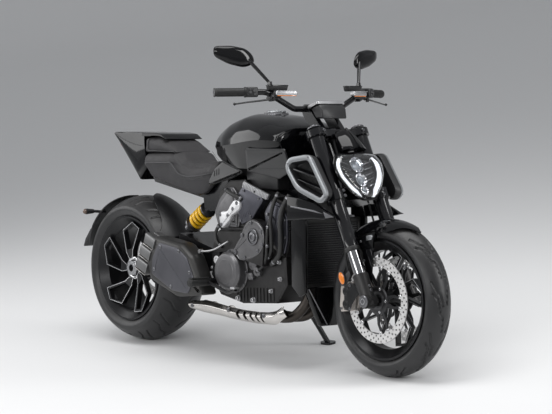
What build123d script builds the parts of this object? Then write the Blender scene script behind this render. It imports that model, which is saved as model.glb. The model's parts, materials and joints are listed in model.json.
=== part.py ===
from build123d import *
import os
from math import asin, copysign, cos, degrees, hypot, pi, radians, sin, sqrt

# A long, low power cruiser motorcycle. +X points forward, +Y to the left, +Z up, in millimetres.
# It is modelled upright, with the floor at Z = 0 and the origin midway between the two axles,
# and every finished piece is then leaned over to the left, onto the side stand.

os.makedirs("parts", exist_ok=True)

# ---------------------------------------------------------------- driving dimensions

WHEELBASE = 1593
RAKE = 26
TRAIL = 112
PARK_LEAN = 9

FRONT_TYRE_RADIUS = 300
FRONT_TYRE_HALF_WIDTH = 58
FRONT_CROWN_RADIUS = 63.3
FRONT_RIM_HALF_WIDTH = 44.5
REAR_TYRE_RADIUS = 324
REAR_TYRE_HALF_WIDTH = 117
REAR_CROWN_RADIUS = 166.6
REAR_RIM_HALF_WIDTH = 101.6
BEAD_RADIUS = 218.3
FLANGE_RADIUS = 232
FRONT_DISC_RADIUS = 165
REAR_DISC_RADIUS = 132.5

FORK_HALF_SPACING = 115
OUTER_TUBE_RADIUS = 30
STANCHION_RADIUS = 25
OUTER_TUBE_BOTTOM = 212
FORK_TOP = 728
LOWER_CLAMP_HEIGHT = 434
UPPER_CLAMP_HEIGHT = 690
FOOT_TOP = 108

SEAT_HEIGHT = 790
TANK_TOP = 1015
TANK_HALF_WIDTH = 205
RADIATOR_HALF_WIDTH = 152
BAR_END = 445
BAR_RADIUS = 12
GRIP_RADIUS = 17

FIT = 0.3            # gap between pieces that seat on each other
RUNNING_GAP = 6      # gap between pieces that move past each other

# ---------------------------------------------------------------- places worked out from them

FRONT_AXLE = Vector(WHEELBASE / 2, 0, FRONT_TYRE_RADIUS)
REAR_AXLE = Vector(-WHEELBASE / 2, 0, REAR_TYRE_RADIUS)
FORK_OFFSET = FRONT_TYRE_RADIUS * sin(radians(RAKE)) - TRAIL * cos(radians(RAKE))
FORK_FORWARD = Vector(cos(radians(RAKE)), 0, sin(radians(RAKE)))
FORK_UP = Vector(-sin(radians(RAKE)), 0, cos(radians(RAKE)))

# The steering plane lies across the steering axis, level with the front axle: X forward, Y left.
STEERING = Plane(origin=FRONT_AXLE - FORK_FORWARD * FORK_OFFSET, x_dir=FORK_FORWARD, z_dir=FORK_UP)
RIGHT_SIDE = Plane.XZ          # draws in X and Z; extrudes towards the right of the machine


def parked_place():
    """The lean of the parked machine, pitched and lifted so that both tyre crowns meet the floor."""
    flattening = 1 - cos(radians(PARK_LEAN))
    front_drop = FRONT_CROWN_RADIUS * flattening
    rear_drop = REAR_CROWN_RADIUS * flattening
    pitch = degrees(asin((rear_drop - front_drop) / WHEELBASE))
    lift = (front_drop + rear_drop) / 2
    return Location((0, 0, lift), (0, pitch, 0)) * Location((0, 0, 0), (-PARK_LEAN, 0, 0))


PARKED = parked_place()
FINISHED = {}


def finish_piece(piece, label):
    """Lean a finished piece as it parks and keep it under its name."""
    FINISHED[label] = piece.part.moved(PARKED)


def axle_section(axle):
    """The plane through an axle that holds its line: X to the left, Y away from the axle."""
    return Plane(origin=axle, x_dir=(0, 1, 0), z_dir=(1, 0, 0))


def wheel_face(axle, to_right=0):
    """A plane square to an axle, on the right of the wheel's middle: X forward, Y up."""
    return Plane(origin=axle + Vector(0, -to_right, 0), x_dir=(1, 0, 0), z_dir=(0, -1, 0))


def tube_path(points, bend_radius):
    """Straight runs through the points, joined by tangent bends of one radius."""
    return FilletPolyline(*points, radius=bend_radius)


# ---------------------------------------------------------------- wheels


def tyre_outline(radius, half_width, rim_half_width, shoulder, bulge):
    """Draw a tyre's section: round crown, bulging walls, and beads inside the rim's flanges."""
    bead = rim_half_width - FIT
    ThreePointArc((-half_width, shoulder), (0, radius), (half_width, shoulder))
    ThreePointArc((half_width, shoulder), (half_width + bulge, (shoulder + FLANGE_RADIUS) / 2),
                  (bead, FLANGE_RADIUS + 1))
    Polyline((bead, FLANGE_RADIUS + 1), (bead, BEAD_RADIUS + FIT), (-bead, BEAD_RADIUS + FIT),
             (-bead, FLANGE_RADIUS + 1))
    ThreePointArc((-bead, FLANGE_RADIUS + 1), (-half_width - bulge, (shoulder + FLANGE_RADIUS) / 2),
                  (-half_width, shoulder))


def rim_outline(half_width):
    """Draw half of a rim's barrel section: flange, bead seat and drop centre."""
    outer = half_width + 7
    Polyline((0, 200), (half_width - 34, 200), (half_width - 20, BEAD_RADIUS - 2),
             (half_width, BEAD_RADIUS), (half_width, FLANGE_RADIUS), (outer, FLANGE_RADIUS),
             (outer, FLANGE_RADIUS - 8), (half_width - 8, BEAD_RADIUS - 10),
             (half_width - 24, 191), (0, 191), (0, 200))


def crown_shoulder(radius, crown_radius, half_width):
    """The radius of a tyre at the edge of its round crown."""
    return radius - crown_radius + sqrt(crown_radius ** 2 - half_width ** 2)


FRONT_SHOULDER = crown_shoulder(FRONT_TYRE_RADIUS, FRONT_CROWN_RADIUS, FRONT_TYRE_HALF_WIDTH)
REAR_SHOULDER = crown_shoulder(REAR_TYRE_RADIUS, REAR_CROWN_RADIUS, REAR_TYRE_HALF_WIDTH)

with BuildPart() as front_tyre:
    with BuildSketch(axle_section(FRONT_AXLE)):
        with BuildLine():
            tyre_outline(FRONT_TYRE_RADIUS, FRONT_TYRE_HALF_WIDTH, FRONT_RIM_HALF_WIDTH,
                         FRONT_SHOULDER, 2)
        make_face()
    revolve(axis=Axis(FRONT_AXLE, (0, 1, 0)))
finish_piece(front_tyre, "front_tyre")

with BuildPart() as rear_tyre:
    with BuildSketch(axle_section(REAR_AXLE)):
        with BuildLine():
            tyre_outline(REAR_TYRE_RADIUS, REAR_TYRE_HALF_WIDTH, REAR_RIM_HALF_WIDTH,
                         REAR_SHOULDER, 4)
        make_face()
    revolve(axis=Axis(REAR_AXLE, (0, 1, 0)))
finish_piece(rear_tyre, "rear_tyre")

PETALS = 5
PETAL_START = 81
PETAL_SWIRL = 28

# A petal's corners: share of the way from hub to rim, and degrees to each side of its middle.
PETAL_CORNERS = [(0, -16), (0, 16), (0.2, 19), (0.78, 19), (1, 1), (0.92, -17), (0.2, -18)]
PETAL_HOLLOW = [(0.24, -18), (0.24, 19), (0.72, 19), (0.93, 1), (0.87, -17)]


def petal_corner(hub, rim, share, side, bar=0):
    """A corner of a petal that leans round the wheel, moved inwards by the width of its bar."""
    radius = hub + (rim - hub) * share
    inset = copysign(degrees(bar / radius), side) if abs(side) > 2 else 0
    turn = radians(side - inset + PETAL_SWIRL * (1 - share))
    return (radius * cos(turn), radius * sin(turn))


def draw_petals(hub, rim, bar):
    """Draw a wheel's ring of hollow petals."""
    with PolarLocations(0, PETALS, start_angle=PETAL_START):
        Polygon(*[petal_corner(hub, rim, *corner) for corner in PETAL_CORNERS], align=None)
        Polygon(*[petal_corner(hub, rim, *corner, bar) for corner in PETAL_HOLLOW], align=None,
                mode=Mode.SUBTRACT)


FRONT_HUB_RADIUS = 34
FRONT_HUB_HALF_LENGTH = 58
FRONT_AXLE_RADIUS = 12.5
FRONT_PETAL_BAR = 8
FRONT_PETAL_HALF_DEPTH = 11

with BuildPart() as front_rim:
    with BuildSketch(axle_section(FRONT_AXLE)):
        with BuildLine():
            rim_outline(FRONT_RIM_HALF_WIDTH)
        make_face()
        mirror(about=Plane.YZ)
    revolve(axis=Axis(FRONT_AXLE, (0, 1, 0)))
    with BuildSketch(wheel_face(FRONT_AXLE, FRONT_HUB_HALF_LENGTH)):
        Circle(FRONT_HUB_RADIUS)
    extrude(amount=-2 * FRONT_HUB_HALF_LENGTH)
    with BuildSketch(wheel_face(FRONT_AXLE, FRONT_PETAL_HALF_DEPTH)):
        draw_petals(FRONT_HUB_RADIUS - 3, 196, FRONT_PETAL_BAR)
    extrude(amount=-2 * FRONT_PETAL_HALF_DEPTH)
    with BuildSketch(wheel_face(FRONT_AXLE, FRONT_HUB_HALF_LENGTH)):
        Circle(FRONT_AXLE_RADIUS + FIT)
    extrude(amount=-2 * FRONT_HUB_HALF_LENGTH, mode=Mode.SUBTRACT)
finish_piece(front_rim, "front_rim")

REAR_HUB_RADIUS = 52
REAR_HUB_RIGHT = 74
REAR_HUB_LEFT = 48
REAR_AXLE_RADIUS = 25
REAR_PETAL_BAR = 9
DISH_HUB = 80
DISH_RIM = 104
PETAL_DEPTH = 26

with BuildPart() as rear_rim:
    with BuildSketch(axle_section(REAR_AXLE)):
        with BuildLine():
            rim_outline(REAR_RIM_HALF_WIDTH)
        make_face()
        mirror(about=Plane.YZ)
    revolve(axis=Axis(REAR_AXLE, (0, 1, 0)))
    with BuildSketch(wheel_face(REAR_AXLE, REAR_HUB_RIGHT)):
        Circle(REAR_HUB_RADIUS)
    extrude(amount=-REAR_HUB_RIGHT - REAR_HUB_LEFT)
    with BuildSketch(wheel_face(REAR_AXLE, DISH_RIM)):
        draw_petals(REAR_HUB_RADIUS - 4, 211, REAR_PETAL_BAR)
    extrude(amount=-(DISH_RIM - DISH_HUB + PETAL_DEPTH))
    # The petals lie in a shallow dish, further out at the rim than at the hub.
    with BuildSketch(axle_section(REAR_AXLE)):
        Polygon((-DISH_RIM - 30, 20), (-DISH_HUB, 20), (-DISH_HUB, REAR_HUB_RADIUS),
                (-DISH_RIM, 205), (-DISH_RIM - 30, 205), align=None)
        Polygon((PETAL_DEPTH - DISH_HUB, REAR_HUB_RADIUS + 2), (PETAL_DEPTH - DISH_RIM, 190),
                (-40, 190), (-40, REAR_HUB_RADIUS + 2), align=None)
    revolve(axis=Axis(REAR_AXLE, (0, 1, 0)), mode=Mode.SUBTRACT)
    with BuildSketch(wheel_face(REAR_AXLE, REAR_HUB_RIGHT)):
        Circle(REAR_AXLE_RADIUS + FIT)
    extrude(amount=-REAR_HUB_RIGHT - REAR_HUB_LEFT, mode=Mode.SUBTRACT)
finish_piece(rear_rim, "rear_rim")

DISC_OFFSET = 65
DISC_THICKNESS = 5

with BuildPart() as front_discs:
    for side in (-1, 1):
        with BuildSketch(wheel_face(FRONT_AXLE, side * DISC_OFFSET)):
            Circle(FRONT_DISC_RADIUS)
            Circle(FRONT_DISC_RADIUS - 36, mode=Mode.SUBTRACT)
        extrude(amount=side * DISC_THICKNESS)
        with BuildSketch(wheel_face(FRONT_AXLE, side * (FRONT_HUB_HALF_LENGTH + FIT))):
            Circle(50)
            Circle(FRONT_AXLE_RADIUS + 8, mode=Mode.SUBTRACT)
        extrude(amount=side * (DISC_OFFSET - FRONT_HUB_HALF_LENGTH - FIT))
        with BuildSketch(wheel_face(FRONT_AXLE, side * DISC_OFFSET)):
            Circle(56)
            with PolarLocations(0, 5, start_angle=10):
                Polygon((50, -14), (132, -7), (132, 7), (50, 14), align=None)
            with PolarLocations(FRONT_DISC_RADIUS - 41, 10, start_angle=10):
                Rectangle(14, 15)
            Circle(FRONT_AXLE_RADIUS + 8, mode=Mode.SUBTRACT)
        extrude(amount=side * DISC_THICKNESS)
finish_piece(front_discs, "front_discs")

with BuildPart() as rear_disc:
    with BuildSketch(wheel_face(REAR_AXLE, -REAR_HUB_LEFT - FIT)):
        Circle(REAR_DISC_RADIUS)
        Circle(REAR_AXLE_RADIUS + 6, mode=Mode.SUBTRACT)
        with PolarLocations(75, 6):
            Circle(22, mode=Mode.SUBTRACT)
    extrude(amount=-DISC_THICKNESS)
finish_piece(rear_disc, "rear_disc")

SPROCKET_TEETH = 43
CHAIN_PITCH = 15.875
SPROCKET_RADIUS = CHAIN_PITCH / (2 * sin(pi / SPROCKET_TEETH))
CHAIN_OFFSET = 165
SPROCKET_THICKNESS = 8
CHAIN_WIDTH = 22
CHAIN_HALF_HEIGHT = 8

with BuildPart() as rear_sprocket:
    with BuildSketch(wheel_face(REAR_AXLE, -CHAIN_OFFSET + SPROCKET_THICKNESS / 2)):
        Circle(SPROCKET_RADIUS - CHAIN_HALF_HEIGHT - FIT)
        Circle(REAR_AXLE_RADIUS + FIT, mode=Mode.SUBTRACT)
        with PolarLocations(70, 5):
            Circle(15, mode=Mode.SUBTRACT)
    extrude(amount=-SPROCKET_THICKNESS)
finish_piece(rear_sprocket, "rear_sprocket")

# The rear axle is a hollow stub that turns in the swingarm and carries hub, disc and sprocket.
with BuildPart() as rear_stub_axle:
    with BuildSketch(wheel_face(REAR_AXLE, REAR_HUB_RIGHT + 16)):
        Circle(REAR_AXLE_RADIUS)
        Circle(REAR_AXLE_RADIUS - 9, mode=Mode.SUBTRACT)
    extrude(amount=-(REAR_HUB_RIGHT + 16) - CHAIN_OFFSET - SPROCKET_THICKNESS)
    with BuildSketch(wheel_face(REAR_AXLE, REAR_HUB_RIGHT + FIT)):
        RegularPolygon(REAR_AXLE_RADIUS + 11, 6)
        Circle(REAR_AXLE_RADIUS - 1, mode=Mode.SUBTRACT)
    extrude(amount=14)
finish_piece(rear_stub_axle, "rear_stub_axle")

# ---------------------------------------------------------------- fork and steering


def fork_plane(height):
    """A plane across the steering axis, at a height along it above the front axle."""
    return STEERING.offset(height)


def fork_side_plane(to_right=0):
    """A plane along the fork: X forward, Y up the steering axis, on the right of the middle."""
    return Plane(origin=STEERING.origin + Vector(0, -to_right, 0), x_dir=FORK_FORWARD,
                 z_dir=(0, -1, 0))


def fork_front_plane(forward):
    """A plane across the fork, ahead of the steering axis: X to the left, Y up, facing forward."""
    return Plane(origin=STEERING.origin + FORK_FORWARD * forward, x_dir=(0, 1, 0),
                 z_dir=FORK_FORWARD)


def fork_point(forward, left, height):
    """A point given beside the steering axis: forward of it, to the left, and up along it."""
    return STEERING.from_local_coords(Vector(forward, left, height))


BOTH_TUBES = [(FORK_OFFSET, -FORK_HALF_SPACING), (FORK_OFFSET, FORK_HALF_SPACING)]

with BuildPart() as fork_outer_tubes:
    with BuildSketch(fork_plane(OUTER_TUBE_BOTTOM)):
        with Locations(*BOTH_TUBES):
            Circle(OUTER_TUBE_RADIUS)
            Circle(STANCHION_RADIUS + FIT, mode=Mode.SUBTRACT)
    extrude(amount=FORK_TOP - OUTER_TUBE_BOTTOM - 10)
    with BuildSketch(fork_plane(FORK_TOP - 10)):
        with Locations(*BOTH_TUBES):
            Circle(OUTER_TUBE_RADIUS - 1)
    extrude(amount=10)
finish_piece(fork_outer_tubes, "fork_outer_tubes")

with BuildPart() as fork_stanchions:
    with BuildSketch(fork_plane(FOOT_TOP - 30)):
        with Locations(*BOTH_TUBES):
            Circle(STANCHION_RADIUS)
    extrude(amount=OUTER_TUBE_BOTTOM + 180 - FOOT_TOP)
finish_piece(fork_stanchions, "fork_stanchions")

FOOT_RADIUS = 31
AXLE_EYE_RADIUS = 27
FOOT_BOTTOM = -AXLE_EYE_RADIUS + 6

with BuildPart() as fork_feet:
    for side in (-1, 1):
        with BuildSketch(fork_plane(FOOT_BOTTOM)):
            with Locations((FORK_OFFSET, side * FORK_HALF_SPACING)):
                Circle(FOOT_RADIUS - 5)
        with BuildSketch(fork_plane(FOOT_TOP)):
            with Locations((FORK_OFFSET, side * FORK_HALF_SPACING)):
                Circle(FOOT_RADIUS)
        loft()
        with BuildSketch(wheel_face(FRONT_AXLE, side * (FORK_HALF_SPACING - 24))):
            Circle(AXLE_EYE_RADIUS)
        extrude(amount=side * 48)
    with BuildSketch(fork_plane(FOOT_TOP - 30 - FIT)):
        with Locations(*BOTH_TUBES):
            Circle(STANCHION_RADIUS + FIT)
    extrude(amount=60, mode=Mode.SUBTRACT)
    with BuildSketch(wheel_face(FRONT_AXLE, FORK_HALF_SPACING + 60)):
        Circle(FRONT_AXLE_RADIUS + FIT)
    extrude(amount=-2 * FORK_HALF_SPACING - 120, mode=Mode.SUBTRACT)
finish_piece(fork_feet, "fork_feet")

with BuildPart() as front_axle:
    with BuildSketch(wheel_face(FRONT_AXLE, FORK_HALF_SPACING + 32)):
        Circle(FRONT_AXLE_RADIUS)
        Circle(FRONT_AXLE_RADIUS - 4, mode=Mode.SUBTRACT)
    extrude(amount=-2 * FORK_HALF_SPACING - 64)
finish_piece(front_axle, "front_axle")


def clamp_outline(thick_from_tube):
    """Draw a fork clamp seen along the steering axis: two tube bosses on a waisted bridge."""
    Polygon((-32, 0), (-26, -46), (FORK_OFFSET - 22, -FORK_HALF_SPACING),
            (FORK_OFFSET + 26, -FORK_HALF_SPACING), (FORK_OFFSET + 16, -66),
            (FORK_OFFSET + 16, 66), (FORK_OFFSET + 26, FORK_HALF_SPACING),
            (FORK_OFFSET - 22, FORK_HALF_SPACING), (-26, 46), align=None)
    with Locations(*BOTH_TUBES):
        Circle(OUTER_TUBE_RADIUS + thick_from_tube)


STEM_RADIUS = 19

with BuildPart() as lower_fork_clamp:
    with BuildSketch(fork_plane(LOWER_CLAMP_HEIGHT - 20)):
        clamp_outline(10)
        with Locations(*BOTH_TUBES):
            Circle(OUTER_TUBE_RADIUS + FIT, mode=Mode.SUBTRACT)
    extrude(amount=40)
    with BuildSketch(fork_plane(LOWER_CLAMP_HEIGHT)):
        Circle(STEM_RADIUS)
    extrude(amount=UPPER_CLAMP_HEIGHT - LOWER_CLAMP_HEIGHT + 34)
finish_piece(lower_fork_clamp, "lower_fork_clamp")

with BuildPart() as upper_fork_clamp:
    with BuildSketch(fork_plane(UPPER_CLAMP_HEIGHT)):
        clamp_outline(9)
        with Locations(*BOTH_TUBES):
            Circle(OUTER_TUBE_RADIUS + FIT, mode=Mode.SUBTRACT)
        Circle(STEM_RADIUS + FIT, mode=Mode.SUBTRACT)
    extrude(amount=28)
finish_piece(upper_fork_clamp, "upper_fork_clamp")

# The handlebar: straight over its risers, up and out, then swept back to the grips.
BAR_MIDDLE = fork_point(-38.8, 0, 848.4)
BAR_BEND = BAR_MIDDLE + Vector(0, 118, 0)
BAR_SHOULDER = BAR_MIDDLE + Vector(-10, 252, 67)
BAR_TIP = BAR_MIDDLE + Vector(-100, BAR_END, 64)


def to_right(point):
    """The mirror image of a point, on the right of the machine."""
    return Vector(point.X, -point.Y, point.Z)


BAR_POINTS = [to_right(BAR_TIP), to_right(BAR_SHOULDER), to_right(BAR_BEND),
              BAR_BEND, BAR_SHOULDER, BAR_TIP]
GRIP_DIRECTION = (BAR_TIP - BAR_SHOULDER).normalized()
GRIP_LENGTH = 128
RISER_FOOT = UPPER_CLAMP_HEIGHT + 28 + FIT

with BuildPart() as handlebar:
    with BuildLine():
        bar_line = tube_path(BAR_POINTS, 60)
    with BuildSketch(Plane(origin=bar_line @ 0, z_dir=bar_line % 0)):
        Circle(BAR_RADIUS)
    sweep()
    for side in (-1, 1):
        with BuildSketch(fork_side_plane(side * 38)):
            with BuildLine():
                Polyline((-30, RISER_FOOT), (22, RISER_FOOT), (-20, RISER_FOOT + 140),
                         (-58, RISER_FOOT + 146), (-60, RISER_FOOT + 112), (-30, RISER_FOOT))
            make_face()
        extrude(amount=side * 24)
finish_piece(handlebar, "handlebar")

with BuildPart() as hand_grips:
    with BuildSketch(Plane(origin=BAR_TIP, z_dir=-GRIP_DIRECTION)):
        Circle(GRIP_RADIUS)
        Circle(BAR_RADIUS + FIT, mode=Mode.SUBTRACT)
    extrude(amount=GRIP_LENGTH)
    mirror(about=Plane.XZ)
finish_piece(hand_grips, "hand_grips")

# On each side: a switch housing on the bar, a lever, and a fluid reservoir on its pump.
BAR_RISE = (BAR_SHOULDER - BAR_BEND).normalized()
PERCH = BAR_SHOULDER - BAR_RISE * 40
SWITCH_START = BAR_TIP - GRIP_DIRECTION * (GRIP_LENGTH + 2)
LEVER_PERCH = BAR_MIDDLE + Vector(18, 222, 48)
LEVER_PIVOT = BAR_MIDDLE + Vector(20, 262, 38)
RESERVOIR_TOP = 95           # above the bar's middle
LEVER_TIP = BAR_MIDDLE + Vector(-26, 396, 20)

with BuildPart() as hand_controls:
    with BuildSketch(Plane(origin=SWITCH_START, z_dir=-GRIP_DIRECTION)):
        RectangleRounded(44, 40, 10)
        Circle(BAR_RADIUS + FIT, mode=Mode.SUBTRACT)
    extrude(amount=44)
    with BuildSketch(Plane(origin=PERCH, x_dir=(1, 0, 0), z_dir=BAR_RISE)):
        with Locations((9, -9)):
            Rectangle(50, 50)
        Circle(BAR_RADIUS + FIT, mode=Mode.SUBTRACT)
    extrude(amount=14)
    with BuildLine():
        Polyline(LEVER_PERCH, LEVER_PIVOT, LEVER_TIP)
    with BuildSketch(Plane(origin=LEVER_PERCH, z_dir=LEVER_PIVOT - LEVER_PERCH)):
        Circle(6)
    sweep(transition=Transition.ROUND)
    with BuildSketch(Plane(BAR_MIDDLE + Vector(0, 0, RESERVOIR_TOP - 16))):
        Polygon((-22, 152), (16, 152), (8, 248), (-30, 248), align=None)
    extrude(amount=16)
    mirror(about=Plane.XZ)
finish_piece(hand_controls, "hand_controls")

with BuildPart() as bar_indicators:
    with BuildSketch(Plane(BAR_MIDDLE + Vector(0, 0, 54))):
        Polygon((31, 151), (62, 151), (38, 240), (25.6, 240), align=None)
    extrude(amount=17)
    mirror(about=Plane.XZ)
finish_piece(bar_indicators, "bar_indicators")

MIRROR_FOOT = BAR_MIDDLE + Vector(-10, 236, RESERVOIR_TOP + FIT)
MIRROR_STEM = MIRROR_FOOT + Vector(0, 0, 8)
MIRROR_NECK = BAR_MIDDLE + Vector(-62, 286, 173)
MIRROR_INNER = BAR_MIDDLE + Vector(-65, 266, 188)
MIRROR_OUTWARD = Vector(-47, 163, 0)

with BuildPart() as mirrors:
    with BuildSketch(Plane(origin=MIRROR_INNER, x_dir=MIRROR_OUTWARD, z_dir=(163, 47, 0))):
        Polygon((0, 0), (8, 26), (38, 50), (100, 60), (172, 60), (176, 18), (110, -12), (48, -26),
                align=None)
    extrude(amount=11, both=True)
    with BuildSketch(Plane(origin=MIRROR_STEM, z_dir=MIRROR_NECK - MIRROR_STEM)):
        Circle(5)
    extrude(amount=(MIRROR_NECK - MIRROR_STEM).length + 8)
    with BuildSketch(Plane(origin=MIRROR_FOOT, z_dir=(0, 0, 1))):
        Circle(9)
    extrude(amount=12)
    mirror(about=Plane.XZ)
finish_piece(mirrors, "mirrors")

# ---------------------------------------------------------------- headlight and front body


def headlight_outline(scale_by):
    """Draw the shield outline of the headlight, wide above and narrow below."""
    Polygon(*[(y * scale_by, 500 + (h - 500) * scale_by) for y, h in HEADLIGHT_OUTLINE], align=None)


HEADLIGHT_HALF = [(0, 602), (104, 592), (130, 548), (124, 500), (84, 432), (34, 393)]
HEADLIGHT_OUTLINE = HEADLIGHT_HALF + [(-y, h) for y, h in reversed(HEADLIGHT_HALF) if y]
LIGHT_BACK = FORK_OFFSET + 16 + FIT
LIGHT_RIM = 86

LENS_WALL = 3
LIGHT_FLOOR = 60

with BuildPart() as headlight:
    with BuildSketch(fork_front_plane(LIGHT_BACK)):
        headlight_outline(0.68)
    with BuildSketch(fork_front_plane(LIGHT_RIM)):
        headlight_outline(1)
    loft()
    with BuildSketch(fork_front_plane(LIGHT_FLOOR)):
        headlight_outline(0.74)
    with BuildSketch(fork_front_plane(LIGHT_RIM)):
        headlight_outline(0.9)
    loft(mode=Mode.SUBTRACT)
finish_piece(headlight, "headlight")

# Inside: a stepped bezel with a high and a low projector.
with BuildPart() as headlight_units:
    with BuildSketch(fork_front_plane(LIGHT_FLOOR + FIT)):
        headlight_outline(0.7)
    extrude(amount=8)
    with BuildSketch(fork_front_plane(LIGHT_FLOOR + 8)):
        with Locations((0, 545)):
            Circle(27)
        with Locations((0, 482)):
            Circle(22)
        with Locations((0, 436)):
            Circle(13)
    extrude(amount=15)
finish_piece(headlight_units, "headlight_units")

with BuildPart() as headlight_lens:
    with BuildSketch(fork_front_plane(LIGHT_RIM + FIT)):
        headlight_outline(0.98)
    with BuildSketch(fork_front_plane(LIGHT_RIM + 22)):
        headlight_outline(0.86)
    loft()
    with BuildSketch(fork_front_plane(LIGHT_RIM)):
        headlight_outline(0.95)
    with BuildSketch(fork_front_plane(LIGHT_RIM + 22 - LENS_WALL)):
        headlight_outline(0.83)
    loft(mode=Mode.SUBTRACT)
finish_piece(headlight_lens, "headlight_lens")

with BuildPart() as headlight_cowl:
    with BuildSketch(fork_side_plane()):
        Polygon((56, 602.5), (128, 602.5), (110, 655), (84, 702), (56, 700), align=None)
    extrude(amount=64, both=True)
finish_piece(headlight_cowl, "headlight_cowl")

with BuildPart() as instrument_display:
    with BuildSketch(Plane(BAR_MIDDLE, x_dir=(1, 0, 0), z_dir=(0, -1, 0))):
        Polygon((24, 14), (20, 26), (46, 33), (108, -5), (112, -40), (66, -40), align=None)
    extrude(amount=75, both=True)
finish_piece(instrument_display, "instrument_display")


def radial_section(axle, angle):
    """The plane through an axle at an angle up from forward: X to the left, Y away from the axle."""
    tilt = radians(angle)
    return Plane(origin=axle, x_dir=(0, 1, 0), z_dir=(sin(tilt), 0, -cos(tilt)))


FENDER_GAP = 14
FENDER_HALF_WIDTH = 74
FENDER_EDGE = 262
FENDER_WALL = 4
FENDER_BACK = 125
FENDER_FRONT = 58
FENDER_ARM_INNER = 77

with BuildPart() as front_fender:
    with BuildSketch(radial_section(FRONT_AXLE, FENDER_BACK)):
        with BuildLine():
            ThreePointArc((-FENDER_HALF_WIDTH, FENDER_EDGE),
                          (0, FRONT_TYRE_RADIUS + FENDER_GAP + FENDER_WALL),
                          (FENDER_HALF_WIDTH, FENDER_EDGE))
            Line((FENDER_HALF_WIDTH, FENDER_EDGE), (FENDER_HALF_WIDTH - FENDER_WALL, FENDER_EDGE))
            ThreePointArc((FENDER_HALF_WIDTH - FENDER_WALL, FENDER_EDGE),
                          (0, FRONT_TYRE_RADIUS + FENDER_GAP),
                          (FENDER_WALL - FENDER_HALF_WIDTH, FENDER_EDGE))
            Line((FENDER_WALL - FENDER_HALF_WIDTH, FENDER_EDGE), (-FENDER_HALF_WIDTH, FENDER_EDGE))
        make_face()
    revolve(axis=Axis(FRONT_AXLE, (0, 1, 0)), revolution_arc=FENDER_BACK - FENDER_FRONT)
    with BuildSketch(wheel_face(FRONT_AXLE, FENDER_HALF_WIDTH - 5)):
        Polygon((-120, 226), (0, 264), (-8, 236), (-110, 200), align=None)
    extrude(amount=FORK_HALF_SPACING - FOOT_RADIUS - FIT - FENDER_HALF_WIDTH + 5)
    with BuildSketch(wheel_face(FRONT_AXLE, FENDER_ARM_INNER)):
        Polygon((-100, 214), (-8, 244), (-22, 74), (-50, 84), (-66, 180), align=None)
    extrude(amount=FORK_HALF_SPACING - OUTER_TUBE_RADIUS - FIT - FENDER_ARM_INNER)
    with BuildSketch(fork_plane(FOOT_BOTTOM)):
        with Locations((FORK_OFFSET, -FORK_HALF_SPACING)):
            Circle(FOOT_RADIUS - 5 + FIT)
    with BuildSketch(fork_plane(FOOT_TOP)):
        with Locations((FORK_OFFSET, -FORK_HALF_SPACING)):
            Circle(FOOT_RADIUS + FIT)
    loft(mode=Mode.SUBTRACT)
    mirror(about=Plane.XZ)
finish_piece(front_fender, "front_fender")

CALIPER_INNER = 44
CALIPER_OUTER = 100
DISC_SLOT = 3

with BuildPart() as front_calipers:
    with BuildSketch(wheel_face(FRONT_AXLE, CALIPER_INNER)):
        Polygon((-185, -40), (-178, -58), (-120, -50), (-112, 52), (-150, 66), (-178, 50), align=None)
    extrude(amount=CALIPER_OUTER - CALIPER_INNER)
    with BuildSketch(wheel_face(FRONT_AXLE, CALIPER_OUTER - 14)):
        Polygon((-130, -16), (-130, 44), (-60, 60), (-38.5, 20), align=None)
    extrude(amount=14)
    with BuildSketch(wheel_face(FRONT_AXLE, CALIPER_OUTER)):
        with Locations((-143, -22), (-143, 24)):
            Circle(17)
    extrude(amount=5)
    with BuildSketch(wheel_face(FRONT_AXLE, DISC_OFFSET - DISC_SLOT)):
        Circle(FRONT_DISC_RADIUS + DISC_SLOT)
    extrude(amount=DISC_THICKNESS + 2 * DISC_SLOT, mode=Mode.SUBTRACT)
    mirror(about=Plane.XZ)
finish_piece(front_calipers, "front_calipers")

# ---------------------------------------------------------------- frame and engine

SWINGARM_PIVOT = Vector(-92, 0, 407)
PIVOT_RADIUS = 14
HEADSTOCK_RADIUS = 34
NECK_LOW = fork_point(2, 0, 481)
NECK_HIGH = fork_point(2, 0, 668)

with BuildPart() as main_frame:
    with BuildSketch(fork_plane(LOWER_CLAMP_HEIGHT + 22)):
        Circle(HEADSTOCK_RADIUS)
    extrude(amount=UPPER_CLAMP_HEIGHT - LOWER_CLAMP_HEIGHT - 24)
    for side in (-1, 1):
        with BuildSketch(RIGHT_SIDE.offset(side * 24)):
            Polygon((NECK_LOW.X, NECK_LOW.Z), (NECK_HIGH.X, NECK_HIGH.Z), (400, 880), (346, 788),
                    (228, 788.8), (130, 788.8), (104.5, 700.5), (240, 676.4), (310, 660.4),
                    (460, 700), align=None)
        extrude(amount=side * 12)
        with BuildSketch(RIGHT_SIDE.offset(side * 58)):
            Polygon((-123, 606), (-112, 668), (-125, 749.7), (-660, 749.7), (-640, 715), (-290, 655),
                    (-284, 612), (-240, 600), (-180, 606), align=None)
        extrude(amount=side * 12)
    with BuildSketch(fork_plane(LOWER_CLAMP_HEIGHT + 10)):
        Circle(STEM_RADIUS + FIT)
    extrude(amount=UPPER_CLAMP_HEIGHT - LOWER_CLAMP_HEIGHT, mode=Mode.SUBTRACT)
finish_piece(main_frame, "main_frame")

CRANKCASE_HALF_WIDTH = 140
CYLINDER_HALF_WIDTH = 130
FIN_PITCH = 15
FIN_GROOVE = 7
FIN_DEPTH = 9

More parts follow.
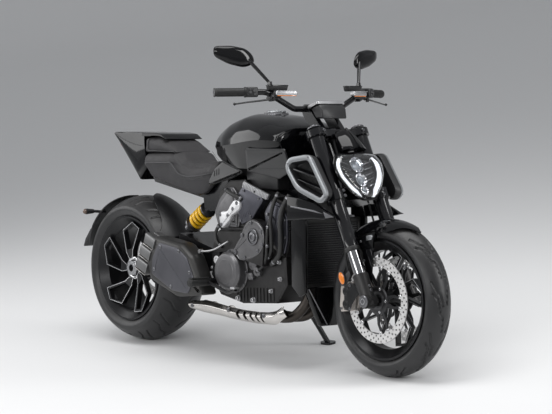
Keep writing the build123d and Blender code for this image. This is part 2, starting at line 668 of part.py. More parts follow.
STAND_PIVOT = Vector(60, 162, 262)
STAND_DOWN = Vector(0.25, 0.45, -0.857).normalized()
STAND_BACK = Vector(-0.995, 0.1, 0).normalized()
STAND_AXIS = STAND_DOWN.cross(STAND_BACK).normalized()
FLOOR = Plane(PARKED.inverse())
STAND_PAD = 9
STAND_LENGTH = (FLOOR.to_local_coords(STAND_PIVOT).Z - STAND_PAD / 2) / -FLOOR.z_dir.dot(STAND_DOWN)
STAND_FOOT = FLOOR.to_local_coords(STAND_PIVOT + STAND_DOWN * STAND_LENGTH)
STAND_EYE_RADIUS = 19
STAND_EYE_HALF = 11.5
STAND_PIN_RADIUS = 7

with BuildPart() as engine_case:
    with BuildSketch(RIGHT_SIDE):
        Polygon((-150, 340), (-140, 470), (-100, 530), (110, 540), (200, 520), (330, 440), (340, 330),
                (280, 252), (60, 236), (-90, 262), align=None)
        with Locations((SWINGARM_PIVOT.X, SWINGARM_PIVOT.Z)):
            Circle(PIVOT_RADIUS + FIT, mode=Mode.SUBTRACT)
    extrude(amount=CRANKCASE_HALF_WIDTH, both=True)
    chamfer(engine_case.faces().sort_by(Axis.Y)[0].outer_wire().edges(), 7)
    chamfer(engine_case.faces().sort_by(Axis.Y)[-1].outer_wire().edges(), 7)
    with BuildSketch(Plane(origin=STAND_PIVOT - STAND_AXIS * 46, z_dir=STAND_AXIS)):
        Circle(STAND_EYE_RADIUS)
    extrude(amount=46 - STAND_EYE_HALF - FIT)
    with BuildSketch(Plane(origin=STAND_PIVOT - STAND_AXIS * 14, z_dir=STAND_AXIS)):
        Circle(STAND_PIN_RADIUS)
    extrude(amount=14 + STAND_EYE_HALF + 8)
finish_piece(engine_case, "engine_case")

with BuildPart() as cylinders:
    with BuildSketch(RIGHT_SIDE):
        Polygon((-96, 530 + FIT), (-122, 610), (-104, 690), (-40, 738), (60, 744), (104, 700),
                (108, 540 + FIT), align=None)
    extrude(amount=CYLINDER_HALF_WIDTH, both=True)
    with BuildSketch(RIGHT_SIDE):
        Polygon((205, 520 + FIT), (190, 620), (240, 676), (310, 660), (350, 600), (350, 500),
                (330, 441), align=None)
    extrude(amount=CYLINDER_HALF_WIDTH, both=True)
    chamfer(cylinders.edges().filter_by(Axis.Y, reverse=True).filter_by_position(
        Axis.Z, 610, 800, inclusive=(False, True)), 6)
    # Cooling fins between the crankcase and the heads.
    for to_side in (-1, 1):
        with BuildSketch(RIGHT_SIDE.offset(to_side * CYLINDER_HALF_WIDTH)):
            with Locations(*[(110, 548 + FIN_PITCH * level) for level in range(4)]):
                Rectangle(520, FIN_GROOVE)
        extrude(amount=-to_side * FIN_DEPTH, mode=Mode.SUBTRACT)
finish_piece(cylinders, "cylinders")

FRONT_SPROCKET = Vector(-40, 0, 392)
FRONT_SPROCKET_RADIUS = CHAIN_PITCH / (2 * sin(pi / 15))
CHAIN_NEAR = CHAIN_OFFSET - CHAIN_WIDTH / 2
CLUTCH_CENTRE = (8, 366)
TIMING_CENTRE = (172, 516)

CLUTCH_RADIUS = 80
ALTERNATOR_CENTRE = (140, 388)

with BuildPart() as engine_covers:
    with BuildSketch(RIGHT_SIDE.offset(CRANKCASE_HALF_WIDTH + FIT)):
        with Locations(CLUTCH_CENTRE):
            Circle(CLUTCH_RADIUS)
    extrude(amount=36)
    with BuildSketch(RIGHT_SIDE.offset(CRANKCASE_HALF_WIDTH + 36)):
        with Locations(CLUTCH_CENTRE):
            Circle(CLUTCH_RADIUS - 5)
    extrude(amount=12, taper=35)
    with BuildSketch(RIGHT_SIDE.offset(CRANKCASE_HALF_WIDTH + FIT)):
        with Locations(TIMING_CENTRE):
            Circle(72)
        Polygon((100, 420), (230, 400), (240, 500), (110, 520), align=None)
    extrude(amount=34)
    with BuildSketch(RIGHT_SIDE.offset(CRANKCASE_HALF_WIDTH + 34)):
        with Locations(TIMING_CENTRE):
            Circle(34)
            Circle(26, mode=Mode.SUBTRACT)
    extrude(amount=5)
    with BuildSketch(RIGHT_SIDE.offset(-CRANKCASE_HALF_WIDTH - FIT)):
        with Locations(ALTERNATOR_CENTRE):
            Circle(82)
    extrude(amount=-30)
    with BuildSketch(RIGHT_SIDE.offset(-CRANKCASE_HALF_WIDTH - 30)):
        with Locations(ALTERNATOR_CENTRE):
            Circle(76)
    extrude(amount=-10, taper=35)
    with BuildSketch(RIGHT_SIDE.offset(-CRANKCASE_HALF_WIDTH - FIT)):
        with Locations((FRONT_SPROCKET.X, FRONT_SPROCKET.Z)):
            Circle(FRONT_SPROCKET_RADIUS - CHAIN_HALF_HEIGHT - FIT)
    extrude(amount=-(CHAIN_OFFSET + CHAIN_WIDTH / 2 - CRANKCASE_HALF_WIDTH))
finish_piece(engine_covers, "engine_covers")

with BuildPart() as water_pump:
    with BuildSketch(RIGHT_SIDE.offset(CYLINDER_HALF_WIDTH + FIT)):
        Polygon((-70, 582), (-57, 541), (-20, 560), (0, 590), (40, 610), (69, 633), (60, 655),
                (30, 662), (5, 640), (-10, 615), (-50, 612), align=None)
    extrude(amount=30)
finish_piece(water_pump, "water_pump")

# ---------------------------------------------------------------- exhaust and cooling

HEADER_RADIUS = 21

with BuildPart() as exhaust_headers:
    for port, end in ((-50, -104.6), (50, -50)):
        with BuildLine() as header_line:
            tube_path([(350 + FIT, port, 545), (398, port, 545), (400, port, 320),
                       (330, end, 192), (230, end, 192)], 30)
        with BuildSketch(Plane(origin=header_line.line @ 0, z_dir=header_line.line % 0)):
            Circle(HEADER_RADIUS)
        sweep()
finish_piece(exhaust_headers, "exhaust_headers")

with BuildPart() as exhaust_shield:
    with BuildSketch(RIGHT_SIDE.offset(126)):
        Polygon((335, 212), (322, 180), (200, 166), (-40, 178), (-250, 196), (-262, 241.5),
                (-100, 260.8), (-60, 236), (150, 214), (290, 222), align=None)
    extrude(amount=46)
finish_piece(exhaust_shield, "exhaust_shield")

OUTLET_RADIUS = 19
OUTLET_LENGTH = 45

with BuildPart() as silencer:
    with BuildSketch(RIGHT_SIDE.offset(142)):
        Polygon((-96, 262), (-180, 420), (-252, 468), (-440, 492), (-500, 380), (-468, 300),
                (-281, 240), align=None)
    extrude(amount=88)
    chamfer(silencer.faces().sort_by(Axis.Y)[0].edges(), 14)
    for row in (0, 1):
        for column in (0, 1):
            with BuildSketch(Plane(origin=(-470 + row * 32, -164 - column * 42, 396 + row * 60),
                                   x_dir=(0, 1, 0), z_dir=(-0.882, 0, 0.472))):
                Circle(OUTLET_RADIUS)
            extrude(amount=OUTLET_LENGTH)
            with BuildSketch(Plane(origin=(-470 + row * 32, -164 - column * 42, 396 + row * 60),
                                   x_dir=(0, 1, 0), z_dir=(-0.882, 0, 0.472)).offset(OUTLET_LENGTH)):
                Circle(OUTLET_RADIUS - 3)
            extrude(amount=-30, mode=Mode.SUBTRACT)
finish_piece(silencer, "silencer")

RADIATOR_FRONT = 462
RADIATOR_DEPTH = 28

with BuildPart() as radiator:
    with BuildSketch(Plane.YZ.offset(RADIATOR_FRONT)):
        Polygon((-RADIATOR_HALF_WIDTH, 330), (RADIATOR_HALF_WIDTH, 330), (RADIATOR_HALF_WIDTH, 600),
                (-RADIATOR_HALF_WIDTH, 600), align=None)
    extrude(amount=-RADIATOR_DEPTH)
    with BuildSketch(Plane.YZ.offset(RADIATOR_FRONT)):
        Polygon((12 - RADIATOR_HALF_WIDTH, 331), (RADIATOR_HALF_WIDTH - 12, 331), (60, 170), (-60, 170),
                align=None)
    extrude(amount=-RADIATOR_DEPTH)
    for side in (-1, 1):
        with BuildSketch(RIGHT_SIDE.offset(side * 100)):
            Polygon((350 + FIT, 590), (350 + FIT, 560), (RADIATOR_FRONT - 20, 560),
                    (RADIATOR_FRONT - 20, 590), align=None)
        extrude(amount=side * 10)
finish_piece(radiator, "radiator")

# The steered fork clamp passes inside the spears at the shrouds' tops.
FORK_SWEEP = hypot(FORK_OFFSET, FORK_HALF_SPACING) + OUTER_TUBE_RADIUS + 10

with BuildPart() as radiator_shrouds:
    with BuildSketch(RIGHT_SIDE.offset(RADIATOR_HALF_WIDTH + FIT)):
        Polygon((392, 690), (470, 680), (486, 590), (486, 310), (452, 290), (402, 330), (396, 600),
                align=None)
    extrude(amount=16)
    with BuildSketch(RIGHT_SIDE.offset(FORK_SWEEP + RUNNING_GAP)):
        Polygon((392, 690), (560, 668), (675, 618), (560, 604), (392, 590), align=None)
    extrude(amount=20)
    mirror(about=Plane.XZ)
finish_piece(radiator_shrouds, "radiator_shrouds")

# ---------------------------------------------------------------- body and seat

TANK_STATIONS = [(-225, 66, 880, 914, 850, 48), (-100, 128, 876, 976, 800, 96),
                 (60, 178, 893, TANK_TOP, 790, 140), (230, TANK_HALF_WIDTH, 908, 1001, 790, 150),
                 (340, 196, 905, 962, 800, 150)]

CAP_CENTRE = 110
CAP_RADIUS = 40
CAP_THICKNESS = 9
CAP_SEAT = TANK_TOP + 3
CAP_KNUCKLE_HALF = 10
CAP_HINGE = Vector(CAP_CENTRE + CAP_RADIUS + 7, 0, CAP_SEAT + FIT + CAP_THICKNESS / 2)

with BuildPart() as fuel_tank:
    for x, half_width, crease, top, bottom, bottom_half in TANK_STATIONS:
        with BuildSketch(Plane.YZ.offset(x)):
            with BuildLine():
                ThreePointArc((half_width, crease), (0, top), (-half_width, crease))
                Polyline((-half_width, crease), (-bottom_half, bottom), (bottom_half, bottom),
                         (half_width, crease))
            make_face()
    loft()
    with BuildSketch(Plane.XY.offset(TANK_TOP - 25)):
        with Locations((CAP_CENTRE, 0)):
            Circle(CAP_RADIUS + 4)
        with Locations((CAP_HINGE.X, 0)):
            with Locations((0, -CAP_KNUCKLE_HALF - FIT - 3), (0, CAP_KNUCKLE_HALF + FIT + 3)):
                Rectangle(8, 6)
    extrude(amount=CAP_SEAT - TANK_TOP + 25)
finish_piece(fuel_tank, "fuel_tank")

with BuildPart() as fuel_cap:
    with BuildSketch(Plane.XY.offset(CAP_SEAT + FIT)):
        with Locations((CAP_CENTRE, 0)):
            Circle(CAP_RADIUS)
    extrude(amount=CAP_THICKNESS)
    with BuildSketch(RIGHT_SIDE):
        with Locations((CAP_HINGE.X, CAP_HINGE.Z)):
            Circle(CAP_THICKNESS / 2)
        with Locations((CAP_HINGE.X - 6, CAP_HINGE.Z)):
            Rectangle(12, CAP_THICKNESS - 2)
    extrude(amount=CAP_KNUCKLE_HALF, both=True)
finish_piece(fuel_cap, "fuel_cap")

with BuildPart() as tank_side_covers:
    with BuildSketch(Plane(origin=(0, -150.5, 790), x_dir=(1, 0, 0), z_dir=(0, -0.906, -0.4226))):
        Polygon((110, -8), (150, 96), (392, 96), (392, 0), (300, -40), align=None)
    extrude(amount=8)
    mirror(about=Plane.XZ)
finish_piece(tank_side_covers, "tank_side_covers")

INTAKE_INNER = FORK_SWEEP + RUNNING_GAP + 1
INTAKE_OUTER = INTAKE_INNER + 40

with BuildPart() as air_intakes:
    with BuildSketch(RIGHT_SIDE.offset(INTAKE_INNER)) as intake_sketch:
        Polygon((552, 858), (424, 842), (402, 800), (470, 715), (623, 664), (663, 703), align=None)
        fillet(intake_sketch.vertices(), 16)
    extrude(amount=INTAKE_OUTER - INTAKE_INNER)
    with BuildSketch(RIGHT_SIDE.offset(INTAKE_INNER + 10)) as pocket_sketch:
        Polygon((540, 832), (440, 818), (430, 800), (482, 738), (612, 692), (634, 710), align=None)
        fillet(pocket_sketch.vertices(), 8)
    extrude(amount=INTAKE_OUTER, mode=Mode.SUBTRACT)
    with BuildSketch(RIGHT_SIDE.offset(150)):
        Polygon((392 + FIT, 800), (392 + FIT, 850), (440, 842), (440, 790), align=None)
    extrude(amount=28)
    mirror(about=Plane.XZ)
finish_piece(air_intakes, "air_intakes")

with BuildPart() as rider_seat:
    with BuildSketch(RIGHT_SIDE):
        with BuildLine():
            ThreePointArc((-450, 848), (-310, SEAT_HEIGHT), (-168, 812))
            Polyline((-168, 812), (-172, 740), (-240, 670), (-300, 665), (-480, 700), (-640, 738),
                     (-690, 842), (-450, 848))
        make_face()
    extrude(amount=125, both=True)
    with BuildSketch(Plane.XY.offset(600)):
        Rectangle(2000, 152)
    extrude(amount=150, mode=Mode.SUBTRACT)
finish_piece(rider_seat, "rider_seat")

with BuildPart() as passenger_seat:
    with BuildSketch(RIGHT_SIDE):
        Polygon((-440, 848 + FIT), (-690, 842 + FIT), (-680, 912), (-500, 914), (-470, 900), align=None)
    extrude(amount=100, both=True)
finish_piece(passenger_seat, "passenger_seat")

with BuildPart() as tail_cowl:
    with BuildSketch(RIGHT_SIDE):
        Polygon((-1000, 932), (-640, 930), (-460, 918), (-500, 914 + FIT), (-680, 912 + FIT),
                (-690 - FIT, 842), (-670, 790), (-746, 720), (-830, 800), (-930, 895), align=None)
    extrude(amount=100, both=True)
    for side in (-1, 1):
        with BuildSketch(Plane.XY.offset(600)):
            Polygon((-1010, side * 62), (-620, side * 101), (-620, side * 150), (-1010, side * 150),
                    align=None)
        extrude(amount=400, mode=Mode.SUBTRACT)
finish_piece(tail_cowl, "tail_cowl")

# ---------------------------------------------------------------- rear suspension and drive

ARM_INNER = REAR_TYRE_HALF_WIDTH + 12
ARM_OUTER = ARM_INNER + 20
HUB_CARRIER_RADIUS = 84

with BuildPart() as swingarm:
    with BuildSketch(RIGHT_SIDE.offset(-ARM_INNER)):
        Polygon((-150, 440), (-150, 360), (-380, 270), (-780, 240), (-880, 290), (-880, 370),
                (-780, 412), (-420, 500), align=None)
    extrude(amount=-(ARM_OUTER - ARM_INNER))
    with BuildSketch(wheel_face(REAR_AXLE, -62)):
        Circle(HUB_CARRIER_RADIUS)
    extrude(amount=-(ARM_OUTER - 62))
    with BuildSketch(RIGHT_SIDE.offset(-ARM_INNER)):
        Polygon((-160, 440), (-160, 360), (-380, 300), (-440, 420), (-420, 500), align=None)
    extrude(amount=ARM_INNER + 100)
    with BuildSketch(wheel_face(REAR_AXLE, -50)):
        Circle(REAR_AXLE_RADIUS + FIT)
    extrude(amount=-200, mode=Mode.SUBTRACT)
finish_piece(swingarm, "swingarm")

with BuildPart() as rear_hugger:
    with BuildSketch(radial_section(REAR_AXLE, 112)):
        with BuildLine():
            ThreePointArc((-136, 268), (0, REAR_TYRE_RADIUS + 16), (ARM_INNER - FIT, 280))
            Line((ARM_INNER - FIT, 280), (ARM_INNER - FIT - 4, 280))
            ThreePointArc((ARM_INNER - FIT - 4, 280), (0, REAR_TYRE_RADIUS + 12), (-132, 268))
            Line((-132, 268), (-136, 268))
        make_face()
    revolve(axis=Axis(REAR_AXLE, (0, 1, 0)), revolution_arc=84)
finish_piece(rear_hugger, "rear_hugger")

SHOCK_SIDE = -43.7
SHOCK_TOP = Vector(-258, SHOCK_SIDE, 628)
SHOCK_BOTTOM = Vector(-424, SHOCK_SIDE, 517.5)
SHOCK_LINE = SHOCK_TOP - SHOCK_BOTTOM
SPRING_START = 0.2
SPRING_END = 0.79

with BuildPart() as rear_shock:
    with BuildSketch(Plane(origin=SHOCK_BOTTOM, z_dir=SHOCK_LINE)):
        Circle(22)
    extrude(amount=SHOCK_LINE.length * SPRING_END)
    with BuildSketch(Plane(origin=SHOCK_BOTTOM, z_dir=SHOCK_LINE)):
        Circle(14)
    extrude(amount=SHOCK_LINE.length)
    with BuildSketch(Plane(origin=SHOCK_BOTTOM + SHOCK_LINE * (SPRING_START - 0.04), z_dir=SHOCK_LINE)):
        Circle(38)
    extrude(amount=SHOCK_LINE.length * 0.04 - FIT)
    with BuildSketch(Plane(origin=SHOCK_BOTTOM + SHOCK_LINE * SPRING_END, z_dir=SHOCK_LINE)):
        Circle(36)
    extrude(amount=-5)
    with BuildSketch(RIGHT_SIDE.offset(30)):
        with Locations((SHOCK_TOP.X, SHOCK_TOP.Z)):
            Circle(17)
    extrude(amount=27.7)
finish_piece(rear_shock, "rear_shock")

SPRING_RADIUS = 32
WIRE_RADIUS = 5.5
WIRE_SIDES = 8
SPRING_TURNS = 6
SPRING_FOOT = SHOCK_BOTTOM + SHOCK_LINE * SPRING_START
SPRING_LENGTH = SHOCK_LINE.length * (SPRING_END - SPRING_START)

with BuildPart() as shock_spring:
    with BuildLine() as coil:
        Helix(pitch=(SPRING_LENGTH - 2 * WIRE_RADIUS) / SPRING_TURNS,
              height=SPRING_LENGTH - 2 * WIRE_RADIUS, radius=SPRING_RADIUS,
              center=SPRING_FOOT + SHOCK_LINE.normalized() * WIRE_RADIUS, direction=SHOCK_LINE)
    with BuildSketch(Plane(origin=coil.line @ 0, z_dir=coil.line % 0)):
        RegularPolygon(WIRE_RADIUS, WIRE_SIDES)
    sweep(is_frenet=True)
finish_piece(shock_spring, "shock_spring")

# ---------------------------------------------------------------- stand, feet, tail

with BuildPart() as side_stand:
    with BuildSketch(Plane(origin=STAND_PIVOT - STAND_AXIS * STAND_EYE_HALF, z_dir=STAND_AXIS)):
        Circle(STAND_EYE_RADIUS)
    extrude(amount=2 * STAND_EYE_HALF)
    with BuildSketch(Plane(origin=STAND_PIVOT, z_dir=STAND_DOWN)):
        Circle(STAND_EYE_HALF - 0.5)
    extrude(amount=STAND_LENGTH)
    with BuildSketch(Plane(origin=STAND_PIVOT - STAND_AXIS * 30, z_dir=STAND_AXIS)):
        Circle(STAND_PIN_RADIUS + FIT)
    extrude(amount=60, mode=Mode.SUBTRACT)
    with BuildSketch(FLOOR):
        with Locations((STAND_FOOT.X, STAND_FOOT.Y)):
            RectangleRounded(70, 46, 20)
    extrude(amount=STAND_PAD)
finish_piece(side_stand, "side_stand")


def chain_loop(inset):
    """Draw the closed loop round both sprockets, inset from the chain's middle line."""
    with Locations((FRONT_SPROCKET.X, FRONT_SPROCKET.Z)):
        Circle(FRONT_SPROCKET_RADIUS - inset)
    with Locations((REAR_AXLE.X, REAR_AXLE.Z)):
        Circle(SPROCKET_RADIUS - inset)
    make_hull()


with BuildPart() as drive_chain:
    with BuildSketch(RIGHT_SIDE.offset(-CHAIN_NEAR)):
        chain_loop(-CHAIN_HALF_HEIGHT)
    extrude(amount=-CHAIN_WIDTH)
    with BuildSketch(RIGHT_SIDE.offset(-CHAIN_NEAR)):
        chain_loop(CHAIN_HALF_HEIGHT)
    extrude(amount=-CHAIN_WIDTH, mode=Mode.SUBTRACT)
finish_piece(drive_chain, "drive_chain")

PEG_ROOT = Vector(-92, 0, 317)
PEG_RADIUS = 13
PEG_END = 300
BRACKET_INNER = CRANKCASE_HALF_WIDTH + FIT

with BuildPart() as footrests:
    with BuildSketch(RIGHT_SIDE.offset(BRACKET_INNER)):
        Polygon((-126, 440), (-76, 440), (-74, 306), (-108, 306), (-118, 370), align=None)
        with Locations((SWINGARM_PIVOT.X, SWINGARM_PIVOT.Z)):
            Circle(PIVOT_RADIUS + FIT, mode=Mode.SUBTRACT)
    extrude(amount=12)
    with BuildSketch(RIGHT_SIDE.offset(BRACKET_INNER + 10)):
        with Locations((PEG_ROOT.X, PEG_ROOT.Z)):
            Circle(PEG_RADIUS)
    extrude(amount=PEG_END - BRACKET_INNER - 10)
    with BuildSketch(RIGHT_SIDE.offset(-BRACKET_INNER)):
        Polygon((-104, 336), (-60, 336), (-60, 306), (-104, 306), align=None)
    extrude(amount=-10)
    with BuildSketch(RIGHT_SIDE.offset(-BRACKET_INNER - 9)):
        with Locations((PEG_ROOT.X, PEG_ROOT.Z)):
            Circle(PEG_RADIUS)
    extrude(amount=-(PEG_END - BRACKET_INNER - 9))
    for side in (-1, 1):
        pedal_root = Vector(PEG_ROOT.X + 12, side * 208, PEG_ROOT.Z)
        with BuildLine():
            tube_path([pedal_root, (50, side * 208, 282), (118, side * 222, 300)], 30)
        with BuildSketch(Plane(origin=pedal_root, z_dir=Vector(50, side * 208, 282) - pedal_root)):
            Circle(7)
        sweep()
finish_piece(footrests, "footrests")

with BuildPart() as rear_caliper:
    with BuildSketch(wheel_face(REAR_AXLE, -30)):
        Polygon((84.6, -8), (98, -34), (150, -50), (168, 0), (150, 50), (98, 34), (84.6, 8), align=None)
    extrude(amount=-44)
    with BuildSketch(wheel_face(REAR_AXLE, -REAR_HUB_LEFT - FIT + DISC_SLOT)):
        Circle(REAR_DISC_RADIUS + DISC_SLOT)
    extrude(amount=-DISC_THICKNESS - 2 * DISC_SLOT, mode=Mode.SUBTRACT)
finish_piece(rear_caliper, "rear_caliper")

# An arm from the hub carrier carries the rear indicators' bar and a slim bracket for a plate.
HOLDER_FRONT = REAR_AXLE.X - HUB_CARRIER_RADIUS - FIT
HOLDER_Y = ARM_INNER + 2
BRACKET_HALF_WIDTH = 28

with BuildPart() as plate_holder:
    with BuildSketch(RIGHT_SIDE.offset(-HOLDER_Y)):
        Polygon((HOLDER_FRONT, 304), (HOLDER_FRONT, 352), (-1158, 588), (-1200, 600), (-1200, 570),
                align=None)
    extrude(amount=-14)
    with BuildSketch(RIGHT_SIDE.offset(-HOLDER_Y)):
        Polygon((-1164, 590), (-1200, 600), (-1200, 570), (-1175, 565), align=None)
    extrude(amount=HOLDER_Y + BRACKET_HALF_WIDTH)
    with BuildSketch(RIGHT_SIDE.offset(BRACKET_HALF_WIDTH)):
        Polygon((-1180, 590), (-1200, 600), (-1213, 548), (-1266, 396), (-1258, 394), (-1203, 545),
                align=None)
    extrude(amount=-2 * BRACKET_HALF_WIDTH)
    with BuildSketch(RIGHT_SIDE.offset(-150)):
        with Locations((-1180, 575)):
            Circle(7)
    extrude(amount=300)
finish_piece(plate_holder, "plate_holder")

with BuildPart() as tail_light:
    with BuildSketch(RIGHT_SIDE):
        Polygon((-921, 885), (-837, 805.5), (-843, 799), (-927, 879), align=None)
    extrude(amount=60, both=True)
finish_piece(tail_light, "tail_light")

HOSE_RADIUS = 4

with BuildPart() as brake_hoses:
    for side in (-1, 1):
        hose_points = [fork_point(-66, side * 80, 119.6), fork_point(-58, side * 84, 170),
                       fork_point(-30, side * 92, 250), fork_point(-20, side * 92, 330),
                       fork_point(4, side * 74, LOWER_CLAMP_HEIGHT - 22)]
        with BuildLine() as hose_line:
            tube_path(hose_points, 60)
        with BuildSketch(Plane(origin=hose_line.line @ 0, z_dir=hose_line.line % 0)):
            Circle(HOSE_RADIUS)
        sweep()
finish_piece(brake_hoses, "brake_hoses")

# ---------------------------------------------------------------- the finished machine

# Every piece is moved so that the origin lies on the floor under the middle of the whole box.
WHOLE_BOX = Compound(list(FINISHED.values())).bounding_box()
TO_MIDDLE = Location((-WHOLE_BOX.center().X, -WHOLE_BOX.center().Y, -WHOLE_BOX.min.Z))

for label, piece in FINISHED.items():
    placed = piece.moved(TO_MIDDLE)
    placed.label = label
    export_step(placed, f"parts/{label}.step")
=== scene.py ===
"""Looks of a parked power cruiser motorcycle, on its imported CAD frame.

The finished pieces are drawn in the machine's upright frame, in millimetres: X forward, Y to the
left, Z up, with the origin on the floor midway between the axles. ``Upright`` leans them over onto
the side stand, where the CAD stands.
"""

from __future__ import annotations

import json
import logging
import math
from dataclasses import dataclass
from enum import Enum
from typing import Callable, Sequence

import bmesh
import bpy
from mathutils import Matrix, Vector


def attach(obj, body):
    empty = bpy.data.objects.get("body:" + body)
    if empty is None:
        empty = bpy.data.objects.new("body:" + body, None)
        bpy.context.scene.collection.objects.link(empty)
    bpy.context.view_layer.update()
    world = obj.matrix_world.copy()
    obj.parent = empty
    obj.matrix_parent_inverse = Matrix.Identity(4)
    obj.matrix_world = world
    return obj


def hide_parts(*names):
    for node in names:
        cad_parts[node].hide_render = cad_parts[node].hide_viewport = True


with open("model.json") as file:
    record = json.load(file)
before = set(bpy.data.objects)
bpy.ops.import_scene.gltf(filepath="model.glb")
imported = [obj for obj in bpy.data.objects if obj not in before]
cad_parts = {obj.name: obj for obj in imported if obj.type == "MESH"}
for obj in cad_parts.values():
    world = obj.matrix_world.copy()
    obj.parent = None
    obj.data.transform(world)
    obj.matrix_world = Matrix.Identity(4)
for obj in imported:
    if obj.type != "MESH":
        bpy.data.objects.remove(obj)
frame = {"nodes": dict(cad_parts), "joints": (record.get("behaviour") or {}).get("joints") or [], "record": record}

LOG = logging.getLogger("cruiser")
Point = tuple[float, float, float]
Flat = tuple[float, float]
Colour = tuple[float, float, float]

MM = 0.001
WHEELBASE = 1593.0
FRONT_RADIUS = 300.0
REAR_RADIUS = 324.0
RAKE = math.radians(26)
TRAIL = 112.0


# ---------------------------------------------------------------- the leaned frame


class Upright:
    """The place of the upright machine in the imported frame, found from its two wheel joints."""

    def __init__(self) -> None:
        """Find it."""
        joints = {joint["name"]: joint for joint in frame["joints"]}
        front = Vector(joints["front_wheel_spin"]["pos_m"])
        rear = Vector(joints["rear_wheel_spin"]["pos_m"])
        left = Vector(joints["rear_wheel_spin"]["axis"]).normalized()
        along = (front - rear).normalized()
        above = along.cross(left)
        slope = math.atan2(REAR_RADIUS - FRONT_RADIUS, WHEELBASE)
        forward = along * math.cos(slope) + above * math.sin(slope)
        up = above * math.cos(slope) - along * math.sin(slope)
        turn = Matrix((forward, left, up)).transposed().to_4x4()
        foot = front - turn.to_3x3() @ Vector((WHEELBASE / 2, 0, FRONT_RADIUS)) * MM
        self.matrix = Matrix.Translation(foot) @ turn @ Matrix.Scale(MM, 4)

    def point(self, place: Sequence[float]) -> Vector:
        """Place a point of the upright machine.

        Args:
            place: The point in millimetres.

        Returns:
            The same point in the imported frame, in metres.
        """
        return self.matrix @ Vector(place)

    def direction(self, way: Sequence[float]) -> Vector:
        """Turn a direction of the upright machine.

        Args:
            way: The direction in the upright frame.

        Returns:
            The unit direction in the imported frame.
        """
        return (self.matrix.to_3x3() @ Vector(way)).normalized()


UPRIGHT = Upright()


# ---------------------------------------------------------------- finishes


class Grain(Enum):
    """The small relief of a surface."""

    SMOOTH = "smooth"
    CAST = "cast"
    BRUSHED = "brushed"
    LEATHER = "leather"
    RIBBED = "ribbed"


@dataclass(frozen=True)
class Finish:
    """One surface finish.

    Attributes:
        name: The material's name.
        slot: The record's material slot.
        colour: Base colour, linear.
        roughness: Mean roughness.
        metallic: 0 for plastics and paint, 1 for bare metal.
        coat: Weight of a clear coat.
        mottle: Share by which the colour wanders.
        mottle_scale: Patches of colour per metre.
        grain: Kind of relief.
        grain_scale: Grains per metre.
        grain_height: Height of the relief in metres.
        dust: Weight of fine dust lying on upward faces.
        clear: Share of light that passes through.
        glow: Strength of its own light.
        shine: Level of the plain reflection, where 0.5 is that of common plastic.
    """

    name: str
    slot: str
    colour: Colour
    roughness: float
    metallic: float = 0.0
    coat: float = 0.0
    mottle: float = 0.12
    mottle_scale: float = 30.0
    grain: Grain = Grain.CAST
    grain_scale: float = 900.0
    grain_height: float = 0.00003
    dust: float = 0.0
    clear: float = 0.0
    glow: float = 0.0
    shine: float = 0.5


class Nodes:
    """A short way to lay nodes in one tree."""

    def __init__(self, tree: bpy.types.NodeTree) -> None:
        """Take up a tree.

        Args:
            tree: The tree to lay nodes in.
        """
        self.tree = tree

    def add(self, kind: str, **settings: object) -> bpy.types.Node:
        """Add a node.

        Args:
            kind: The node's type name.
            settings: Properties to set on it.

        Returns:
            The node.
        """
        node = self.tree.nodes.new(kind)
        for key, value in settings.items():
            setattr(node, key, value)
        return node

    def link(self, out: bpy.types.NodeSocket, into: bpy.types.NodeSocket) -> None:
        """Join an output to an input.

        Args:
            out: The output socket.
            into: The input socket.
        """
        self.tree.links.new(out, into)

    def wire(self, *rows: tuple[bpy.types.Node, str, bpy.types.Node, str]) -> None:
        """Join named outputs to named inputs.

        Args:
            rows: Each a node, its output, the next node and its input.
        """
        for first, out, second, into in rows:
            self.link(first.outputs[out], second.inputs[into])

    def math(self, operation: str, first: object, second: object = 0.0,
             third: object = 0.0) -> bpy.types.NodeSocket:
        """Add a Math node.

        Args:
            operation: The operation's name.
            first: A socket or a number.
            second: A socket or a number.
            third: A socket or a number.

        Returns:
            The result's socket.
        """
        node = self.add("ShaderNodeMath", operation=operation)
        for index, value in enumerate((first, second, third)):
            if isinstance(value, bpy.types.NodeSocket):
                self.link(value, node.inputs[index])
            else:
                node.inputs[index].default_value = float(value)
        return node.outputs[0]


def new_group(name: str, inputs: dict[str, tuple[str, object]],
              outputs: dict[str, str]) -> tuple[bpy.types.NodeTree, Nodes, object, object]:
    """Start a shader node group.

    Args:
        name: The group's name.
        inputs: Name to (short socket type, default).
        outputs: Name to short socket type.

    Returns:
        The tree, its node helper, and its input and output nodes.
    """
    tree = bpy.data.node_groups.new(name, "ShaderNodeTree")
    for key, (kind, default) in inputs.items():
        made = tree.interface.new_socket(key, in_out="INPUT", socket_type="NodeSocket" + kind)
        made.default_value = default
    for key, kind in outputs.items():
        tree.interface.new_socket(key, in_out="OUTPUT", socket_type="NodeSocket" + kind)
    nodes = Nodes(tree)
    return tree, nodes, nodes.add("NodeGroupInput"), nodes.add("NodeGroupOutput")


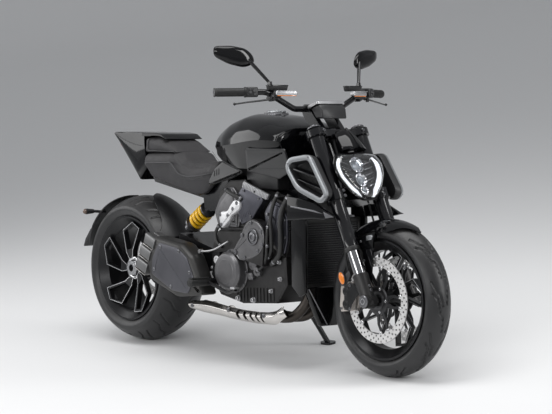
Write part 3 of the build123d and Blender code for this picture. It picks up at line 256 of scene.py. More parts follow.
class Effects:
    """The shader node groups that the materials share."""

    STREAK_STRETCH = (0.06, 1.0, 1.0)
    PEBBLE_EDGE = 0.25

    def __init__(self) -> None:
        """Build the shared node groups."""
        self.mottle = self._mottle()
        self.dust = self._dust()
        self.grains = {Grain.CAST: self._cast(), Grain.BRUSHED: self._brushed(),
                       Grain.LEATHER: self._leather(), Grain.RIBBED: self._ribbed()}

    @staticmethod
    def _mottle() -> bpy.types.NodeTree:
        """Returns: a group whose Factor wanders round 1 in soft patches."""
        tree, nodes, enter, leave = new_group(
            "Mottle", {"Scale": ("Float", 30.0), "Amount": ("Float", 0.1)}, {"Factor": "Float"})
        place = nodes.add("ShaderNodeTexCoord")
        noise = nodes.add("ShaderNodeTexNoise")
        noise.inputs["Detail"].default_value = 4
        nodes.wire((place, "Object", noise, "Vector"), (enter, "Scale", noise, "Scale"))
        centred = nodes.math("SUBTRACT", noise.outputs["Fac"], 0.5)
        spread = nodes.math("MULTIPLY", centred, enter.outputs["Amount"])
        nodes.link(nodes.math("MULTIPLY_ADD", spread, 3.0, 1.0), leave.inputs["Factor"])
        return tree

    @staticmethod
    def _relief(name: str, scale: float, height: float, kind: str, outputs: dict[str, str],
                **settings: object) -> tuple[Nodes, dict[str, bpy.types.Node]]:
        """Start a group with the relief of one texture.

        Args:
            name: The group's name.
            scale: Its default count of grains per metre.
            height: Its default height in metres.
            kind: The texture node's type name.
            outputs: Outputs beside Normal, as name to short socket type.
            settings: Properties of the texture node.

        Returns:
            The group's node helper, and its nodes by their part in it.
        """
        _, nodes, enter, leave = new_group(
            name, {"Scale": ("Float", scale), "Height": ("Float", height)},
            {"Normal": "Vector", **outputs})
        place = nodes.add("ShaderNodeTexCoord")
        texture = nodes.add(kind, **settings)
        bump = nodes.add("ShaderNodeBump")
        nodes.wire((place, "Object", texture, "Vector"), (enter, "Scale", texture, "Scale"),
                   (enter, "Height", bump, "Distance"), (bump, "Normal", leave, "Normal"))
        return nodes, {"place": place, "texture": texture, "bump": bump, "leave": leave}

    def _cast(self) -> bpy.types.NodeTree:
        """Returns: a group with the fine even relief of a casting or a moulding."""
        nodes, made = self._relief("CastGrain", 900.0, 0.00003, "ShaderNodeTexNoise", {})
        made["texture"].inputs["Detail"].default_value = 3
        nodes.wire((made["texture"], "Fac", made["bump"], "Height"))
        return nodes.tree

    def _brushed(self) -> bpy.types.NodeTree:
        """Returns: a group with fine streaks along the machine."""
        nodes, made = self._relief("BrushedGrain", 900.0, 0.00001, "ShaderNodeTexNoise",
                                   {"Streak": "Float"})
        noise = made["texture"]
        noise.inputs["Detail"].default_value = 2
        stretch = nodes.add("ShaderNodeVectorMath", operation="MULTIPLY")
        stretch.inputs[1].default_value = self.STREAK_STRETCH
        nodes.wire((made["place"], "Object", stretch, 0), (stretch, 0, noise, "Vector"),
                   (noise, "Fac", made["bump"], "Height"), (noise, "Fac", made["leave"], "Streak"))
        return nodes.tree

    def _leather(self) -> bpy.types.NodeTree:
        """Returns: a group with the pebbles and creases of a seat cover."""
        nodes, made = self._relief("LeatherGrain", 500.0, 0.0003, "ShaderNodeTexVoronoi",
                                   {"Crease": "Float"}, feature="DISTANCE_TO_EDGE")
        pebble = nodes.math("SMOOTH_MIN", made["texture"].outputs["Distance"],
                            self.PEBBLE_EDGE, 0.1)
        nodes.link(pebble, made["bump"].inputs["Height"])
        nodes.link(nodes.math("MULTIPLY", pebble, 1 / self.PEBBLE_EDGE),
                   made["leave"].inputs["Crease"])
        return nodes.tree

    def _ribbed(self) -> bpy.types.NodeTree:
        """Returns: a group with fine ribs across the machine, as on grips and footrests."""
        nodes, made = self._relief("RibbedGrain", 300.0, 0.001, "ShaderNodeTexWave", {},
                                   bands_direction="Y")
        nodes.wire((made["texture"], "Fac", made["bump"], "Height"))
        return nodes.tree

    @staticmethod
    def _dust() -> bpy.types.NodeTree:
        """Returns: a group whose Mask is where fine dust settles on upward faces."""
        tree, nodes, enter, leave = new_group(
            "SettledDust", {"Amount": ("Float", 0.1)}, {"Mask": "Float"})
        shape = nodes.add("ShaderNodeNewGeometry")
        place = nodes.add("ShaderNodeTexCoord")
        noise = nodes.add("ShaderNodeTexNoise")
        noise.inputs["Scale"].default_value = 55
        noise.inputs["Detail"].default_value = 6
        split = nodes.add("ShaderNodeSeparateXYZ")
        nodes.wire((place, "Object", noise, "Vector"), (shape, "Normal", split, 0))
        upward = nodes.math("MAXIMUM", split.outputs["Z"], 0.0)
        patchy = nodes.math("MULTIPLY", upward, noise.outputs["Fac"])
        nodes.link(nodes.math("MULTIPLY", patchy, enter.outputs["Amount"]), leave.inputs["Mask"])
        return tree


class Paintshop:
    """Makes each finish's material once."""

    COAT_ROUGHNESS = 0.04
    DUST_COLOUR = (0.32, 0.3, 0.27, 1)

    def __init__(self) -> None:
        """Start with no materials."""
        self.effects = Effects()
        self.made: dict[str, bpy.types.Material] = {}

    def material(self, finish: Finish) -> bpy.types.Material:
        """Make or find a finish's material.

        Args:
            finish: The finish.

        Returns:
            The material.
        """
        if finish.name not in self.made:
            self.made[finish.name] = self._build(finish)
        return self.made[finish.name]

    def _build(self, finish: Finish) -> bpy.types.Material:
        """Build one finish.

        Args:
            finish: The finish.

        Returns:
            The new material.
        """
        made = bpy.data.materials.new(finish.name)
        made.use_nodes = True
        made.diffuse_color = (*finish.colour, 1)
        nodes = Nodes(made.node_tree)
        shader = made.node_tree.nodes["Principled BSDF"]
        for key, value in (("Metallic", finish.metallic), ("Coat Weight", finish.coat),
                           ("Coat Roughness", self.COAT_ROUGHNESS),
                           ("Specular IOR Level", finish.shine),
                           ("Transmission Weight", finish.clear),
                           ("Emission Color", (*finish.colour, 1)),
                           ("Emission Strength", finish.glow)):
            shader.inputs[key].default_value = value
        mottle = nodes.add("ShaderNodeGroup", node_tree=self.effects.mottle)
        mottle.inputs["Scale"].default_value = finish.mottle_scale
        mottle.inputs["Amount"].default_value = finish.mottle
        tint = nodes.add("ShaderNodeVectorMath", operation="SCALE")
        tint.inputs[0].default_value = finish.colour
        dust = nodes.add("ShaderNodeGroup", node_tree=self.effects.dust)
        dust.inputs["Amount"].default_value = finish.dust
        mix = nodes.add("ShaderNodeMix", data_type="RGBA")
        mix.inputs[7].default_value = self.DUST_COLOUR
        nodes.wire((mottle, "Factor", tint, "Scale"), (dust, "Mask", mix, "Factor"),
                   (tint, 0, mix, 6), (mix, 2, shader, "Base Color"))
        rough = nodes.math("MULTIPLY", mottle.outputs["Factor"], finish.roughness)
        nodes.link(nodes.math("ADD", rough, dust.outputs["Mask"]), shader.inputs["Roughness"])
        self._relief(nodes, finish, shader)
        return made

    def _relief(self, nodes: Nodes, finish: Finish, shader: bpy.types.Node) -> None:
        """Give a material its relief.

        Args:
            nodes: The material's nodes.
            finish: The finish.
            shader: Its Principled shader.
        """
        if finish.grain not in self.effects.grains:
            return
        relief = nodes.add("ShaderNodeGroup", node_tree=self.effects.grains[finish.grain])
        relief.inputs["Scale"].default_value = finish.grain_scale
        relief.inputs["Height"].default_value = finish.grain_height
        nodes.wire((relief, "Normal", shader, "Normal"))


GLOSS_BLACK = Finish("gloss_black_paint", "gloss_black_paint", (0.002, 0.002, 0.0025), 0.07,
                     mottle=0.02, grain=Grain.SMOOTH, shine=0.34)
SATIN_PLASTIC = Finish("satin_plastic", "satin_plastic", (0.014, 0.014, 0.015), 0.42,
                       grain_scale=1500, grain_height=0.00004)
FORK_BLACK = Finish("fork_black", "fork_black", (0.004, 0.004, 0.005), 0.17, mottle=0.05,
                    grain=Grain.SMOOTH, shine=0.5)
BLACK_ALLOY = Finish("black_alloy", "black_alloy", (0.008, 0.008, 0.009), 0.3, metallic=0.4,
                     grain_height=0.00002)
GREY_CASTING = Finish("grey_casting", "grey_casting", (0.045, 0.044, 0.044), 0.42, metallic=0.85,
                      mottle=0.2, grain_scale=700, grain_height=0.00006)
BRIGHT_CASTING = Finish("bright_casting", "bright_casting", (0.5, 0.5, 0.51), 0.36, metallic=0.9,
                        grain_scale=800, grain_height=0.00005)
BRUSHED_STEEL = Finish("brushed_steel", "brushed_steel", (0.56, 0.56, 0.57), 0.24, metallic=1.0,
                       mottle=0.06, grain=Grain.BRUSHED, grain_height=0.00001)
CHROME = Finish("polished_chrome", "polished_chrome", (0.75, 0.75, 0.77), 0.07, metallic=1.0,
                mottle=0.02, grain=Grain.SMOOTH)
STANCHION_CHROME = Finish("stanchion_chrome", "polished_chrome", (0.3, 0.3, 0.31), 0.1,
                          metallic=1.0, mottle=0.03, grain=Grain.SMOOTH)
TYRE_RUBBER = Finish("tyre_rubber", "tyre_rubber", (0.013, 0.013, 0.014), 0.4, mottle=0.2,
                     grain_scale=600, grain_height=0.00012, dust=0.06)
GRIP_RUBBER = Finish("grip_rubber", "grip_rubber", (0.01, 0.01, 0.01), 0.55, grain=Grain.RIBBED,
                     grain_scale=95, grain_height=0.001)
INTAKE_SILVER = Finish("intake_silver", "intake_silver", (0.3, 0.31, 0.32), 0.3, metallic=0.75,
                       mottle=0.05, grain_scale=2000, grain_height=0.00001)
SEAT_COVER = Finish("seat_fabric", "seat_fabric", (0.022, 0.021, 0.023), 0.6, mottle=0.2,
                    grain=Grain.LEATHER, grain_scale=420, grain_height=0.0004, dust=0.05)
EXHAUST_STEEL = Finish("bronze_steel", "bronze_steel", (0.055, 0.048, 0.043), 0.36, metallic=0.95,
                       mottle=0.2, mottle_scale=14, grain=Grain.BRUSHED, grain_height=0.00001)
RADIATOR_BLACK = Finish("radiator_fins", "radiator_fins", (0.012, 0.012, 0.012), 0.5, metallic=0.5)
SPRING_YELLOW = Finish("spring_yellow", "spring_yellow", (0.8, 0.46, 0.01), 0.28, coat=0.6,
                       mottle=0.06, grain=Grain.SMOOTH)
SHOCK_STEEL = Finish("shock_steel", "shock_steel", (0.2, 0.2, 0.21), 0.3, metallic=0.9)

MACHINED_EDGE = Finish("machined_edge", "brushed_steel", (0.72, 0.72, 0.73), 0.26, metallic=1.0,
                       mottle=0.05, grain_scale=2500, grain_height=0.00001)
BLACK_EDGE = Finish("black_edge", "black_alloy", (0.05, 0.05, 0.052), 0.25, metallic=0.9)
CARRIER_GREY = Finish("carrier_grey", "black_alloy", (0.05, 0.05, 0.052), 0.35, metallic=0.8)
DISC_STEEL = Finish("disc_steel", "brushed_steel", (0.78, 0.77, 0.76), 0.36, metallic=0.85,
                    mottle=0.06, grain=Grain.BRUSHED, grain_scale=1600, grain_height=0.000004)
SPROCKET_STEEL = Finish("sprocket_steel", "brushed_steel", (0.16, 0.16, 0.165), 0.38,
                        metallic=0.9, grain_height=0.00002)
CHAIN_STEEL = Finish("chain_steel", "brushed_steel", (0.2, 0.19, 0.18), 0.4, metallic=0.95,
                     mottle=0.35, mottle_scale=120)
CALIPER_ALLOY = Finish("caliper_alloy", "bright_casting", (0.5, 0.46, 0.43), 0.4, metallic=0.55,
                       mottle=0.08, grain_scale=900, grain_height=0.00003)

GRIP_SOFT = Finish("soft_rubber", "grip_rubber", (0.012, 0.012, 0.012), 0.5, grain_scale=1200)
BUTTON_GREY = Finish("button_grey", "satin_plastic", (0.06, 0.06, 0.062), 0.5)
LEVER_GREY = Finish("lever_grey", "satin_plastic", (0.03, 0.03, 0.031), 0.28, metallic=0.6)
INDICATOR_SILVER = Finish("indicator_silver", "bright_casting", (0.42, 0.42, 0.43), 0.36,
                          metallic=0.8, grain_scale=1600)
AMBER_LENS = Finish("amber_lens", "lamp_glass", (0.75, 0.2, 0.01), 0.18, coat=0.6, mottle=0.05,
                    grain=Grain.SMOOTH)
SMOKED_LENS = Finish("smoked_lens", "lamp_glass", (0.09, 0.05, 0.03), 0.12, coat=0.6, mottle=0.05,
                     grain=Grain.SMOOTH)
RED_LENS = Finish("red_lens", "lamp_red", (0.3, 0.006, 0.006), 0.12, coat=0.8, mottle=0.05,
                  grain=Grain.SMOOTH)
CLEAR_COVER = Finish("clear_cover", "lamp_glass", (0.96, 0.97, 0.98), 0.02, mottle=0.0,
                     grain=Grain.SMOOTH, clear=1.0)
LAMP_EYE = Finish("lamp_eye", "lamp_glass", (0.5, 0.55, 0.6), 0.05, coat=1.0, mottle=0.0,
                  grain=Grain.SMOOTH, clear=0.6)
WHITE_BAND = Finish("white_band", "lamp_glass", (0.85, 0.87, 0.9), 0.25, mottle=0.02,
                    grain=Grain.SMOOTH, glow=0.75)
MIRROR_GLASS = Finish("mirror_glass", "gloss_black_paint", (0.7, 0.72, 0.75), 0.02, metallic=1.0,
                      mottle=0.0, grain=Grain.SMOOTH)
DARK_SCREEN = Finish("dark_screen", "satin_plastic", (0.01, 0.011, 0.013), 0.1, coat=0.8,
                     mottle=0.02, grain=Grain.SMOOTH)
CORE_FIN = Finish("core_fin", "radiator_fins", (0.05, 0.05, 0.052), 0.4, metallic=0.8,
                  grain=Grain.SMOOTH)

PIPING = Finish("seat_piping", "seat_fabric", (0.03, 0.03, 0.032), 0.45, grain=Grain.SMOOTH)
STITCH = Finish("seat_stitching", "seat_fabric", (0.05, 0.05, 0.052), 0.7, grain=Grain.SMOOTH)
PANEL_GREY = Finish("panel_grey", "satin_plastic", (0.02, 0.02, 0.021), 0.36, coat=0.1,
                    grain_scale=1500)
COVER_GREY = Finish("cover_grey", "grey_casting", (0.15, 0.148, 0.152), 0.38, metallic=0.8,
                    mottle=0.16, grain_scale=800, grain_height=0.00006)
BLUE_CASTING = Finish("blue_casting", "grey_casting", (0.085, 0.086, 0.102), 0.36, metallic=0.8,
                      mottle=0.14, grain_scale=900, grain_height=0.00005)
PUMP_ALLOY = Finish("pump_alloy", "bright_casting", (0.72, 0.72, 0.73), 0.42, metallic=0.6,
                    mottle=0.08, grain_scale=900, grain_height=0.00006)
SHIELD_STEEL = Finish("shield_steel", "brushed_steel", (0.56, 0.54, 0.52), 0.2, metallic=1.0,
                      mottle=0.12, mottle_scale=18, grain=Grain.BRUSHED, grain_height=0.00001)
SILENCER_GREY = Finish("silencer_grey", "bronze_steel", (0.05, 0.049, 0.048), 0.42, metallic=0.7,
                       mottle=0.12, mottle_scale=14)
SILENCER_PANEL = Finish("silencer_panel", "bronze_steel", (0.1, 0.1, 0.112), 0.36,
                        metallic=0.75, mottle=0.16, mottle_scale=12)
OUTLET_GREY = Finish("outlet_grey", "bronze_steel", (0.2, 0.2, 0.2), 0.35, metallic=0.85,
                     mottle=0.14)

NODE_FINISHES = {finish.slot: finish for finish in (
    GLOSS_BLACK, SATIN_PLASTIC, FORK_BLACK, BLACK_ALLOY, GREY_CASTING, BRIGHT_CASTING,
    BRUSHED_STEEL, CHROME, TYRE_RUBBER, GRIP_RUBBER, INTAKE_SILVER, SEAT_COVER, EXHAUST_STEEL,
    RADIATOR_BLACK, SPRING_YELLOW, SHOCK_STEEL, CLEAR_COVER, RED_LENS)}


# ---------------------------------------------------------------- drawing pieces


class Maker:
    """Turns upright, millimetre meshes into finished pieces that ride on their bodies."""

    def __init__(self, paint: Paintshop) -> None:
        """Start with no pieces.

        Args:
            paint: Makes the materials.
        """
        self.paint = paint
        self.count = 0

    def piece(self, name: str, mesh: bmesh.types.BMesh, finish: Finish, body: str,
              replaces: Sequence[str] = (), **shaping: float) -> bpy.types.Object:
        """Place a mesh as one finished piece.

        Args:
            name: The piece's name.
            mesh: Its mesh, upright and in millimetres; it is freed.
            finish: Its finish.
            body: The body that it rides on.
            replaces: CAD nodes that it stands for.
            shaping: What ``placed`` takes as smooth, bevel or subdivide.

        Returns:
            The piece.
        """
        bmesh.ops.recalc_face_normals(mesh, faces=mesh.faces)
        data = bpy.data.meshes.new(name)
        mesh.to_mesh(data)
        mesh.free()
        return self.placed(name, data, finish, body, replaces, **shaping)

    def placed(self, name: str, data: bpy.types.Mesh, finish: Finish, body: str,
               replaces: Sequence[str] = (), smooth: float = 40.0, bevel: float = 0.0,
               subdivide: int = 0) -> bpy.types.Object:
        """Place mesh data as one finished piece.

        Args:
            name: The piece's name.
            data: Its mesh data, upright and in millimetres.
            finish: Its finish.
            body: The body that it rides on.
            replaces: CAD nodes that it stands for.
            smooth: Largest angle, in degrees, that is shaded smooth.
            bevel: Width of its rounded edges in millimetres, or 0.
            subdivide: Levels of smooth subdivision.

        Returns:
            The piece.
        """
        if bevel or subdivide:
            data = self._shaped(data, bevel, subdivide)
        data.transform(UPRIGHT.matrix)
        made = bpy.data.objects.new(name, data)
        bpy.context.scene.collection.objects.link(made)
        data.materials.clear()
        data.materials.append(self.paint.material(finish))
        for face in data.polygons:
            face.use_smooth = True
        data.set_sharp_from_angle(angle=math.radians(smooth))
        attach(made, body)
        if replaces:
            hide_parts(*replaces)
        self.count += 1
        return made

    @staticmethod
    def _shaped(data: bpy.types.Mesh, bevel: float, subdivide: int) -> bpy.types.Mesh:
        """Round a mesh's edges and subdivide it.

        Args:
            data: The mesh, in millimetres.
            bevel: Width of the rounding.
            subdivide: Levels of subdivision.

        Returns:
            The new mesh.
        """
        holder = bpy.data.objects.new("shaping", data)
        bpy.context.scene.collection.objects.link(holder)
        if bevel:
            rounding = holder.modifiers.new("rounding", "BEVEL")
            rounding.width = bevel
            rounding.segments = 3
            rounding.limit_method = "ANGLE"
            rounding.angle_limit = math.radians(35)
        if subdivide:
            smoothing = holder.modifiers.new("smoothing", "SUBSURF")
            smoothing.levels = smoothing.render_levels = subdivide
        graph = bpy.context.evaluated_depsgraph_get()
        made = bpy.data.meshes.new_from_object(holder.evaluated_get(graph))
        bpy.data.objects.remove(holder)
        return made


def loft(rings: Sequence[Sequence[Sequence[float]]], closed: bool = True,
         caps: bool = True) -> bmesh.types.BMesh:
    """Join rings of points into one skin.

    Args:
        rings: Rings with equal counts of points.
        closed: Whether each ring closes on itself.
        caps: Whether the first and last rings are filled.

    Returns:
        The mesh.
    """
    mesh = bmesh.new()
    rows = [[mesh.verts.new(point) for point in ring] for ring in rings]
    count = len(rings[0])
    for lower, upper in zip(rows, rows[1:]):
        for index in range(count if closed else count - 1):
            after = (index + 1) % count
            mesh.faces.new((lower[index], lower[after], upper[after], upper[index]))
    if caps and closed:
        mesh.faces.new(rows[0])
        mesh.faces.new(rows[-1])
    return mesh


def joined(*meshes: bmesh.types.BMesh) -> bmesh.types.BMesh:
    """Put several meshes in one.

    Args:
        meshes: The meshes; all but the first are freed.

    Returns:
        The first, holding all of them.
    """
    first = meshes[0]
    for other in meshes[1:]:
        data = bpy.data.meshes.new("joining")
        other.to_mesh(data)
        other.free()
        first.from_mesh(data)
        bpy.data.meshes.remove(data)
    return first


def mirrored(mesh: bmesh.types.BMesh) -> bmesh.types.BMesh:
    """Add a mesh's mirror image on the machine's other side.

    Args:
        mesh: The mesh.

    Returns:
        The same mesh, with both sides.
    """
    other = mesh.copy()
    bmesh.ops.scale(other, vec=(1, -1, 1), verts=other.verts)
    bmesh.ops.reverse_faces(other, faces=other.faces)
    return joined(mesh, other)


def frame_at(way: Vector, up: Vector = Vector((0, 0, 1))) -> tuple[Vector, Vector]:
    """Find two directions square to a way.

    Args:
        way: The direction.
        up: A direction that the second one leans towards.

    Returns:
        The sideways and the upward directions.
    """
    side = way.cross(up)
    if side.length < 1e-6:
        side = way.cross(Vector((1, 0, 0)))
    side.normalize()
    return side, side.cross(way).normalized()


def smooth_line(points: Sequence[Point], per_span: int = 8) -> list[Vector]:
    """Run a smooth line through points.

    Args:
        points: The points.
        per_span: Steps between two of them.

    Returns:
        Points along the line.
    """
    track = [Vector(point) for point in points]
    track = [2 * track[0] - track[1], *track, 2 * track[-1] - track[-2]]
    line = []
    for before, start, end, after in zip(track, track[1:], track[2:], track[3:]):
        for step in range(per_span):
            t = step / per_span
            line.append(0.5 * ((2 * start) + (end - before) * t
                               + (2 * before - 5 * start + 4 * end - after) * t * t
                               + (3 * start - before - 3 * end + after) * t ** 3))
    return [*line, track[-2]]


def tube(points: Sequence[Sequence[float]], radius: float | Callable[[float], float],
         sides: int = 16, flatten: float = 1.0) -> bmesh.types.BMesh:
    """Sweep a round section along a line.

    Args:
        points: Points of the line.
        radius: The section's radius, or a function of the share of the way along.
        sides: Sides of the section.
        flatten: Height of the section as a share of its width.

    Returns:
        The tube.
    """
    line = [Vector(point) for point in points]
    rings = []
    up = Vector((0, 0, 1))
    for index, point in enumerate(line):
        way = line[min(index + 1, len(line) - 1)] - line[max(index - 1, 0)]
        side, up = frame_at(way.normalized(), up)
        size = radius(index / (len(line) - 1)) if callable(radius) else radius
        rings.append([point + side * size * math.cos(turn) + up * size * flatten * math.sin(turn)
                      for turn in (math.tau * k / sides for k in range(sides))])
    return loft(rings)


def lathe(profile: Sequence[Flat], centre: Sequence[float], way: Sequence[float],
          sides: int = 48) -> bmesh.types.BMesh:
    """Turn a profile about a line; one that ends where it starts makes a hollow ring.

    Args:
        profile: Pairs of (distance along the line, radius).
        centre: A point on the line.
        way: The line's direction.
        sides: Sides of the turned form.

    Returns:
        The turned form.
    """
    axis = Vector(way).normalized()
    side, up = frame_at(axis)
    middle = Vector(centre)
    turns = [math.tau * step / sides for step in range(sides)]
    rings = [[middle + axis * along
              + (side * math.cos(turn) + up * math.sin(turn)) * max(size, 0.01)
              for turn in turns] for along, size in profile]
    hollow = profile[0] == profile[-1]
    mesh = loft(rings, caps=not hollow)
    if hollow:
        bmesh.ops.remove_doubles(mesh, verts=mesh.verts, dist=0.001)
    return mesh


def plate(outline: Sequence[Sequence[float]], offset: Sequence[float]) -> bmesh.types.BMesh:
    """Thicken a flat outline.

    Args:
        outline: The outline's points.
        offset: The thickness, as a vector.

    Returns:
        The plate.
    """
    low = [Vector(point) for point in outline]
    return loft([low, [point + Vector(offset) for point in low]])


def side_plate(outline: Sequence[Flat], inner: float, outer: float) -> bmesh.types.BMesh:
    """Thicken an outline drawn from the machine's right.

    Args:
        outline: Points (forward, up).
        inner: Distance of its inner face to the right of the middle.
        outer: Distance of its outer face.

    Returns:
        The plate.
    """
    return plate([(x, -inner, z) for x, z in outline], (0, inner - outer, 0))


def bolt(place: Sequence[float], way: Sequence[float], radius: float = 6.0,
         height: float = 5.0) -> bmesh.types.BMesh:
    """Make a socket-headed bolt.

    Args:
        place: Where its head sits.
        way: Which way the head faces.
        radius: The head's radius.
        height: The head's height.

    Returns:
        The head.
    """
    return lathe([(-1, radius), (height - 1, radius), (height, radius - 1),
                  (height, radius * 0.5), (height * 0.45, radius * 0.45), (height * 0.45, 0)],
                 place, way, sides=18)


# ---------------------------------------------------------------- what repeats


class Patterns:
    """Geometry Nodes trees for what repeats; each result is made a plain mesh."""

    def __init__(self, paint: Paintshop) -> None:
        """Build the trees.

        Args:
            paint: Makes the materials.
        """
        self.paint = paint
        self.round = self._round_tree()
        self.along = self._along_tree()

    @staticmethod
    def _start(name: str, inputs: Sequence[tuple[str, str]]) -> tuple[bpy.types.NodeTree, Nodes]:
        """Start a Geometry Nodes tree.

        Args:
            name: The tree's name.
            inputs: Pairs of (input name, short socket type).

        Returns:
            The tree and its node helper.
        """
        tree = bpy.data.node_groups.new(name, "GeometryNodeTree")
        tree.interface.new_socket("Geometry", in_out="INPUT", socket_type="NodeSocketGeometry")
        for key, kind in inputs:
            tree.interface.new_socket(key, in_out="INPUT", socket_type="NodeSocket" + kind)
        tree.interface.new_socket("Geometry", in_out="OUTPUT", socket_type="NodeSocketGeometry")
        return tree, Nodes(tree)

    @staticmethod
    def _finish(nodes: Nodes, enter: bpy.types.Node, instances: bpy.types.NodeSocket) -> None:
        """End a tree: real meshes, joined where they meet, with their material.

        Args:
            nodes: The tree's node helper.
            enter: The tree's input node.
            instances: The copies.
        """
        real = nodes.add("GeometryNodeRealizeInstances")
        merge = nodes.add("GeometryNodeMergeByDistance")
        paint = nodes.add("GeometryNodeSetMaterial")
        leave = nodes.add("NodeGroupOutput")
        nodes.link(instances, real.inputs["Geometry"])
        nodes.wire((real, "Geometry", merge, "Geometry"), (enter, "Weld", merge, "Distance"),
                   (merge, "Geometry", paint, "Geometry"), (enter, "Material", paint, "Material"),
                   (paint, "Geometry", leave, "Geometry"))

    def _round_tree(self) -> bpy.types.NodeTree:
        """Returns: a tree that repeats an item round an axis."""
        tree, nodes = self._start("RepeatRound", [
            ("Count", "Int"), ("Centre", "Vector"), ("Axis", "Vector"), ("Weld", "Float"),
            ("Material", "Material")])
        enter = nodes.add("NodeGroupInput")
        shift = nodes.add("ShaderNodeVectorMath", operation="SCALE")
        shift.inputs["Scale"].default_value = -1
        move = nodes.add("GeometryNodeTransform")
        points = nodes.add("GeometryNodePoints")
        index = nodes.add("GeometryNodeInputIndex")
        share = nodes.math("DIVIDE", index.outputs[0], enter.outputs["Count"])
        angle = nodes.math("MULTIPLY", share, math.tau)
        turn = nodes.add("FunctionNodeAxisAngleToRotation")
        nodes.link(angle, turn.inputs["Angle"])
        copies = nodes.add("GeometryNodeInstanceOnPoints")
        nodes.wire((enter, "Centre", shift, 0), (enter, "Geometry", move, "Geometry"),
                   (shift, 0, move, "Translation"), (enter, "Count", points, "Count"),
                   (enter, "Centre", points, "Position"), (enter, "Axis", turn, "Axis"),
                   (points, 0, copies, "Points"), (move, "Geometry", copies, "Instance"),
                   (turn, "Rotation", copies, "Rotation"))
        self._finish(nodes, enter, copies.outputs["Instances"])
        return tree

    def _along_tree(self) -> bpy.types.NodeTree:
        """Returns: a tree that repeats an item along a line, evenly."""
        tree, nodes = self._start("RepeatAlong", [
            ("Item", "Object"), ("Count", "Int"), ("Side", "Vector"), ("Weld", "Float"),
            ("Material", "Material")])
        enter = nodes.add("NodeGroupInput")
        item = nodes.add("GeometryNodeObjectInfo")
        curve = nodes.add("GeometryNodeMeshToCurve")
        points = nodes.add("GeometryNodeCurveToPoints", mode="COUNT")
        turn = nodes.add("FunctionNodeAxesToRotation", primary_axis="X", secondary_axis="Y")
        copies = nodes.add("GeometryNodeInstanceOnPoints")
        nodes.wire((enter, "Item", item, "Object"), (enter, "Geometry", curve, "Mesh"),
                   (curve, 0, points, "Curve"), (enter, "Count", points, "Count"),
                   (points, "Tangent", turn, "Primary Axis"),
                   (enter, "Side", turn, "Secondary Axis"), (points, "Points", copies, "Points"),
                   (item, "Geometry", copies, "Instance"), (turn, "Rotation", copies, "Rotation"))
        self._finish(nodes, enter, copies.outputs["Instances"])
        return tree

    def _run(self, base: bmesh.types.BMesh, tree: bpy.types.NodeTree,
             values: dict[str, object]) -> bpy.types.Mesh:
        """Run a tree on a mesh.

        Args:
            base: The mesh; it is freed.
            tree: The tree.
            values: Its inputs by name.

        Returns:
            The plain result.
        """
        data = bpy.data.meshes.new("pattern")
        base.to_mesh(data)
        base.free()
        holder = bpy.data.objects.new("pattern", data)
        bpy.context.scene.collection.objects.link(holder)
        nodes = holder.modifiers.new("pattern", "NODES")
        nodes.node_group = tree
        for socket in tree.interface.items_tree:
            if socket.in_out == "INPUT" and socket.name in values:
                nodes[socket.identifier] = values[socket.name]
        graph = bpy.context.evaluated_depsgraph_get()
        made = bpy.data.meshes.new_from_object(holder.evaluated_get(graph))
        bpy.data.objects.remove(holder)
        return made

    def ring(self, item: bmesh.types.BMesh, count: int, centre: Sequence[float],
             axis: Sequence[float], finish: Finish, weld: float = 0.0) -> bpy.types.Mesh:
        """Repeat an item round an axis.

        Args:
            item: The item where its first copy lies; it is freed.
            count: How many.
            centre: A point on the axis.
            axis: The axis.
            finish: The finish of all of them.
            weld: Distance within which their points are joined.

        Returns:
            The mesh of all of them.
        """
        return self._run(item, self.round, {
            "Count": count, "Centre": tuple(float(x) for x in centre),
            "Axis": tuple(float(x) for x in axis), "Weld": weld,
            "Material": self.paint.material(finish)})

    def row(self, line: Sequence[Sequence[float]], item: bmesh.types.BMesh, count: int,
            side: Sequence[float], finish: Finish, closed: bool = False) -> bpy.types.Mesh:
        """Repeat an item along a line.

        Args:
            line: Points of the line.
            item: The item at the origin, X along the line and Y towards ``side``; it is freed.
            count: How many.
            side: The direction of the item's Y.
            finish: The finish of all of them.
            closed: Whether the line closes on itself.

        Returns:
            The mesh of all of them.
        """
        track = bmesh.new()
        points = [track.verts.new(point) for point in line]
        for first, second in zip(points, points[1:]):
            track.edges.new((first, second))
        if closed:
            track.edges.new((points[-1], points[0]))
        data = bpy.data.meshes.new("item")
        item.to_mesh(data)
        item.free()
        holder = bpy.data.objects.new("item", data)
        made = self._run(track, self.along, {
            "Item": holder, "Count": count, "Side": tuple(float(x) for x in side),
            "Weld": 0.0, "Material": self.paint.material(finish)})
        bpy.data.objects.remove(holder)
        return made


def bolts(places: Sequence[Sequence[float]], way: Sequence[float], radius: float,
          height: float) -> bmesh.types.BMesh:
    """Make equal bolts.

    Args:
        places: Where their heads sit.
        way: Which way the heads face.
        radius: The heads' radius.
        height: The heads' height.

    Returns:
        All the heads.
    """
    return joined(*[bolt(place, way, radius, height) for place in places])


def studs(places: Sequence[Flat], washer: Sequence[Flat], depths: Flat, head: Flat,
          sides: int = 20) -> bmesh.types.BMesh:
    """Make bolts on washers, on the machine's right.

    Args:
        places: Points (forward, up).
        washer: The washer's profile.
        depths: Distance of the washer and of the bolt to the right of the middle.
        head: The bolt head's radius and height.
        sides: Sides of the washer.

    Returns:
        All of them.
    """
    return joined(*[joined(lathe(washer, (x, -depths[0], z), RIGHT, sides),
                           bolt((x, -depths[1], z), RIGHT, *head)) for x, z in places])


def with_data(mesh: bmesh.types.BMesh, *others: bpy.types.Mesh) -> bmesh.types.BMesh:
    """Add finished mesh data to a mesh.

    Args:
        mesh: The mesh.
        others: Mesh data to add; it is removed.

    Returns:
        The same mesh, with all of it.
    """
    for data in others:
        mesh.from_mesh(data)
        bpy.data.meshes.remove(data)
    return mesh


# ---------------------------------------------------------------- places on the machine

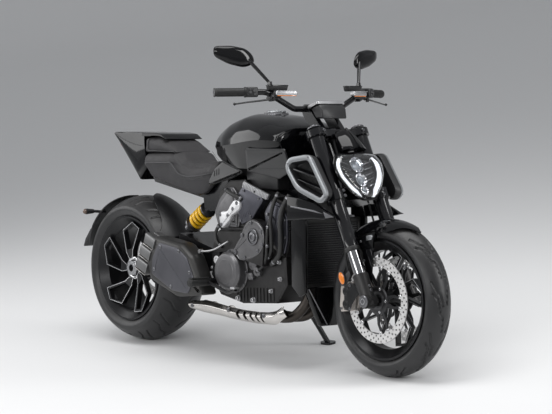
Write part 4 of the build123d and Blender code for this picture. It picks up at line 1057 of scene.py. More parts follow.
FORK_AHEAD = Vector((math.cos(RAKE), 0, math.sin(RAKE)))
FORK_UP = Vector((-math.sin(RAKE), 0, math.cos(RAKE)))
FORK_OFFSET = FRONT_RADIUS * math.sin(RAKE) - TRAIL * math.cos(RAKE)
FRONT_AXLE = Vector((WHEELBASE / 2, 0, FRONT_RADIUS))
REAR_AXLE = Vector((-WHEELBASE / 2, 0, REAR_RADIUS))
FORK_SIDE = 115.0
LEFT = Vector((0, 1, 0))
RIGHT = Vector((0, -1, 0))
UP = Vector((0, 0, 1))


def fork(ahead: float, left: float, height: float) -> Vector:
    """Find a point beside the steering axis.

    Args:
        ahead: Distance ahead of the axis.
        left: Distance to the left.
        height: Distance up along it, from level with the axle.

    Returns:
        The point.
    """
    return (FRONT_AXLE + FORK_AHEAD * (ahead - FORK_OFFSET) + LEFT * left + FORK_UP * height)


BAR_MIDDLE = fork(-38.8, 0, 848.4)


def from_bar(x: float, y: float, z: float) -> Vector:
    """Find a point given from the middle of the handlebar.

    Args:
        x: Its distance forward.
        y: Its distance to the left.
        z: Its distance up.

    Returns:
        The point.
    """
    return BAR_MIDDLE + Vector((x, y, z))


def around(radius: float, turn: float, left: float = 0.0) -> Vector:
    """Find a step away from an axle.

    Args:
        radius: Its length.
        turn: Its angle above straight ahead, in radians.
        left: Its part to the left.

    Returns:
        The step.
    """
    return Vector((radius * math.cos(turn), left, radius * math.sin(turn)))


def beside(axle: Vector, outline: Sequence[Flat]) -> list[Flat]:
    """Move an outline drawn about an axle to its place.

    Args:
        axle: The axle.
        outline: Points (forward, up) from the axle.

    Returns:
        The points (forward, up) on the machine.
    """
    return [(axle.x + x, axle.z + z) for x, z in outline]


def upright_plate(axle: Vector, left: float, outline: Sequence[Flat],
                  width: float) -> bmesh.types.BMesh:
    """Thicken an outline drawn about an axle.

    Args:
        axle: The axle.
        left: Distance of the first face to the left of the middle.
        outline: Points (forward, up) from the axle.
        width: Thickness to the left.

    Returns:
        The plate.
    """
    return plate([axle + Vector((x, left, z)) for x, z in outline], (0, width, 0))


class Part:
    """One group of finished pieces."""

    def build(self, maker: Maker, patterns: Patterns) -> None:
        """Build the group's pieces.

        Args:
            maker: Places the pieces.
            patterns: Makes what repeats.
        """
        raise NotImplementedError


# ---------------------------------------------------------------- tyres


@dataclass
class Tyre(Part):
    """A tyre with a cut tread.

    Attributes:
        name: The piece's name, and the CAD node that it stands for.
        body: The wheel that carries it.
        axle: Its centre.
        radius: Its radius at the crown.
        half_width: Half its width at the edge of the crown.
        crown: Radius of the crown's curve.
        bead: Half the width between the beads.
        bulge: How far the walls swell past the crown's edge.
        repeats: Repeats of the tread round the tyre.
        columns: Steps round each repeat.
        rows: Steps across the crown.
        grooves: The tread's cuts, as lines of (share of a repeat, distance from the middle).
        groove_width: Width of a cut.
        groove_depth: Depth of a cut.
    """

    name: str
    body: str
    axle: Vector
    radius: float
    half_width: float
    crown: float
    bead: float
    bulge: float
    repeats: int
    columns: int
    rows: int
    grooves: Sequence[Sequence[Flat]]
    groove_width: float = 6.5
    groove_depth: float = 4.0

    BEAD_RADIUS = 218.6
    BEAD_GAP = 0.3
    FLANGE = 233.0
    WALL_STEPS = 9
    RIDGE_STEPS = (3, 6)
    RIDGE = 0.5
    BEVEL = 1.6

    def _cut(self, share: float, across: float, pitch: float) -> float:
        """Find how deep the tread is cut at a place.

        Args:
            share: Share of the repeat.
            across: Distance from the tyre's middle along the crown.
            pitch: Length of a repeat.

        Returns:
            The depth in millimetres.
        """
        shift = share if across >= 0 else share + 0.5
        place = Vector(((shift % 1.0) * pitch, abs(across)))
        nearest = self.groove_width * 2
        for line in self.grooves:
            for (a, b), (c, d) in zip(line, line[1:]):
                for turn in (-pitch, 0.0, pitch):
                    start, end = Vector((a * pitch + turn, b)), Vector((c * pitch + turn, d))
                    span = end - start
                    t = min(1.0, max(0.0, (place - start).dot(span) / span.length_squared))
                    nearest = min(nearest, (place - start - span * t).length)
        edge = min(1.0, max(0.0, (self.groove_width / 2 + self.BEVEL / 2 - nearest) / self.BEVEL))
        return self.groove_depth * edge * edge * (3 - 2 * edge)

    def _section(self, share: float, pitch: float) -> list[Flat]:
        """Draw the section at one place round the tyre.

        Args:
            share: Share of the repeat.
            pitch: Length of a repeat.

        Returns:
            Pairs of (left, radius), from the right bead round to the left one.
        """
        edge = math.asin(self.half_width / self.crown)
        middle = self.radius - self.crown
        tread = []
        for row in range(self.rows + 1):
            angle = edge * (2 * row / self.rows - 1)
            reach = self.crown - self._cut(share, angle * self.crown, pitch)
            tread.append((reach * math.sin(angle), middle + reach * math.cos(angle)))
        shoulder = middle + self.crown * math.cos(edge)
        bead = self.bead - self.BEAD_GAP
        left = []
        for step in range(1, self.WALL_STEPS + 1):
            t = step / self.WALL_STEPS
            ridge = self.RIDGE if step in self.RIDGE_STEPS else 0
            swell = self.bulge * math.sin(math.pi * t) + ridge
            left.append((self.half_width + (bead - self.half_width) * t ** 2 + swell,
                         shoulder + (self.FLANGE - shoulder) * t))
        left.append((bead, self.BEAD_RADIUS))
        return [(-y, r) for y, r in reversed(left)] + tread + left

    def build(self, maker: Maker, patterns: Patterns) -> None:
        """Build the tyre from one repeat of its tread.

        Args:
            maker: Places the piece.
            patterns: Repeats the sector.
        """
        pitch = math.tau * self.radius / self.repeats
        rings = []
        for column in range(self.columns + 1):
            share = column / self.columns
            turn = math.tau * share / self.repeats
            rings.append([self.axle + around(r, turn, y) for y, r in self._section(share, pitch)])
        sector = loft(rings, caps=False)
        data = patterns.ring(sector, self.repeats, self.axle, RIGHT, TYRE_RUBBER, weld=0.02)
        maker.placed(self.name, recalculated(data), TYRE_RUBBER, self.body, (self.name,), smooth=50)


def recalculated(data: bpy.types.Mesh) -> bpy.types.Mesh:
    """Turn a closed mesh's faces outwards.

    Args:
        data: The mesh data.

    Returns:
        The same data.
    """
    mesh = bmesh.new()
    mesh.from_mesh(data)
    bmesh.ops.recalc_face_normals(mesh, faces=mesh.faces)
    mesh.to_mesh(data)
    mesh.free()
    return data


# ---------------------------------------------------------------- wheels


PETAL_CORNERS = [(0, -16), (0, 16), (0.2, 19), (0.78, 19), (1, 1), (0.92, -17), (0.2, -18)]


@dataclass
class WheelTrim(Part):
    """The machined edges, lip lines and valve of a wheel with swirled petals.

    Attributes:
        name: Start of the pieces' names.
        body: The wheel's body.
        axle: Its centre.
        hub: Radius at the petals' feet.
        rim: Radius at their tips.
        dish: Distance of the face from the wheel's middle, at the hub and at the rim.
        sides: Which sides carry the trim: -1 right, 1 left.
        lip: Distance of the rim's lip from the wheel's middle.
        edge: Width of the machined edges.
    """

    name: str
    body: str
    axle: Vector
    hub: float
    rim: float
    dish: Flat
    sides: Sequence[int]
    lip: float
    edge: float = 2.4

    PETALS = 5
    EDGE_STEPS = 8
    FIRST_PETAL = 81.0
    SWIRL = 28
    VALVE_ANGLE = 100

    def _corner(self, share: float, side: float) -> Flat:
        """Find a petal's corner.

        Args:
            share: Share of the way from hub to rim.
            side: Degrees to the side of the petal's middle.

        Returns:
            The corner, forward of and above the axle.
        """
        radius = self.hub + (self.rim - self.hub) * share
        turn = math.radians(self.FIRST_PETAL + side + self.SWIRL * (1 - share))
        return radius * math.cos(turn), radius * math.sin(turn)

    def _face(self, flat: Vector, side: int, proud: float) -> Vector:
        """Lay a point on the wheel's dished face.

        Args:
            flat: The point forward of and above the axle.
            side: Side of the wheel.
            proud: Height above the face.

        Returns:
            The point.
        """
        share = min(1.0, max(0.0, (flat.length - self.hub) / (self.rim - 6 - self.hub)))
        out = self.dish[0] + (self.dish[1] - self.dish[0]) * share + proud
        return self.axle + Vector((flat.x, side * out, flat.y))

    def _ribbon(self, corners: Sequence[Flat], side: int) -> bmesh.types.BMesh:
        """Run a thin machined edge along the inside of a closed outline.

        Args:
            corners: The outline.
            side: Side of the wheel.

        Returns:
            The ribbon.
        """
        points = [Vector(corner) for corner in corners]
        turning = sum(a.x * b.y - b.x * a.y for a, b in zip(points, points[1:] + points[:1]))
        inwards = math.copysign(1, turning)
        outer, inner = points, []
        count = len(points)
        for index, point in enumerate(points):
            before, after = points[index - 1], points[(index + 1) % count]
            first = (point - before).normalized()
            second = (after - point).normalized()
            one, two = Vector((-first.y, first.x)), Vector((-second.y, second.x))
            bisect = (one + two).normalized()
            inner.append(point + bisect * inwards * self.edge / max(0.5, bisect.dot(one)))
        mesh = bmesh.new()
        rows = []
        for index in range(count):
            after = (index + 1) % count
            for step in range(self.EDGE_STEPS):
                t = step / self.EDGE_STEPS
                out = outer[index].lerp(outer[after], t)
                inn = inner[index].lerp(inner[after], t)
                rows.append([mesh.verts.new(self._face(flat, side, proud)) for flat, proud in (
                    (out, -0.5), (out, 0.35), (inn, 0.35), (inn, -0.5))])
        for row, following in zip(rows, rows[1:] + rows[:1]):
            for index in range(4):
                after = (index + 1) % 4
                mesh.faces.new((row[index], row[after], following[after], following[index]))
        return mesh

    def build(self, maker: Maker, patterns: Patterns) -> None:
        """Build the wheel's trim.

        Args:
            maker: Places the pieces.
            patterns: Repeats the petals' edges.
        """
        edges = bmesh.new()
        for side in self.sides:
            petal = self._ribbon([self._corner(*corner) for corner in PETAL_CORNERS], side)
            with_data(edges, patterns.ring(petal, self.PETALS, self.axle, LEFT, MACHINED_EDGE))
        maker.piece(self.name + "_machined_edges", edges, MACHINED_EDGE, self.body, smooth=20)
        lips = bmesh.new()
        for side in (-1, 1):
            lips = joined(lips, lathe([(self.lip - 2, 229.5), (self.lip + 0.3, 229.5),
                                       (self.lip + 0.3, 231.6), (self.lip - 2, 231.6),
                                       (self.lip - 2, 229.5)], self.axle, (0, side, 0), 120))
        maker.piece(self.name + "_lip_lines", lips, BLACK_EDGE, self.body, smooth=30)
        valve_turn = math.radians(self.VALVE_ANGLE)
        foot = self.axle + around(192, valve_turn, 6)
        valve = lathe([(-4, 7), (3, 7), (5, 4), (22, 4), (22, 5.2), (34, 5.2), (36, 3)], foot,
                      around(-1, valve_turn, -0.6), 20)
        maker.piece(self.name + "_valve", valve, SHOCK_STEEL, self.body)


@dataclass
class BrakeDisc:
    """A drilled brake disc.

    Attributes:
        axle: The wheel's centre.
        outer: Its outer radius.
        inner: Its inner radius.
        near: Distance of its inner face from the wheel's middle, to the left.
        far: Distance of its outer face.
        cells: Holes in each row round it.
        rows: Rows of holes.
        hole: Radius of a hole.
        lean: Share of a hole's spacing by which each row is turned against the last.
    """

    axle: Vector
    outer: float
    inner: float
    near: float
    far: float
    cells: int = 34
    rows: int = 3
    hole: float = 4.1
    lean: float = 0.5

    CORNERS = 16

    def _place(self, radius: float, across: float, left: float) -> Vector:
        """Find a point of the first column of holes.

        Args:
            radius: Distance from the axle.
            across: Distance round from the column's middle, as a share of half its width.
            left: Distance from the wheel's middle.

        Returns:
            The point.
        """
        rise = (radius - self.inner) / (self.outer - self.inner) * self.rows
        angle = math.pi / self.cells * (across + 2 * self.lean * rise)
        return self.axle + around(radius, angle, left)

    def _cell(self, row: int) -> tuple[list[Flat], list[Flat]]:
        """Draw one cell with its hole.

        Args:
            row: The cell's row, from the inside.

        Returns:
            Its rim and the hole's edge, as pairs of (radius, share across).
        """
        depth = (self.outer - self.inner) / self.rows
        middle = self.inner + depth * (row + 0.5)
        half = math.pi / self.cells * middle
        rim, edge = [], []
        for index in range(self.CORNERS):
            turn = math.tau * index / self.CORNERS
            out, round_ = math.cos(turn), math.sin(turn)
            slant = 2 * self.lean * self.hole * out / depth
            edge.append((middle + self.hole * out, self.hole * round_ / half - slant))
            reach = 1 / max(abs(out), abs(round_))
            rim.append((middle + depth / 2 * out * reach, round_ * reach))
        return rim, edge

    def mesh(self, patterns: Patterns) -> bpy.types.Mesh:
        """Make the drilled ring.

        Args:
            patterns: Repeats one column of holes.

        Returns:
            The ring's mesh.
        """
        column = bmesh.new()
        sides = (self.near, self.near, self.far, self.far)
        for row in range(self.rows):
            rim, edge = self._cell(row)
            verts = [[column.verts.new(self._place(radius, across, left))
                      for radius, across in ring]
                     for ring, left in zip((rim, edge, edge, rim), sides)]
            for first, second in zip(verts, verts[1:]):
                for index in range(self.CORNERS):
                    after = (index + 1) % self.CORNERS
                    column.faces.new((first[index], first[after], second[after], second[index]))
        step = math.tan(math.pi / 8)
        for radius in (self.inner, self.outer):
            wall = [[column.verts.new(self._place(radius, across, left))
                     for left in (self.near, self.far)] for across in (-1, -step, 0, step, 1)]
            for first, second in zip(wall, wall[1:]):
                column.faces.new((first[0], second[0], second[1], first[1]))
        return patterns.ring(column, self.cells, self.axle, LEFT, DISC_STEEL, weld=0.05)


@dataclass
class FrontBrakes(Part):
    """The front discs on their carriers, and the calipers on the fork feet."""

    outer: float = 165.0
    inner: float = 130.0
    near: float = 65.2
    far: float = 69.8
    hub: float = 56.0

    ARMS = 5

    def build(self, maker: Maker, patterns: Patterns) -> None:
        """Build discs, carriers, bobbins and calipers."""
        self._discs(maker, patterns)
        self._carriers(maker, patterns)
        self._calipers(maker)

    def _discs(self, maker: Maker, patterns: Patterns) -> None:
        """Build both drilled rings."""
        both = bmesh.new()
        for side in (-1, 1):
            near, far = sorted((side * self.near, side * self.far))
            disc = BrakeDisc(FRONT_AXLE, self.outer, self.inner, near, far)
            with_data(both, recalculated(disc.mesh(patterns)))
        maker.piece("front_brake_rings", both, DISC_STEEL, "front_wheel", ("front_discs",),
                    smooth=30)

    def _carriers(self, maker: Maker, patterns: Patterns) -> None:
        """Build the five-armed carriers and the bobbins that hold the rings."""
        arms, bobbins, tabs = bmesh.new(), bmesh.new(), bmesh.new()

        def repeat(into: bmesh.types.BMesh, item: bmesh.types.BMesh, finish: Finish) -> None:
            """Add an item at each arm of the carrier.

            Args:
                into: The mesh that takes them.
                item: The first item; it is freed.
                finish: Their finish.
            """
            with_data(into, patterns.ring(item, self.ARMS, FRONT_AXLE, LEFT, finish))

        for side in (-1, 1):
            way = Vector((0, side, 0))
            start = FRONT_AXLE + way * (self.near + 0.4)
            for lean in (-1, 1):
                outline = [(44, 12 * lean), (50, 20 * lean), (88, 28 * lean), (122, 22 * lean),
                           (123, 12 * lean), (90, 17 * lean), (60, 6 * lean)]
                repeat(arms, upright_plate(FRONT_AXLE, side * (self.near + 0.6), outline,
                                           side * 3.6), CARRIER_GREY)
            ring = [(0, 22), (0, self.hub), (3.6, self.hub), (5, self.hub - 3), (5, 34), (3, 30),
                    (3, 22)]
            arms = joined(arms, lathe([*ring, ring[0]], start, way, 64))
            for angle in (-10.5, 10.5):
                turn = math.radians(angle)
                aside = Vector((-math.sin(turn), 0, math.cos(turn))) * 7.5
                foot = FRONT_AXLE + way * self.near
                tab = plate([foot + around(1, turn) * far + aside * share for far, share in
                             ((131, 1.5), (131, -1.5), (127, -1), (119, -1), (119, 1), (127, 1))],
                            way * 4.4)
                repeat(tabs, tab, DISC_STEEL)
                centre = FRONT_AXLE + around(126.5, turn, side * (self.near - 0.6))
                button = lathe([(0, 7), (6, 7), (6.6, 6), (6.6, 3), (5, 2.6), (5, 0)], centre, way,
                               20)
                repeat(bobbins, button, MACHINED_EDGE)
            screw = bolt(FRONT_AXLE + Vector((46, side * (self.near + 4.6), 0)), way, 5.5, 4)
            repeat(bobbins, screw, MACHINED_EDGE)
        maker.piece("front_disc_carriers", arms, CARRIER_GREY, "front_wheel", smooth=30)
        maker.piece("front_disc_bobbins", bobbins, MACHINED_EDGE, "front_wheel")
        maker.piece("front_disc_tabs", tabs, DISC_STEEL, "front_wheel")

    def _calipers(self, maker: Maker) -> None:
        """Build the two calipers, each of two halves with a bridge over the disc, and a dark plate on each outer
        face that is painted shade.
        """
        outline = [(-186, -36), (-178, -56), (-124, -49), (-114, -20), (-112, 46), (-126, 60),
                   (-152, 64), (-180, 48)]
        place = beside(FRONT_AXLE, outline)
        spine = [(-186, -30), (-178, -50), (-171, -46), (-172, 44), (-180, 44)]
        bodies = mirrored(joined(side_plate(place, 44, 61), side_plate(place, 74, 98),
                                 side_plate(beside(FRONT_AXLE, spine), 60, 76)))
        maker.piece("caliper_bodies", bodies, CALIPER_ALLOY, "steering", ("front_calipers",),
                    bevel=4)
        pistons = [lathe([(0, 19), (5, 19), (7, 16), (7, 11), (5.5, 9), (5.5, 0)],
                         FRONT_AXLE + Vector((-146, -96, height)), RIGHT, 32)
                   for height in (-24, 26)]
        lug = [(-132, -14), (-132, 44), (-70, 58), (-44, 34), (-46, 16), (-80, 18)]
        details = joined(*pistons, side_plate(beside(FRONT_AXLE, lug), 87, 99))
        maker.piece("caliper_bosses", mirrored(details), BLACK_ALLOY, "steering", bevel=1.5)
        # Painted shade: a dark plate over the front of each caliper's outer face leaves only a narrow bright strip
        # at its rear, standing for the shade on that face.
        cover = [(-156, -46), (-156, 52), (-126, 61), (-70, 60), (-42, 34), (-44, 14), (-80, 16),
                 (-110, -22), (-122, -50)]
        guard = side_plate(beside(FRONT_AXLE, cover), 98.2, 101)
        maker.piece("caliper_covers", mirrored(guard), BLACK_ALLOY, "steering", bevel=1.2)
        screws = bolts([FRONT_AXLE + Vector((x, -100.5, z)) for x, z in (
            (-172, -42), (-122, -40), (-122, 50), (-168, 50), (-70, 44), (-58, 30))], RIGHT, 5.5, 4)
        maker.piece("caliper_bolts", mirrored(screws), SHOCK_STEEL, "steering")


@dataclass
class RearWheelParts(Part):
    """The rear disc, sprocket, hub ring and chain."""

    disc_outer: float = 132.0
    disc_inner: float = 96.0
    near: float = 48.6
    far: float = 53.0
    teeth: int = 44
    teeth_turn: float = math.radians(4.7)
    pitch: float = 15.875
    chain_side: float = 165.0
    front_teeth: int = 15

    ARC_STEPS = 28

    def build(self, maker: Maker, patterns: Patterns) -> None:
        """Build them."""
        self._disc(maker, patterns)
        self._sprocket(maker, patterns)
        self._hub(maker, patterns)
        self._chain(maker, patterns)

    def _disc(self, maker: Maker, patterns: Patterns) -> None:
        """Build the rear disc on its carrier."""
        disc = BrakeDisc(REAR_AXLE, self.disc_outer, self.disc_inner, self.near, self.far, cells=28)
        both = with_data(bmesh.new(), recalculated(disc.mesh(patterns)))
        maker.piece("rear_brake_ring", both, DISC_STEEL, "rear_wheel", ("rear_disc",), smooth=30)
        arm = upright_plate(REAR_AXLE, self.near + 0.4,
                            [(40, -14), (100, -8), (100, 8), (40, 14)], 3.4)
        arms = with_data(bmesh.new(), patterns.ring(arm, 8, REAR_AXLE, LEFT, CARRIER_GREY))
        maker.piece("rear_disc_carrier", arms, CARRIER_GREY, "rear_wheel")

    def _pitch_radius(self, teeth: int) -> float:
        """Find where the chain's pins run on a sprocket.

        Args:
            teeth: The sprocket's teeth.

        Returns:
            The radius.
        """
        return self.pitch / (2 * math.sin(math.pi / teeth))

    def _sprocket(self, maker: Maker, patterns: Patterns) -> None:
        """Build the toothed sprocket, with its windows and bolts."""
        radius = self._pitch_radius(self.teeth)
        half = math.pi / self.teeth
        inner = 92.0
        low, high = self.chain_side - 3.4, self.chain_side + 3.4
        root, tip = half * 0.54, half * 0.12
        rim = [(radius - 6.0, -half), (radius - 6.0, -root), (radius + 4.5, -tip),
               (radius + 4.5, tip), (radius - 6.0, root), (radius - 6.0, half)]
        rim += [(inner, half), (inner, -half)]
        outline = [(r * math.cos(a + self.teeth_turn), r * math.sin(a + self.teeth_turn))
                   for r, a in rim]
        tooth = upright_plate(REAR_AXLE, low, outline, high - low)
        teeth = patterns.ring(tooth, self.teeth, REAR_AXLE, LEFT, SPROCKET_STEEL, weld=0.02)
        spoke = upright_plate(REAR_AXLE, low + 0.4, [(46, -20), (94, -13), (94, 13), (46, 20)],
                              high - low - 0.8)
        spokes = patterns.ring(spoke, 5, REAR_AXLE, LEFT, SPROCKET_STEEL)
        hub = lathe([(0, 25.6), (0, 52), (6, 52), (9, 47), (9, 25.6), (0, 25.6)],
                    REAR_AXLE + LEFT * low, LEFT, 48)
        maker.piece("toothed_sprocket", with_data(hub, teeth, spokes), SPROCKET_STEEL, "rear_wheel",
                    ("rear_sprocket",), smooth=25)
        nut = bolt(REAR_AXLE + Vector((68, high, 0)), LEFT, 7, 7)
        nuts = with_data(bmesh.new(), patterns.ring(nut, 5, REAR_AXLE, LEFT, SHOCK_STEEL))
        maker.piece("sprocket_bolts", nuts, SHOCK_STEEL, "rear_wheel")

    @staticmethod
    def _hub(maker: Maker, patterns: Patterns) -> None:
        """Build the ring and pins on the rear hub's open side."""
        ring = lathe([(72, 38), (76, 38), (78, 41), (78, 46), (76, 50), (72, 51), (72, 38)],
                     REAR_AXLE, RIGHT, 64)
        maker.piece("rear_hub_ring", ring, MACHINED_EDGE, "rear_wheel")
        pin = bolt(REAR_AXLE + Vector((44, -77.5, 0)), RIGHT, 4, 3)
        pins = with_data(bmesh.new(), patterns.ring(pin, 5, REAR_AXLE, LEFT, SHOCK_STEEL))
        maker.piece("rear_hub_pins", pins, SHOCK_STEEL, "rear_wheel")

    def _chain(self, maker: Maker, patterns: Patterns) -> None:
        """Lay the chain's links along its loop round both sprockets."""
        front = Vector((-40, 0, 392))
        small, large = self._pitch_radius(self.front_teeth), self._pitch_radius(self.teeth)
        way = REAR_AXLE - front
        gap = way.length
        lean = math.asin((large - small) / gap)
        base = math.atan2(way.z, way.x)
        loop = []
        for centre, radius, start, end in (
                (front, small, base + math.pi / 2 + lean, base - math.pi / 2 - lean + math.tau),
                (REAR_AXLE, large, base - math.pi / 2 - lean, base + math.pi / 2 + lean)):
            loop += [centre + around(radius, start + (end - start) * index / self.ARC_STEPS)
                     for index in range(self.ARC_STEPS + 1)]
        loop = [Vector((point.x, self.chain_side, point.z)) for point in loop]
        length = sum((b - a).length for a, b in zip(loop, loop[1:] + loop[:1]))
        count = round(length / self.pitch / 2)
        item = bmesh.new()
        half = length / count / 4
        for shift, out, tall in ((-half, 6.2, 6.2), (half, 8.6, 7.2)):
            for side in (-1, 1):
                outline = []
                for end in (-1, 1):
                    for angle in (-70, -35, 0, 35, 70):
                        turn = math.radians(angle) + (math.pi if end < 0 else 0)
                        outline.append((shift + end * half + tall * math.cos(turn),
                                        side * out, tall * math.sin(turn)))
                    outline.append((shift, side * out, end * tall * 0.62))
                item = joined(item, plate(outline, (0, side * 2, 0)))
            for end in (-1, 1):
                item = joined(item, lathe([(-6, 4.6), (6, 4.6)], (shift + end * half * 0.999, 0, 0),
                                          (0, 1, 0), 10))
        links = patterns.row(loop, item, count, LEFT, CHAIN_STEEL, closed=True)
        maker.piece("chain_links", with_data(bmesh.new(), links), CHAIN_STEEL, "chassis",
                    ("drive_chain",), smooth=30)


# ---------------------------------------------------------------- drawing helpers


def rounded(outline: Sequence[Flat], radius: float, steps: int = 5) -> list[Flat]:
    """Round the corners of a flat outline.

    Args:
        outline: The outline.
        radius: Length cut from each side at a corner.
        steps: Points on each corner.

    Returns:
        The rounded outline.
    """
    points = [Vector(point) for point in outline]
    made = []
    for before, point, after in zip(points[-1:] + points[:-1], points, points[1:] + points[:1]):
        first = point + (before - point).normalized() * min(radius, (before - point).length * 0.48)
        last = point + (after - point).normalized() * min(radius, (after - point).length * 0.48)
        for step in range(steps):
            t = step / (steps - 1)
            made.append(tuple(first.lerp(point, t).lerp(point.lerp(last, t), t)))
    return made


def scaled(outline: Sequence[Flat], amount: float, centre: Flat | None = None) -> list[Flat]:
    """Scale a flat outline about its middle.

    Args:
        outline: The outline.
        amount: The scale.
        centre: The middle, or None for the mean of the points.

    Returns:
        The scaled outline.
    """
    if centre is None:
        centre = (sum(x for x, _ in outline) / len(outline),
                  sum(y for _, y in outline) / len(outline))
    return [(centre[0] + (x - centre[0]) * amount, centre[1] + (y - centre[1]) * amount)
            for x, y in outline]


def shrunk(outline: Sequence[Flat], width: float) -> list[Flat]:
    """Move every side of a flat outline inwards.

    Args:
        outline: The outline.
        width: How far; negative moves them out.

    Returns:
        The new outline, with as many points.
    """
    points = [Vector(point) for point in outline]
    area = sum(a.x * b.y - b.x * a.y for a, b in zip(points, points[1:] + points[:1]))
    width = math.copysign(width, area) if width > 0 else -math.copysign(width, area)
    made = []
    for before, point, after in zip(points[-1:] + points[:-1], points, points[1:] + points[:1]):
        one, two = (point - before).normalized(), (after - point).normalized()
        one, two = Vector((-one.y, one.x)), Vector((-two.y, two.x))
        bisect = one + two
        if bisect.length < 1e-6:
            bisect = one
        bisect.normalize()
        made.append(tuple(point + bisect * width / max(0.5, bisect.dot(one))))
    return made


def ring_frame(outer: Sequence[Flat], inner: Sequence[Flat],
               lay: Callable[[Flat, float], Vector], depth: float,
               crown: float = 2.0) -> bmesh.types.BMesh:
    """Make a flat frame between two outlines, with a slightly raised middle.

    Args:
        outer: Its outer outline.
        inner: Its inner outline, with as many points.
        lay: Places a flat point at a height.
        depth: Its thickness.
        crown: How far its face rises between the two outlines.

    Returns:
        The frame.
    """
    middle = [((a + c) / 2, (b + d) / 2) for (a, b), (c, d) in zip(outer, inner)]
    rings = [(outer, -depth), (outer, -1.5), (shrunk(outer, 1.5), 0.0), (middle, crown),
             (shrunk(inner, -1.5), 0.0), (inner, -1.5), (inner, -depth), (outer, -depth)]
    mesh = loft([[lay(point, high) for point in ring] for ring, high in rings], caps=False)
    bmesh.ops.remove_doubles(mesh, verts=mesh.verts, dist=0.001)
    return mesh


def plane(origin: Vector, along: Vector, rise: Vector,
          out: Vector) -> Callable[[Flat, float], Vector]:
    """Set up a flat drawing plane.

    Args:
        origin: Where its (0, 0) lies.
        along: The step for a flat point's first number.
        rise: The step for its second number.
        out: The step for its height.

    Returns:
        What places a flat point at a height.
    """
    return lambda point, high: origin + along * point[0] + rise * point[1] + out * high


def box_between(low: Sequence[float], high: Sequence[float]) -> bmesh.types.BMesh:
    """Make a block between two corners.

    Args:
        low: The lowest corner.
        high: The highest corner.

    Returns:
        The block.
    """
    ring = [(low[0], low[1]), (high[0], low[1]), (high[0], high[1]), (low[0], high[1])]
    return loft([[(x, y, z) for x, y in ring] for z in (low[2], high[2])])


def across(outline: Sequence[Flat], rows: Sequence[Flat], side: int = 1) -> bmesh.types.BMesh:
    """Loft a side outline across the machine.

    Args:
        outline: Points (forward, up).
        rows: Pairs of (distance from the middle, how far the outline is drawn in there).
        side: 1 towards the left, -1 towards the right.

    Returns:
        The body.
    """
    return loft([[(x, side * y, z) for x, z in shrunk(outline, inset)] for y, inset in rows])


# ---------------------------------------------------------------- fork, bars and lamp


@dataclass
class ForkDressing(Part):
    """Caps, seals, pinch bolts and reflectors of the fork."""

    side: float = FORK_SIDE
    seal_height: float = 212.0
    top: float = 728.0

    def build(self, maker: Maker, patterns: Patterns) -> None:
        """Build them."""
        caps, seals, screws = [], [], []
        for side in (-1, 1):
            caps.append(lathe([(0, 28), (4, 28), (6, 26), (6, 15), (10, 14), (12, 13), (12, 7),
                               (9, 6), (9, 0)],
                              fork(FORK_OFFSET, side * self.side, self.top), FORK_UP, 40))
            seals.append(lathe([(-9, 25.5), (-8, 28.5), (-2, 30.6), (8, 30.9), (9, 30.2)],
                               fork(FORK_OFFSET, side * self.side, self.seal_height), FORK_UP, 40))
            screws.append(bolts([fork(FORK_OFFSET + 39, side * (self.side - 12), height)
                                 for height in (423, 445, 704)], FORK_AHEAD, 6, 6))
            screws.append(bolts([fork(FORK_OFFSET + 28, side * self.side, height)
                                 for height in (34, 52)], FORK_AHEAD, 5.5, 5))
            screws.append(lathe([(0, 24), (5, 24), (8, 21), (8, 14), (4, 13), (4, 0)],
                                FRONT_AXLE + Vector((0, side * 139, 0)), (0, side, 0), 40))
        caps.append(lathe([(0, 22), (8, 22), (11, 19), (11, 10), (6, 9), (6, 0)], fork(0, 0, 724),
                          FORK_UP, 6))
        maker.piece("fork_caps", joined(*caps), SHOCK_STEEL, "steering")
        maker.piece("fork_seals", joined(*seals), GRIP_SOFT, "steering")
        maker.piece("fork_screws", joined(*screws), SHOCK_STEEL, "steering")
        self._tubes(maker)
        self._reflectors(maker)

    def _tubes(self, maker: Maker) -> None:
        """Build the polished stanchions and the coated outer tubes."""
        for name, profile, finish, node in (
                ("stanchions", [(78, 24.9), (380, 24.9)], STANCHION_CHROME, "fork_stanchions"),
                ("outer_tubes", [(216, 27), (217, 30), (262, 30), (264, 29.2), (404, 29.2),
                                 (410, 30), (716, 30), (720, 29)], FORK_BLACK, "fork_outer_tubes")):
            pair = [lathe(profile, fork(FORK_OFFSET, side * self.side, 0), FORK_UP, 64)
                    for side in (-1, 1)]
            maker.piece(name, joined(*pair), finish, "steering", (node,))

    def _reflectors(self, maker: Maker) -> None:
        """Build an amber reflector on each fork foot, in its black holder."""
        lenses, holders = bmesh.new(), bmesh.new()
        for side in (-1, 1):
            middle = Vector((668, side * 133, 380))
            lens, back = [], []
            for ring, half, tall, out in ((lens, 14, 24, 4), (lens, 14, 24, 6.5), (lens, 11, 20, 8),
                                          (back, 18, 28, -3), (back, 18, 28, 4), (back, 16, 26, 6)):
                ring.append([middle + Vector((0, side * out, 0)) + FORK_AHEAD * half * math.cos(t)
                             + FORK_UP * tall * math.sin(t)
                             for t in (math.tau * k / 28 for k in range(28))])
            lenses = joined(lenses, loft(lens))
            arm = plate([middle + FORK_AHEAD * a + FORK_UP * b for a, b in
                         ((-8, -30), (8, -30), (46, -8), (46, 14), (8, 4))], (0, -side * 4, 0))
            holders = joined(holders, loft(back), arm)
        maker.piece("amber_reflectors", lenses, AMBER_LENS, "steering")
        maker.piece("reflector_holders", holders, SATIN_PLASTIC, "steering", bevel=0.8)


